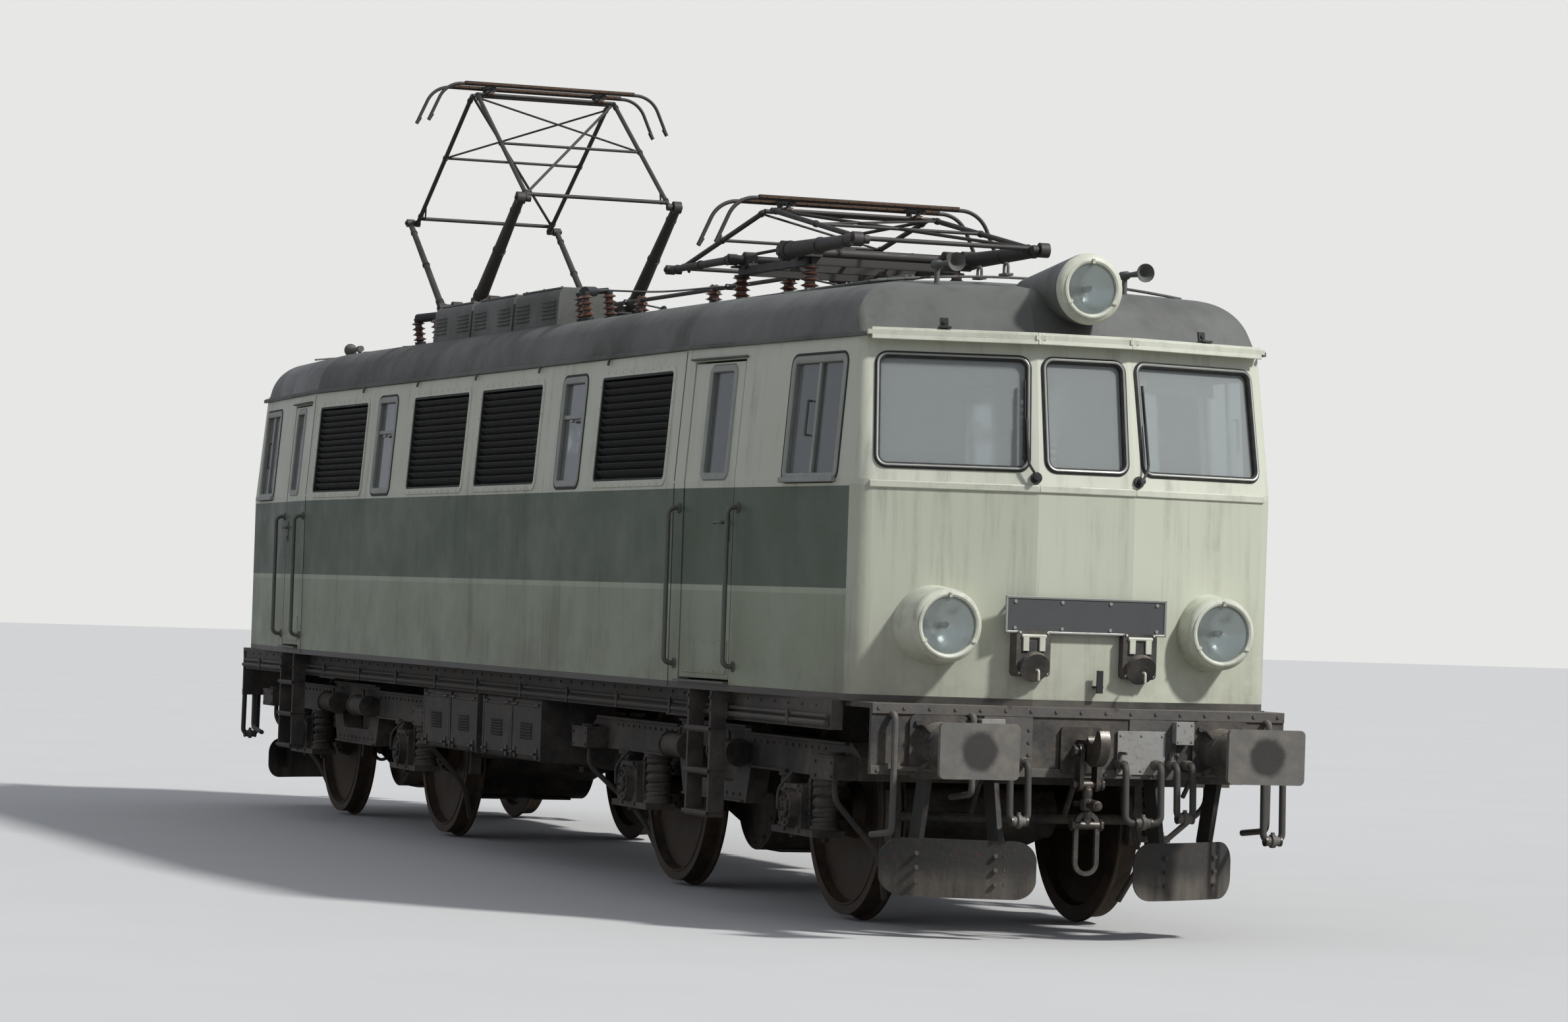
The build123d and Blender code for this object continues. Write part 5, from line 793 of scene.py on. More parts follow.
# Desk binnacles: y and width, then the outline from the side
BINNACLES = ((-0.62, 0.86), (0.66, 0.7))
BINNACLE_OUTLINE = [(-0.11, 0.0), (0.1, 0.0), (0.1, 0.12), (0.04, 0.17), (-0.04, 0.17)]

# What each kind of piece is made of: slot, material, and the names with the bevel of each
FINISHES = (
    ("body_paint", PAINT, {"louvre_flanges": 0, "louvre_screws": 0, "door_kick_plate": 0.002}),
    ("body_paint", TRIM, {"waist_moulding": 0.007, "gutter_lip": 0.004, "socket_lids": 0.002}),
    ("body_paint", GASKET, {"side_seams": 0}),
    ("hose_rubber", DARK_SEAL, {"windscreen_seals": 0, "window_seals": 0}),
    ("hose_rubber", GASKET, {"wiper_blades": 0}),
    (
        "handrail_metal",
        BRIGHT,
        {"windscreen_beads": 0, "window_frames": 0.003, "door_window_frame": 0, "number_plate_rim": 0},
    ),
    ("handrail_metal", HANDRAIL, {"window_pulls": 0, "door_handle": 0.002, "handrail_feet": 0.0015}),
    ("handrail_metal", MIRROR, {"lamp_reflectors": 0}),
    ("handrail_metal", STEEL, {"lamp_sockets": 0}),
    ("handrail_metal", DARK_STEEL, {"hose_clips": 0, "battery_latches": 0.0015}),
    ("glass", BULB, {"lamp_bulbs": 0}),
    ("lamp_paint", LAMP, {"lamp_bezels": 0.0012}),
    ("underframe_paint", BLACK, {"wiper_arms": 0, "number_plate_studs": 0, "lamp_iron": 0.002}),
    ("underframe_paint", PLATE, {"number_plate": 0.0015}),
    ("underframe_paint", HEADSTOCK, {"headstock_plates": 0.003, "headstock_rivets": 0, "headstock_pipes": 0}),
    ("underframe_paint", UNDERFRAME, {"buffer_bolts": 0.0015, "guard_bolts": 0, "guard_stays": 0}),
    (
        "underframe_paint",
        UNDERFRAME,
        {"solebar_rivets": 0, "solebar_clamps": 0.002, "battery_lids": 0.003, "step_plates": 0.0015},
    ),
    ("underframe_paint", GREY_BOX, {"headstock_boxes": 0.004}),
    ("underframe_paint", COCK, {"hose_cocks": 0.0015, "reservoir_cocks": 0.0015}),
    ("underframe_paint", PIPES, {"solebar_pipes": 0, "reservoir_pipes": 0}),
    ("underframe_paint", DARK_STEEL, {"step_studs": 0}),
    ("wheel_steel", DARK_STEEL, {"coupling_nuts": 0.003, "coupling_threads": 0}),
    ("wheel_steel", WHEEL, {"tyre_rings": 0, "hub_bolts": 0}),
    ("roof_paint", ROOF, {"hood_brackets": 0.003, "drip_channels": 0.003, "drip_spouts": 0, "roof_bolts": 0}),
    ("roof_paint", ROOF, {"roof_hatches": 0.004, "roof_ribs": 0.004, "roof_box_lids": 0.003}),
    ("roof_paint", ROOF, {"roof_conduits": 0}),
    ("roof_paint", BLACK, {"roof_eyes": 0, "fuse_caps": 0.002, "roof_cables": 0}),
    ("porcelain", PORCELAIN, {"fuse_insulators": 0}),
    ("bogie_paint", BOGIE, {"spring_coils": 0, "axlebox_covers": 0.003, "bogie_bolts": 0}),
    ("bogie_paint", BOGIE, {"frame_flanges": 0.003, "brake_cylinders": 0.002}),
    ("bogie_paint", PIPES, {"sand_pipes": 0}),
    ("pantograph_steel", PANTOGRAPH, {"pantograph_bearings": 0.002, "pantograph_drive": 0.003}),
    ("pantograph_steel", PANTOGRAPH, {"lower_arm_collars": 0.002, "upper_frame_ties": 0.0015}),
    ("pantograph_steel", PANTOGRAPH, {"head_screws": 0}),
    ("pantograph_steel", DARK_STEEL, {"pantograph_springs": 0}),
    ("pantograph_steel", COPPER, {"head_plates": 0.001, "busbar_clamps": 0.002}),
    ("cab_interior", DESK, {"desk_binnacles": 0.004, "sun_visors": 0.002}),
    ("cab_interior", DIAL, {"desk_dials": 0}),
    ("cab_interior", BLACK, {"desk_controls": 0.002}),
    ("cab_interior", LEATHER, {"seat_cushion": 0, "back_cushion": 0, "seat_piping": 0, "back_piping": 0}),
)
PIECES = {}
for slot, material, bevels in FINISHES:
    PIECES.update({name: (slot, material, bevel) for name, bevel in bevels.items()})

# Angle in degrees up to which edges are shaded smooth, and the pieces with a wider one
SMOOTH_ANGLE = 35.0
ROUND_ANGLE = 60.0
ROUND_PIECES = ("spring_coils", "pantograph_springs", "seat_cushion", "back_cushion")


def windscreen_trim(end, seals, beads, arms, blades):
    """Rubber seals with a bright bead in them, round each windscreen, and the wipers."""
    for side in (-1, 0, 1):
        plane = FACES[end, side].at(end * side * 0.5, SCREEN_MID_Z)
        width = SIDE_SCREEN_WIDTH if side else MID_SCREEN_WIDTH
        seals.border(plane, width, SCREEN_HEIGHT, SCREEN_CORNER, SEAL)
        beads.border(plane, width, SCREEN_HEIGHT, SCREEN_CORNER, BEAD)
    for side in PAIR:
        wall, foot, low = FACES[end, side], end * side, SCREEN_MID_Z - SCREEN_HEIGHT / 2
        pivot = wall.at(foot * 0.02, low - 0.045)
        arms.peg(pivot, -0.01, 0.05, 0.018)
        arms.peg(pivot, 0.0, 0.014, 0.034, 20)
        runs = [[wall.at(foot * x, low + z, out).translation for x, z, out in run] for run in WIPER_RUNS]
        arms.tube(WORLD, runs[0], 0.008, 0.03)
        arms.rod(WORLD, *runs[1], 0.0055, 6)
        blades.rod(WORLD, *runs[2], 0.008, 6)


def window_trim(frames, seals, pulls):
    """Frames of the narrow side windows and of the sliding cab windows."""
    for side, end in product(PAIR, PAIR):
        plane = SIDES[side].over(end * NARROW_CENTRE, OPENING_MID_Z)
        frames.border(plane, NARROW_WIDTH, *OPENING, FRAME)
        frames.box(plane, (NARROW_WIDTH - 0.04, 0.028, 0.014), (0, 0.1, -0.012))
        frames.box(plane, (0.06, 0.018, 0.02), (0, 0.07, 0.002))
        seals.border(plane, NARROW_WIDTH, *OPENING, THIN_SEAL)
        plane = TAPERS[end, side].over(end * CAB_WINDOW_X, OPENING_MID_Z)
        frames.border(plane, CAB_WINDOW_WIDTH, *OPENING, FRAME)
        frames.box(plane, (0.035, OPENING_HEIGHT - 0.04, 0.02), (0, 0, -0.011))
        frames.box(plane, (CAB_WINDOW_WIDTH + 0.02, 0.03, 0.04), (0, -OPENING_HEIGHT / 2 - 0.012, 0.012))
        pulls.rod(plane, (-0.09, -0.1, 0.012), (-0.09, 0.1, 0.012), 0.009)
        for y in pair(0.1):
            pulls.peg(plane, -0.016, 0.014, 0.007, at=(-0.09, y))
        seals.border(plane, CAB_WINDOW_WIDTH, *OPENING, THIN_SEAL)


def louvre_trim(flanges, screws):
    """Flat flange with screws round each louvred grille."""
    for side, end, centre in product(PAIR, PAIR, LOUVRE_CENTRES):
        plane = SIDES[side].over(end * centre, OPENING_MID_Z)
        flanges.border(plane, LOUVRE_WIDTH, *OPENING, FLANGE)
        places = grid(row(9, 0.15), pair(OPENING_HEIGHT / 2 + 0.014), 0.005)
        places += grid(pair(LOUVRE_WIDTH / 2 + 0.014), row(5, 0.14), 0.005)
        screws.bolts(plane, places, 0.0065, 0.004)


def door_trim(end, side, frames, handles, plates):
    """Window frame, handle and kick plate of a cab door, which swing with it."""
    wall = TAPERS[end, side]
    pane = wall.over(end * DOOR_WINDOW_X, OPENING_MID_Z)
    outline = [(outward, up - 0.003) for outward, up in FRAME]
    frames.border(pane, DOOR_WINDOW_WIDTH, DOOR_WINDOW_HEIGHT, OPENING_CORNER, outline)
    centre, way = wall.along(end * DOOR_CENTRE_X), end * side
    lock = wall.at(centre - way * (DOOR_WIDTH / 2 - 0.07), RAIL + 2.28, -0.003)
    handles.box(lock, (0.05, 0.17, 0.006), (0, 0, 0.003))
    handles.peg(lock, 0, 0.05, 0.01, at=(0, 0.03))
    handles.tube(lock, ((0, 0.03, 0.048), (way * 0.11, 0.03, 0.05), (way * 0.125, 0.026, 0.03)), 0.0085)
    handles.peg(lock, 0.004, 0.012, 0.013, at=(0, -0.05))
    low = wall.at(centre, DOOR_BOTTOM_Z + 0.13, -0.003)
    plates.box(low, (DOOR_WIDTH - 0.06, 0.2, 0.004), (0, 0, 0.002))
    plates.bolts(low, grid(row(5, 0.155), pair(0.085), 0.004), 0.006, 0.003)


def lamp_trim(end, mirrors, bulbs, bezels, sockets):
    """Reflector, bulb, bezel and clips of each headlamp."""
    for y, z, face, radius, rim in LAMPS:
        base = on_end(end, face, y, z)
        bowl = radius - rim
        radii = [(bowl - 0.003) * (1 - step / 9) + 0.018 * step / 9 for step in range(10)]
        inner = [(r, -0.026 - 0.088 * (1 - (r / bowl) ** 2)) for r in radii]
        mirrors.lathe(base, inner + [(r, h - 0.0015) for r, h in reversed(inner)], 48)
        bulbs.lathe(base, BULB_OUTLINE, 20)
        sockets.peg(base, -0.118, -0.078, 0.014, 18)
        bezels.lathe(base, [(bowl + r, h) for r, h in BEZEL], 64)
        for degrees_round in (90, 210, 330):
            clip = base @ spin(degrees_round)
            bezels.box(clip, (0.03, 0.018, 0.007), (bowl + 0.006, 0, 0.009))
            bezels.bolts(clip, [(bowl + 0.014, 0, 0.011)], 0.005, 0.005)


def plate_trim(end, plates, rims, studs):
    """Blank number plate on its studs, standing across the three facets of an end."""
    base = on_end(end, FACE_X + PLATE_STAND, 0.0, PLATE_Z)
    plates.box(base, (PLATE_WIDTH, PLATE_HEIGHT, 0.006))
    rims.border(base, PLATE_WIDTH, PLATE_HEIGHT, 0.008, PLATE_RIM)
    for x, y in product((-0.44, -0.15, 0.15, 0.44), pair(0.075)):
        fall = max(0.0, abs(x) - CENTRE_FACET_HALF) * tan(radians(FACET_ANGLE))
        studs.peg(base, -0.01 - PLATE_STAND - fall, 0.002, 0.009, at=(x, y))
        rims.bolts(base, [(x, y, 0.003)], 0.011, 0.006)


def face_trim(end, moulding, lip, brackets, lids, irons):
    """Moulding at the waist of a cab face, gutter's lip, hood brackets, sockets' lids and lamp irons."""
    for side in (-1, 0, 1):
        start, stop = (0.0, end * side * FACE_LENGTH) if side else pair(CENTRE_FACET_HALF)
        middle, length = (start + stop) / 2, abs(stop - start)
        wall = FACES[end, side]
        moulding.box(wall.at(middle, WAIST_Z), (length + 0.004, 0.044, 0.022), (0, -0.026, 0.0))
        gutter = wall.at(middle, GUTTER_TOP_Z)
        lip.box(gutter, (length + 0.014, 0.07, 0.014), (0, -0.033, VISOR_REACH - 0.006))
    for side in PAIR:
        plane = FACES[end, side].at(end * side * 0.56, GUTTER_TOP_Z)
        irons.box(plane, (0.075, 0.012, 0.07), (0, 0.012, 0.055))
        irons.box(plane, (0.05, 0.075, 0.012), (0, 0.04, 0.034))
        irons.bolts(plane, [(0, 0.05, 0.038)], 0.012, 0.01)
        base = on_end(end, FACE_X + SOCKET_DEPTH, side * SOCKET_Y, SOCKET_Z)
        lids.bar(base, -0.075, 0.075, 0.011, at=(0.1, 0.002))
        for x in pair(0.05):
            lids.box(base, (0.036, 0.09, 0.012), (x, 0.06, 0.006))
        lids.bolts(base, grid(pair(0.085), (-0.11, 0.12)), 0.008, 0.006)
        lids.tube(base, ((0, -0.09, 0.05), (0, -0.09, 0.085), (0, -0.15, 0.085)), 0.007)
        for x in HOOD_LUGS:
            lug = on_end(end, x, side * 0.24, CROWN_Z - 0.004)
            brackets.box(lug, (0.05, 0.016, 0.11), (0, 0.004, 0))
            brackets.tube(lug, [(0, y, z) for y, z in LUG_LOOP], 0.009, 0.03)
    base = on_end(end, FACE_X, 0.09, RAIL + 1.42)
    irons.box(base, (0.05, 0.012, 0.05), (0, 0, 0.024))
    irons.box(base, (0.04, 0.13, 0.01), (0, 0.03, 0.05))


def headstock_trim(end, plates, rivets, bolts, boxes, pipes):
    """Plates and rivets of a headstock, the buffers' bolts and ribs, and the boxes and pipes in front."""
    face = on_end(end, HEADSTOCK_X, 0.0, (SILL_Z + HEADSTOCK_BOTTOM_Z) / 2)
    height = SILL_Z - HEADSTOCK_BOTTOM_Z
    plates.box(face, (HEADSTOCK_WIDTH, 0.06, 0.012), (0, height / 2 - 0.03, 0.005))
    plates.box(face, (HEADSTOCK_WIDTH, 0.05, 0.012), (0, 0.025 - height / 2, 0.005))
    for x in pair(0.45):
        plates.box(face, (0.3, height - 0.02, 0.01), (x, 0, 0.004))
    for x, y, width, tall in HEADSTOCK_BOXES:
        boxes.box(face, (width, tall, 0.07), (x, y, 0.035))
        boxes.box(face, (width + 0.014, tall + 0.014, 0.008), (x, y, 0.074))
        boxes.bolts(face @ shift(x, y, 0.078), grid(pair(width * 0.42), pair(tall * 0.4)), 0.007, 0.006)
    x, y, width, tall = HEADSTOCK_PANEL
    boxes.box(face, (width, tall, 0.012), (x, y, 0.013))
    boxes.bolts(face @ shift(x, y, 0.018), grid(row(3, 0.13), pair(0.1)), 0.009, 0.007)
    rows = grid(row(17, 0.155), pair(height / 2 - 0.025), 0.01)
    rows += grid((-0.58, -0.32, 0.32, 0.58), row(3, 0.07), 0.008)
    rivets.bolts(face, rows, 0.011, 0.008)
    for side in PAIR:
        buffer = on_end(end, HEADSTOCK_X + BUFFER_FLANGE_THICKNESS, side * BUFFER_Y, BUFFER_Z)
        bolts.bolts(buffer, grid(pair(0.135), pair(0.135)), 0.019, 0.016)
        bolts.peg(buffer, 0.12, 0.132, 0.127, 32)
        bolts.peg(buffer, 0.345, 0.357, 0.108, 32)
        for degrees_round in (45, 135, 225, 315):
            bolts.box(buffer @ spin(degrees_round), (0.06, 0.014, 0.08), (0.15, 0, 0.035))
    for y, reach, low in HEADSTOCK_PIPES:
        top = on_end(end, HEADSTOCK_X, y, RAIL)
        run = ((0, 1.24, -0.02), (0, 1.24, reach), (0, low, reach), (0, low - 0.03, -0.25))
        pipes.tube(top, run, 0.019, 0.05)
        pipes.box(top, (0.07, 0.03, 0.07), (0, 0.95, 0.03))
    for start, x in HEADSTOCK_LINES:
        pipes.tube(face, ((start, -0.165, 0.03), (x, -0.165, 0.03), (x, -0.3, -0.1)), 0.014)


def hose_trim(end, cocks, clips):
    """Cocks with their handles, clips and dummy couplings of the brake hoses."""
    for y, drop, bow in HOSES:
        for edge in PAIR:
            base = on_end(end, HEADSTOCK_X, y + edge * bow / 2, HOSE_Z)
            cocks.peg(base, 0.0, 0.05, 0.03, 8)
            cocks.rod(base, (0, 0, 0.05), (0, 0, 0.075), 0.031, far=0.026)
            clips.peg(base, 0.078, 0.09, 0.0235, 20)
        base = on_end(end, HEADSTOCK_X, y - bow / 2, HOSE_Z)
        cocks.rod(base, (0, 0.0, 0.03), (0, 0.06, 0.03), 0.013)
        cocks.box(base, (0.012, 0.016, 0.12), (0, 0.064, 0.06))
        middle = on_end(end, HEADSTOCK_X + HOSE_BOW, y, HOSE_Z - drop)
        cocks.bar(middle, -0.05, 0.05, 0.028)
        cocks.bar(middle, -0.012, 0.012, 0.04)
        cocks.rod(middle, (0, 0, 0), (0, 0.05, 0), 0.012)
        for x in pair(0.046):
            clips.bar(middle, x - 0.006, x + 0.006, 0.031, 20)


def coupling_trim(end, nuts, threads):
    """Pins, nuts, screw thread and handle weight of a screw coupling."""
    base = on_end(end, HEADSTOCK_X + HOOK_EYE_X, 0.0, BUFFER_Z)
    for drop, x in product((0.0, COUPLING_PLATE, COUPLING_PLATE + COUPLING_SCREW), pair(0.088)):
        nuts.bar(base, x - 0.01, x + 0.01, 0.034, 6, (-drop, 0))
    middle = COUPLING_PLATE + COUPLING_SCREW / 2
    nuts.rod(base, (0, 0.032 - middle, 0), (0, -0.032 - middle, 0), 0.04, 8)
    nuts.rod(base, (0, -middle, 0.1), (0, -middle, 0.155), 0.034, far=0.028)
    for start in (COUPLING_PLATE + 0.026, middle + 0.034):
        thread = spiral(7, 0.0265, COUPLING_SCREW / 2 - 0.07, 12)
        threads.run(base @ shift(0, -start, 0) @ spin(90, "X"), thread, 0.0045, 6)


def guard_trim(end, bolts, stays):
    """Bolts on the ribs of the rail guards, and the stays that hold them."""
    for side in PAIR:
        for y, sweep in GUARD_RIBS:
            base = on_end(end, GUARD_FRONT_X - sweep, side * y, GUARD_MID_Z)
            bolts.bolts(base, grid(pair(0.03), row(3, 0.08), 0.002), 0.014, 0.012)
        for y, back in ((0.42, 0.06), (0.98, 0.36)):
            top = on_end(end, HEADSTOCK_X - 0.03, side * y, HEADSTOCK_BOTTOM_Z)
            stays.rod(top, (0, 0.02, -0.3), (0, -0.4, -back), 0.016)


def drip_channel(channels, plane, length):
    """Gutter of two thin plates along a wall."""
    channels.box(plane, (length, 0.014, 0.022), (0, 0.01, 0.009))
    channels.box(plane, (length, 0.024, 0.005), (0, 0.018, 0.018))


def side_trim(seams, channels, spouts, feet):
    """Seams of the side walls, drip channels under the roof, door sills and the feet of the handrails."""
    for wall in SIDES.values():
        for x, (low, high) in product(SEAM_PLACES, ((SILL_Z, WAIST_Z), (WAIST_Z, CANTRAIL_Z))):
            seams.box(wall.over(x, (low + high) / 2), (0.007, high - low - 0.01, 0.004))
        drip_channel(channels, wall.at(0, CANTRAIL_Z), 2 * TAPER_X + 0.02)
        for x in row(5, 1.5):
            spouts.rod(wall.over(x, CANTRAIL_Z), (0, 0.012, 0.014), (0, -0.04, 0.022), 0.009)
    reach = DOOR_WIDTH / 2 + RAIL_OFFSET
    rails = (DOOR_CENTRE_X - reach, DOOR_CENTRE_X + reach)
    for (end, _), wall in TAPERS.items():
        start, stop = wall.along(end * TAPER_X), wall.along(end * (FACE_X - 0.34))
        drip_channel(channels, wall.at((start + stop) / 2, CANTRAIL_Z), abs(stop - start))
        for x, z in product(rails, (HANDRAIL_BOTTOM_Z, HANDRAIL_TOP_Z)):
            foot = wall.over(end * x, z)
            feet.peg(foot, -0.002, 0.008, 0.032, 20)
            feet.bolts(foot, grid((0,), pair(0.022), 0.008), 0.006, 0.004)
        sill = wall.over(end * DOOR_CENTRE_X, DOOR_BOTTOM_Z - 0.02)
        feet.box(sill, (DOOR_WIDTH + 0.03, 0.012, 0.045), (0, 0, 0.012))
        hood = wall.over(end * DOOR_CENTRE_X, DOOR_TOP_Z + 0.022)
        channels.box(hood, (DOOR_WIDTH + 0.08, 0.012, 0.03), (0, 0.004, 0.012))


def insulator(sheds, base, height, count=4, core=0.026, shed=0.05):
    """Stack of porcelain sheds standing on a frame."""
    pitch = height / count
    profile = [(0.0005, 0.0), (core, 0.0)]
    for index in range(count):
        for radius, share in ((core, 0.2), (shed, 0.42), (shed, 0.5), (core, 0.85)):
            profile.append((radius, (index + share) * pitch))
    sheds.lathe(base, profile + [(core, height), (0.0005, height)], 24)


def hatch_trim(hatches, bolts, eyes, ribs):
    """Hatches with bolts and lifting eyes, and the ribs of the roof."""
    for x, length in HATCHES:
        for y in row(3, 0.385):
            hatches.box(roof_frame(x, y), (length, 0.387, 0.02), (0, 0, 0.006))
        count = int(length / 0.16)
        for edge in PAIR:
            base = roof_frame(x, edge * 0.6)
            hatches.box(base, (length + 0.05, 0.04, 0.03), (0, 0, 0.008))
            bolts.bolts(base, grid(row(count, length / count), (0,), 0.022), 0.011, 0.01)
            for along in PAIR:
                eye = roof_frame(x + along * (length / 2 - 0.12), edge * 0.44)
                loop = ((-0.045, 0, 0.01), (-0.045, 0, 0.075), (0.045, 0, 0.075), (0.045, 0, 0.01))
                eyes.tube(eye, loop, 0.009, 0.03)
    pitch = 2 * RIB_HALF / RIB_PARTS
    for x, y in product(RIBS, row(RIB_PARTS, pitch)):
        ribs.box(roof_frame(x, y), (0.035, pitch + 0.002, 0.014), (0, 0, 0.004))


def fuse_trim(sheds, caps, wires, lids):
    """Fuse gear beside the fairings, its cables, and the lids and grilles of the roof boxes."""
    clamp_z = BUSBAR_Z + 0.015
    for half, x in product(PAIR, FUSE_PLACES):
        tops = []
        for along, y in FUSE_INSULATORS:
            base = roof_frame(half * (x + (along if x > 0 else -along)), half * y)
            insulator(sheds, base @ shift(0, 0, 0.02), 0.16)
            caps.peg(base, -0.01, 0.022, 0.042, 20)
            caps.peg(base, 0.178, 0.2, 0.03, 20)
            tops.append(base @ Vector((0, 0, 0.2)))
        first, second, third = tops
        caps.rod(WORLD, first, second, 0.02)
        caps.rod(WORLD, (first + second) / 2, third, 0.034, 20)
        place = half * x
        run = [(place, half * y, z) for y, z in ((-0.5, BUSBAR_Z - 0.05), (-0.06, clamp_z), (0, clamp_z))]
        wires.tube(WORLD, [first, *run], 0.007, 0.3)
        caps.rod(WORLD, (place, -0.03, clamp_z), (place, 0.03, clamp_z), 0.022, 8)
    for half, (low, high) in product(PAIR, ROOF_BOX_SPANS):
        middle, width = half * (low + high) / 2, high - low
        for x in pair(0.3):
            grille = on_side(-half, middle + x * width, ROOF_BOX_OUTER_Y, ROOF_BOX_TOP_Z - 0.15)
            for y in row(5, 0.028):
                lids.box(grille, (0.3 * width, 0.008, 0.012), (0, y, -0.01))
        lid = shift(middle, -half * 0.995, ROOF_BOX_TOP_Z)
        lids.box(lid, (width - 0.12, 0.28, 0.012), (0, 0, 0.002))
        lids.bolts(lid, grid(row(3, 0.4 * width), pair(0.12), 0.008), 0.009, 0.008)


def conduit_trim(conduits):
    """Pairs of conduits that run along the roof, with their clips."""
    for half in PAIR:
        for y in (0.66, 0.7):
            run = [roof_frame(half * x, half * y) @ Vector((0, 0, 0.02)) for x in (-6.2, -2.4, 1.0, 6.2)]
            conduits.tube(WORLD, run, 0.011, 0.1)
        for x in (-5.8, -4.6, -3.4, -1.8, -0.2, 1.4, 3.0, 4.6, 5.8):
            conduits.box(roof_frame(half * x, half * 0.68), (0.03, 0.1, 0.014), (0, 0, 0.026))


def battery_box(side, low, high, clamps, lids, latches):
    """Lids with vents and hinges, latches and straps of one battery box."""
    half, tall = (high - low) / 2, BATTERY_TOP_Z - BATTERY_BOTTOM_Z
    box = on_side(side, (low + high) / 2, BATTERY_OUTER_Y, (BATTERY_TOP_Z + BATTERY_BOTTOM_Z) / 2)
    for offset in pair(half / 2):
        lids.box(box, (half - 0.06, tall - 0.09, 0.014), (offset, -0.005, 0.004))
        lids.box(box, (half - 0.05, 0.018, 0.022), (offset, tall / 2 - 0.05, 0.006))
        for slat in range(6):
            lids.box(box, (0.26, 0.024, 0.004), (offset, 0.02 * slat - 0.06, 0.014), spin(35, "X"))
        for edge in PAIR:
            x, latch_y = offset + edge * (half / 2 - 0.1), 0.055 - tall / 2
            latches.bar(box, x - 0.04, x + 0.04, 0.011, at=(tall / 2 - 0.045, 0.014))
            latches.box(box, (0.035, 0.075, 0.012), (x, latch_y, 0.014))
            latches.peg(box, 0.01, 0.04, 0.008, at=(x, latch_y))
            latches.box(box, (0.05, 0.014, 0.01), (x, latch_y, 0.04))
    for x in row(3, half - 0.02):
        clamps.box(box, (0.03, tall - 0.02, 0.02), (x, 0, 0.004))


def underframe_trim(rivets, pipes, clamps, lids, latches, plates, studs):
    """Solebar rivets, pipes and brackets, fittings of the battery boxes, and step plates."""
    reach = HEADSTOCK_X - 0.44
    for side in PAIR:
        wall = on_side(side, 0, SOLEBAR_Y, SILL_Z)
        rivets.bolts(wall, grid(row(59, 0.23), (-0.035,)), 0.009, 0.006)
        for y, out, radius in ((-0.135, 0.024, 0.017), (-0.095, 0.018, 0.011)):
            pipes.tube(wall, [(x, y, out) for x in (-reach, 0, reach)], radius)
        for x in row(13, 1.05):
            clamps.box(wall, (0.03, 0.1, 0.012), (x, -0.115, 0.038))
        for low, high in BATTERY_BOXES:
            battery_box(side, low, high, clamps, lids, latches)
    for side, end, index in product(PAIR, PAIR, range(STEP_COUNT)):
        z = STEP_BOTTOM_Z + index * (SILL_Z - STEP_BOTTOM_Z) / STEP_COUNT + STEP_BAR
        tread = shift(end * DOOR_CENTRE_X, side * STEP_Y, z)
        plates.box(tread, (STEP_WIDTH + 0.05, STEP_TREAD + 0.03, 0.005), (0, 0, 0.002))
        plates.box(tread, (STEP_WIDTH + 0.05, 0.006, 0.022), (0, side * (STEP_TREAD / 2 + 0.013), -0.008))
        studs.bolts(tread, grid(row(13, 0.032), row(3, 0.03), 0.004), 0.006, 0.003)
    for side, end, x in product(PAIR, PAIR, pair(STEP_WIDTH / 2)):
        foot = on_side(side, end * DOOR_CENTRE_X + x, STEP_Y + STEP_TREAD / 2, SILL_Z - 0.06)
        studs.bolts(foot, grid((0,), (0.02, -0.05)), 0.01, 0.008)


def reservoir_trim(pipes, cocks):
    """Valves, drain cocks and pipes of the air reservoirs."""
    for y in pair(RESERVOIR_Y):
        for end in PAIR:
            base = shift(end * (RESERVOIR_HALF - 0.02), y, RESERVOIR_Z)
            rise = SILL_Z - 0.02 - RESERVOIR_Z
            cocks.bar(base, 0, end * 0.06, 0.026, 8)
            pipes.tube(base, ((end * 0.03, 0, 0), (end * 0.12, 0, 0), (end * 0.12, 0, rise)), 0.014)
            drain = base @ shift(-end * 0.3, 0, 0)
            cocks.peg(drain, -0.2, -0.245, 0.016, 8)
            cocks.box(drain, (0.07, 0.012, 0.012), (0, 0, -0.24))
        pipes.peg(WORLD, RESERVOIR_Z + 0.19, SILL_Z - 0.01, 0.014, at=(0.2, y))


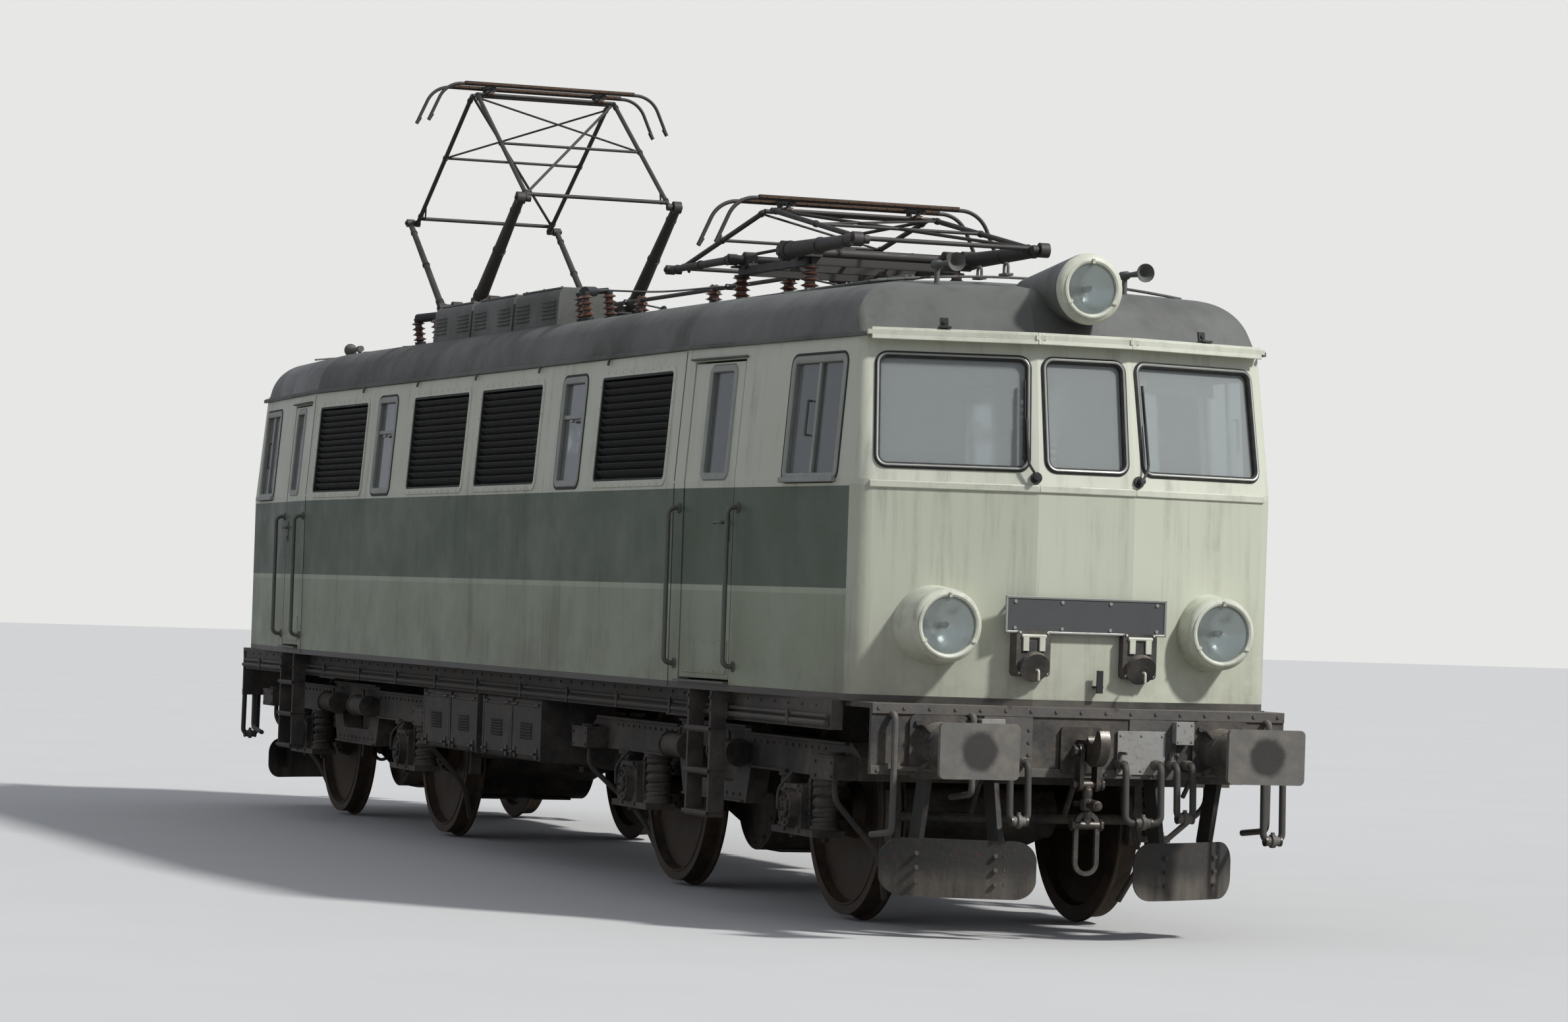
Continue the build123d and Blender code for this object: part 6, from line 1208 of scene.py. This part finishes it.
def axle_trim(x, side, coils, covers, bolts, flanges, pipes):
    """Springs' coils, axlebox cover and guide liners at one end of an axle."""
    height = FRAME_BOTTOM_Z - SPRING_SEAT_Z - 0.024
    for offset in pair(SPRING_OFFSET):
        seat = shift(x + offset, side * FRAME_Y, SPRING_SEAT_Z + 0.012)
        coils.run(seat, spiral(5.5, 0.068, height, 18), 0.0175, 8)
        covers.peg(seat, -0.012, 0.01, 0.095, 24)
        covers.peg(seat, height - 0.012, height + 0.012, 0.095, 24)
        bolts.bolts(seat, [(0, 0, -0.085)], 0.024, 0.03)
    box = on_side(side, x, COVER_FACE_Y, AXLE_Z)
    covers.lathe(box, [(0.0005, 0.0), (0.05, 0.0), (0.05, 0.012), (0.04, 0.02), (0.0005, 0.02)], 24)
    covers.lathe(box, [(0.094, -0.004), (0.106, -0.004), (0.106, 0.006), (0.1, 0.01), (0.094, 0.006)], 40)
    bolts.bolts(box, ring(8, 0.077), 0.01, 0.01)
    face = on_side(side, x, AXLEBOX_OUTER_Y, AXLE_Z)
    bolts.bolts(face, grid(pair(0.12), pair(0.12)), 0.014, 0.012)
    covers.box(face, (0.22, 0.03, 0.03), (0, 0.135, 0.004))
    pipes.tube(box, ((0, 0, 0.018), (0, 0.0, 0.05), (0, 0.12, 0.05), (0, 0.22, -0.04)), 0.009)
    for edge in pair(0.172):
        liner = on_side(side, x + edge, FRAME_OUTER_Y, FRAME_BOTTOM_Z - 0.13)
        flanges.box(liner, (0.03, 0.22, 0.012), (0, 0, 0.002))
        bolts.bolts(liner, grid((0,), row(3, 0.08), 0.008), 0.008, 0.008)


def frame_trim(pivot, side, covers, bolts, flanges, pipes, cylinders):
    """Flanges and rivets of one side of a bogie frame, its brake cylinders, sandboxes and sand pipes."""
    web = on_side(side, pivot, FRAME_OUTER_Y, FRAME_TOP_Z)
    flanges.box(web, (1.24, 0.018, 0.035), (0, 0.03, 0.012))
    flanges.box(web, (1.1, 0.016, 0.03), (0, -0.43, 0.01))
    bolts.bolts(web, grid(row(9, 0.12), (-0.39,)), 0.01, 0.007)
    inward = FITTING_Y - SAND_NOZZLE_Y
    for half in PAIR:
        flanges.box(web, (1.66, 0.018, 0.035), (half * 1.48, -0.009, 0.012))
        flanges.box(web, (0.64, 0.016, 0.03), (half * 1.0, -0.208, 0.01))
        bolts.bolts(web, [(half * (0.72 + 0.11 * k), -0.05, 0) for k in range(12)], 0.01, 0.007)
        cylinder = on_side(side, pivot + half * 0.46, FITTING_Y, FRAME_TOP_Z - 0.13)
        cylinders.bar(cylinder, -0.17, 0.17, 0.075, 28)
        for x in pair(0.175):
            cylinders.bar(cylinder, x - 0.01, x + 0.01, 0.086, 28)
        cylinders.box(cylinder, (0.2, 0.05, 0.08), (0, 0, -0.045))
        pipes.tube(cylinder, ((0, 0.07, 0), (0, 0.12, 0), (half * -0.2, 0.12, -0.02)), 0.01)
        sand = on_side(side, pivot + half * (SANDBOX_X + 0.16), FITTING_Y, FRAME_BOTTOM_Z)
        covers.rod(sand, (0, 0.13, 0), (0, 0.155, 0), 0.055, 24)
        covers.box(sand, (0.33, 0.012, 0.16), (0, 0.132, 0))
        bolts.bolts(sand, grid(pair(0.13), (0.02, 0.1), 0.075), 0.01, 0.007)
        way = half * side
        run = ((0, 0.01, 0), (0, -0.12, 0), (way * 0.12, -0.45, -inward * 0.8), (way * 0.26, -0.7, -inward))
        pipes.tube(sand, run, 0.018, 0.12)


def bogie_trim(end, coils, covers, bolts, flanges, pipes, cylinders):
    """Trim of both sides of a bogie, its brake beams, and the flanges and lids of its motors."""
    pivot = end * PIVOT_X
    for side in PAIR:
        for axle in PAIR:
            axle_trim(pivot + axle * AXLE_X, side, coils, covers, bolts, flanges, pipes)
        frame_trim(pivot, side, covers, bolts, flanges, pipes, cylinders)
    for half in PAIR:
        x = pivot + half * BEAM_X
        cylinders.rod(WORLD, (x, -0.745, AXLE_Z), (x, 0.745, AXLE_Z), 0.03)
        for y in pair(0.3):
            cylinders.rod(WORLD, (x, y, AXLE_Z), (pivot + half * 2.36, y, FRAME_BOTTOM_Z + 0.03), 0.018)
        motor = shift(pivot + half * MOTOR_X, 0, AXLE_Z)
        for y, out in ((-0.493, -0.012), (0.481, 0.012)):
            flange = motor @ shift(0, y, 0) @ spin(-90, "X")
            cylinders.lathe(flange, [(0.3, 0.0), (0.36, 0.0), (0.36, 0.012), (0.3, 0.012)], 40)
            bolts.bolts(flange, ring(12, 0.33, out), 0.013, 0.012)
        for y in pair(0.22):
            covers.box(motor, (0.26, 0.3, 0.02), (0, y, -0.378))


def wheel_trim(x, rings, bolts):
    """Rings of the tyres and bolts round the hubs of a wheelset."""
    for side in PAIR:
        face = on_side(side, x, WHEEL_FACE_Y, AXLE_Z)
        outline = [(0.553, -0.006), (0.566, -0.006), (0.566, 0.004), (0.558, 0.006), (0.553, 0.004)]
        rings.lathe(face, outline, 72)
        bolts.bolts(face, ring(8, 0.125, 0.008), 0.013, 0.01)


def linkage(number, end, half=1):
    """Shaft, knee and apex of one half of a pantograph, at rest."""
    rest = radians(REST_ANGLES[number])
    reach, knee_z = SHAFT_X + LOWER_ARM * cos(rest), SHAFT_Z + LOWER_ARM * sin(rest)
    apex_z = knee_z + UPPER_ARM * sin(acos((reach - APEX_HALF_GAP) / UPPER_ARM))
    places = ((SHAFT_X, SHAFT_Z), (reach, knee_z), (APEX_HALF_GAP, apex_z))
    return [Vector((end * PANTOGRAPH_X + half * x, 0, z)) for x, z in places]


def base_trim(end, bearings, springs, drive):
    """Bearings, springs and drive on the base of a pantograph."""
    middle = shift(end * PANTOGRAPH_X, 0, 0)
    for half, side in product(PAIR, PAIR):
        shaft = middle @ shift(half * SHAFT_X, side * BASE_Y, 0)
        bearings.rod(shaft, (0, -side * 0.04, SHAFT_Z), (0, side * 0.04, SHAFT_Z), 0.056, 28)
        foot = shaft @ shift(0, 0, BASE_Z + BASE_BAR)
        bearings.box(foot, (0.16, 0.07, 0.02), (0, 0, 0.008))
        bearings.bolts(foot, grid(pair(0.066), (0,), 0.018), 0.012, 0.014)
        corner = middle @ shift(half * BASE_HALF, side * BASE_Y, BASE_Z)
        bearings.box(corner, (0.12, 0.12, 0.014), (0, 0, BASE_BAR + 0.005))
        bearings.bolts(corner, [(0, 0, BASE_BAR + 0.012)], 0.02, 0.02)
        bearings.peg(corner, -0.016, 0.001, 0.05, 24)
    for half, y in product(PAIR, pair(0.3)):
        start = middle @ shift(half * 0.1, y, SPRING_Z) @ spin(half * 90, "Y")
        springs.run(start, spiral(14, 0.03, 0.28, 10), 0.006, 6)
        bearings.rod(middle, (0, y, SPRING_Z), (half * 0.12, y, SPRING_Z), 0.008)
        bearings.rod(middle, (half * 0.36, y, SPRING_Z), (half * 0.47, y, SHAFT_Z - 0.01), 0.008)
    bearings.box(middle, (0.05, 2 * BASE_Y, 0.05), (0, 0, BASE_Z + 0.025))
    drive.bar(middle, -0.34, 0.02, 0.07, 32, (0, SPRING_Z))
    for x in (-0.35, -0.01):
        drive.bar(middle, x, x + 0.02, 0.08, 32, (0, SPRING_Z))
    drive.rod(middle, (0.02, 0, SPRING_Z), (SHAFT_X - 0.03, 0, SHAFT_Z - 0.006), 0.014)
    drive.tube(middle, ((-0.3, 0.07, SPRING_Z), (-0.3, 0.2, SPRING_Z), (-0.3, 0.2, CROWN_Z - 0.01)), 0.01)


def arm_trim(number, end, half, collars):
    """Collars of the tubes of a lower arm, and the ends of its shaft and knee pin."""
    thick, thin = ARM_RADII[half]
    shaft, knee, _ = linkage(number, end, half)
    step = (knee - shaft).normalized() * 0.009
    for side in PAIR:
        out, across = Vector((0, side * LOWER_ARM_Y, 0)), Vector((0, side * 0.034, 0))
        for share, radius in ((0.055, thick), (0.075, thick), (0.5, (thick + thin) / 2), (0.88, thin)):
            place = shaft.lerp(knee, share) + out
            collars.rod(WORLD, place - step, place + step, radius + 0.006, 28)
        collars.rod(WORLD, knee + out, knee + out + across, thin - 0.008, 20)
        collars.rod(WORLD, knee + out + across, knee + out + across * 1.3, 0.016, 6)
        collars.rod(WORLD, shaft + out, shaft + out + across * 1.15, thick - 0.004, 24)


def tie_trim(number, end, half, ties):
    """Collars, straps, cross bar and diagonal of an upper frame."""
    _, knee, apex = linkage(number, end, half)
    step = (apex - knee).normalized() * 0.012
    for side in PAIR:
        out, inward = Vector((0, side * UPPER_ARM_Y, 0)), Vector((0, -side * 0.03, 0))
        for share in (0.06, 0.52, 0.96):
            place = knee.lerp(apex, share) + out
            ties.rod(WORLD, place - step, place + step, 0.0225, 20)
        first, second, third = (knee.lerp(apex, share) + out for share in (0.05, 0.08, 0.13))
        sagging = second + inward + Vector((0, 0, -0.05))
        ties.tube(WORLD, (first + inward, sagging, third + inward * 0.4), 0.007, 0.05)
    middle, wide = knee.lerp(apex, 0.52), Vector((0, UPPER_ARM_Y, 0))
    ties.rod(WORLD, middle - wide, middle + wide, 0.011)
    across = wide * (half * end)
    ties.rod(WORLD, middle - across, knee.lerp(apex, 0.96) + across, 0.008, 10)


def head_trim(number, end, plates, screws):
    """Side plates and screws of the strips, tips of the horns and collars of the pins of a head."""
    apex = linkage(number, end)[2]
    top = shift(end * PANTOGRAPH_X, 0, apex.z + STRIP_TOP)
    for x, edge in product(pair(STRIP_X), PAIR):
        plates.box(top, (0.004, 2 * STRIP_HALF - 0.02, 0.016), (x + edge * 0.0235, 0, -0.013))
        for y in row(17, 0.08):
            screws.bar(top, x + edge * 0.025, x + edge * 0.029, 0.005, 6, (y, -0.013))
        tip = Vector((x, edge * HEAD_HALF_WIDTH, -STRIP_TO_HORN))
        screws.rod(top, tip + Vector((0, -edge * 0.03, 0.05)), tip, 0.015, 16)
    for y in pair(HEAD_BAR_Y):
        for x in (-0.09, 0.15):
            screws.peg(top, -0.06, -0.035, 0.02, 20, (x, y))
        for low, high in ((-0.03, -0.013), (0.013, 0.03)):
            plates.rod(Matrix.Translation(apex), (0, y + low, 0), (0, y + high, 0), 0.024, 20)


def busbar_trim(clamps):
    """Clamps of the high-tension bar and the loops that join it to the pantographs' bases."""
    for x in BUSBAR_POSTS:
        base = shift(x, 0, BUSBAR_Z)
        clamps.peg(base, -0.012, 0.002, 0.045, 24)
        clamps.box(base, (0.06, 0.05, 0.05), (0, 0, 0.018))
        clamps.bolts(base, grid((0,), pair(0.016), 0.04), 0.007, 0.01)
    for end in PAIR:
        base = shift(end * (PANTOGRAPH_X - BASE_HALF), 0, BASE_Z)
        clamps.box(base, (0.05, 0.09, 0.012), (-end * 0.02, 0, 0.056))
        loop = ((0.02, 0.03, 0.06), (0.18, 0.04, 0.13), (0.34, 0, BUSBAR_Z + 0.015 - BASE_Z))
        clamps.tube(base, [(-end * x, y, z) for x, y, z in loop], 0.009, 0.12)


def desk_trim(end, desk, dials, controls, visors):
    """Desk binnacles with dials and switches, handwheel, brake valve and sun visors."""
    cab = spin(90 - end * 90)
    for y, wide in BINNACLES:
        base = cab @ shift(DESK_X + 0.24, y, DESK_Z)
        desk.prism(base @ shift(0, wide / 2, 0) @ spin(90, "X"), BINNACLE_OUTLINE, wide)
        for along in row(4, wide / 4.4):
            face = base @ shift(-0.078, along, 0.085) @ spin(-67.6, "Y")
            dials.peg(face, -0.01, 0.008, 0.062, 32)
            desk.lathe(face, [(0.062, -0.01), (0.07, -0.01), (0.07, 0.012), (0.062, 0.012)], 36)
        desk.bolts(base, grid((-0.06, -0.03, 0.0, 0.03), (0,), 0.173), 0.009, 0.02)
    hub = cab @ shift(DESK_X + 0.1, -0.62, DESK_Z)
    desk.peg(hub, -0.02, 0.06, 0.075, 28)
    controls.lathe(hub, [(0.15 + x, 0.085 + z) for x, z, _ in ring(8, 0.012)], 48)
    for degrees_round in (0, 90, 180, 270):
        controls.rod(hub @ spin(degrees_round), (0.02, 0, 0.075), (0.148, 0, 0.085), 0.009)
    controls.peg(hub, 0.05, 0.095, 0.032, 20)
    valve = cab @ shift(DESK_X + 0.1, -1.0, DESK_Z)
    controls.rod(valve, (0, 0, -0.02), (0, 0, 0.1), 0.045, 20, far=0.03)
    controls.tube(valve, ((0, 0, 0.1), (-0.05, 0.02, 0.12), (-0.2, 0.05, 0.115)), 0.011)
    for side in PAIR:
        screen = FACES[end, side].at(end * side * 0.5, SCREEN_MID_Z + SCREEN_HEIGHT / 2 - 0.06, -0.12)
        visors.box(screen, (0.5, 0.17, 0.006))
        visors.bar(screen, -0.26, 0.26, 0.007, at=(0.085, 0))


def cushion_trim(base, length, width, height, pad, piping, corner=0.07):
    """Crowned pad with pinched edges and a seam round it: length on x, width on y, z up."""
    rings = []
    for share, level in CUSHION_LEVELS:
        rings.append([])
        for x, y, dx, dy in rounded_rectangle(length, width, corner, 8):
            px, py = (x + corner * dx) * share, (y + corner * dy) * share
            edge = min(1.0, (2 * abs(px) / length) ** 4 + (2 * abs(py) / width) ** 4)
            pinch = 1 - CUSHION_PINCH * (1 - edge)
            rings[-1].append(base @ Vector((px * pinch, py * pinch, level * height)))
    pad.loops(rings, caps=True)
    seam = [(0.001, 0.46 * height), (0.006, 0.5 * height), (0.001, 0.54 * height), (-0.003, 0.5 * height)]
    piping.border(base, length, width, corner, seam, steps=8)


def fit(trim, names, *settings, ending="", body="body"):
    """Has the trim fill one shape for each name, and turns the shapes into pieces that ride on the body."""
    shapes = {name: Shape() for name in names.split()}
    trim(*settings, *shapes.values())
    pieces = []
    for name, shape in shapes.items():
        slot, material, bevel = PIECES[name]
        smooth = ROUND_ANGLE if name in ROUND_PIECES else SMOOTH_ANGLE
        pieces.append(shape.done(name + ending, body, slot, material, bevel, smooth))
    return pieces


# Trim of each end of the body, then trim of the whole body, with the pieces that each fills
END_TRIM = (
    (windscreen_trim, "windscreen_seals windscreen_beads wiper_arms wiper_blades"),
    (lamp_trim, "lamp_reflectors lamp_bulbs lamp_bezels lamp_sockets"),
    (plate_trim, "number_plate number_plate_rim number_plate_studs"),
    (face_trim, "waist_moulding gutter_lip hood_brackets socket_lids lamp_iron"),
    (headstock_trim, "headstock_plates headstock_rivets buffer_bolts headstock_boxes headstock_pipes"),
    (hose_trim, "hose_cocks hose_clips"),
    (coupling_trim, "coupling_nuts coupling_threads"),
    (guard_trim, "guard_bolts guard_stays"),
    (base_trim, "pantograph_bearings pantograph_springs pantograph_drive"),
    (desk_trim, "desk_binnacles desk_dials desk_controls sun_visors"),
)
BODY_TRIM = (
    (window_trim, "window_frames window_seals window_pulls"),
    (louvre_trim, "louvre_flanges louvre_screws"),
    (side_trim, "side_seams drip_channels drip_spouts handrail_feet"),
    (hatch_trim, "roof_hatches roof_bolts roof_eyes roof_ribs"),
    (fuse_trim, "fuse_insulators fuse_caps roof_cables roof_box_lids"),
    (conduit_trim, "roof_conduits"),
    (
        underframe_trim,
        "solebar_rivets solebar_pipes solebar_clamps battery_lids battery_latches step_plates step_studs",
    ),
    (reservoir_trim, "reservoir_pipes reservoir_cocks"),
    (busbar_trim, "busbar_clamps"),
)
BOGIE_PIECES = "spring_coils axlebox_covers bogie_bolts frame_flanges sand_pipes brake_cylinders"

for trim, names in BODY_TRIM:
    fit(trim, names)
for number, end in ENDS:
    ending = f"_{number}"
    for trim, names in END_TRIM:
        fit(trim, names, end, ending=ending)
    fit(bogie_trim, BOGIE_PIECES, end, ending=ending, body=f"bogie_{number}")
    fit(head_trim, "head_plates head_screws", number, end, ending=ending, body=f"pantograph_{number}_head")
    for name, half in (("front", 1), ("rear", -1)):
        lower, upper = (f"pantograph_{number}_{level}_{name}" for level in ("lower", "upper"))
        fit(arm_trim, "lower_arm_collars", number, end, half, ending=f"_{number}_{name}", body=lower)
        fit(tie_trim, "upper_frame_ties", number, end, half, ending=f"_{number}_{name}", body=upper)
    for name, side in (("left", 1), ("right", -1)):
        ending = f"_{number}_{name}"
        door_pieces = "door_window_frame door_handle door_kick_plate"
        fit(door_trim, door_pieces, end, side, ending=ending, body=f"door_{number}_{name}")
        seat = spin(90 - end * 90) @ shift(SEAT_X, side * SEAT_Y, SEAT_TOP_Z - 0.015)
        back = seat @ shift(-0.145, 0, 0.255) @ spin(84, "Y")
        for place, base, length in (("seat", seat, SEAT_LENGTH), ("back", back, BACK_LENGTH)):
            names = f"{place}_cushion {place}_piping"
            piece, _ = fit(cushion_trim, names, base, length, SEAT_WIDTH, CUSHION_HEIGHT, ending=ending)

# Wheelsets 1 and 2 are under the first end, and 1 and 3 are the leading ones of their bogies
for number in range(1, 5):
    x = (1 if number < 3 else -1) * PIVOT_X + (1 if number % 2 else -1) * AXLE_X
    fit(wheel_trim, "tyre_rings hub_bolts", x, ending=f"_{number}", body=f"wheels_{number}")

# Camera at the photograph's viewpoint, closer in by its lens alone
CAMERA_PLACE = Vector((31.86, -10.91, 1.86 + RAIL))
CAMERA_AIM = Vector((1.84, 0.19, 2.49))
CAMERA_LENS = 108.0
CAMERA_ROLL = 1.9
CAMERA_FAR = 400.0

# Light: a soft sun from the front left, and an even sky
SUN_PLACE = Vector((15.0, 13.5, 21.0))
SUN_AIM = Vector((0, 0, 2.0))
SUN_ENERGY = 3.3
SUN_ANGLE = radians(5)
SKY_LIGHT = (0.86, 0.9, 1.0, 1)
SKY_STRENGTH = 0.46
SKY_SEEN = (0.80, 0.80, 0.79, 1)

# Floor: half its size, its colour where the camera sees it, and where other rays meet it
FLOOR_HALF = 150.0
FLOOR_SEEN = ((0.575, 0.57, 0.555, 1), (0.59, 0.585, 0.57, 1))
FLOOR_BOUNCE = (0.24, 0.235, 0.22, 1)


def make_camera():
    camera = bpy.data.objects.new("camera", bpy.data.cameras.new("camera"))
    bpy.context.scene.collection.objects.link(camera)
    forward = (CAMERA_AIM - CAMERA_PLACE).normalized()
    turn = forward.to_track_quat("-Z", "Y").to_matrix() @ Matrix.Rotation(radians(CAMERA_ROLL), 3, "Z")
    camera.matrix_world = Matrix.Translation(CAMERA_PLACE) @ turn.to_4x4()
    camera.data.lens = CAMERA_LENS
    camera.data.clip_end = CAMERA_FAR
    bpy.context.scene.camera = camera


def make_sun():
    light = bpy.data.objects.new("key", bpy.data.lights.new("key", "SUN"))
    bpy.context.scene.collection.objects.link(light)
    light.location = SUN_PLACE
    light.rotation_euler = (SUN_AIM - SUN_PLACE).to_track_quat("-Z", "Y").to_euler()
    light.data.energy = SUN_ENERGY
    light.data.angle = SUN_ANGLE


def make_stage():
    """Pale floor that runs out of view, under a pale sky that lights evenly."""
    floor_mesh = bpy.data.meshes.new("floor")
    corners = [(x * FLOOR_HALF, y * FLOOR_HALF, 0) for x, y in ((-1, -1), (1, -1), (1, 1), (-1, 1))]
    floor_mesh.from_pydata(corners, [], [(0, 1, 2, 3)])
    floor = bpy.data.objects.new("floor", floor_mesh)
    bpy.context.scene.collection.objects.link(floor)
    s = Shader("floor", Roughness=0.9)
    seen = s.mix(s.span(s.noise(0.6, 6.0), 0.3, 0.7), *FLOOR_SEEN)
    s.feed("Base Color", s.mix(s.node("LightPath").outputs["Is Camera Ray"], FLOOR_BOUNCE, seen))
    floor_mesh.materials.append(s.material)
    world = bpy.data.worlds.new("world")
    world.use_nodes = True
    bpy.context.scene.world = world
    tree = world.node_tree
    light = tree.nodes["Background"]
    light.inputs["Color"].default_value = SKY_LIGHT
    light.inputs["Strength"].default_value = SKY_STRENGTH
    seen = tree.nodes.new("ShaderNodeBackground")
    seen.inputs["Color"].default_value = SKY_SEEN
    path = tree.nodes.new("ShaderNodeLightPath")
    choose = tree.nodes.new("ShaderNodeMixShader")
    tree.links.new(path.outputs["Is Camera Ray"], choose.inputs[0])
    tree.links.new(light.outputs[0], choose.inputs[1])
    tree.links.new(seen.outputs[0], choose.inputs[2])
    tree.links.new(choose.outputs[0], tree.nodes["World Output"].inputs["Surface"])


make_camera()
make_stage()
make_sun()
bpy.context.scene.view_settings.view_transform = "Standard"
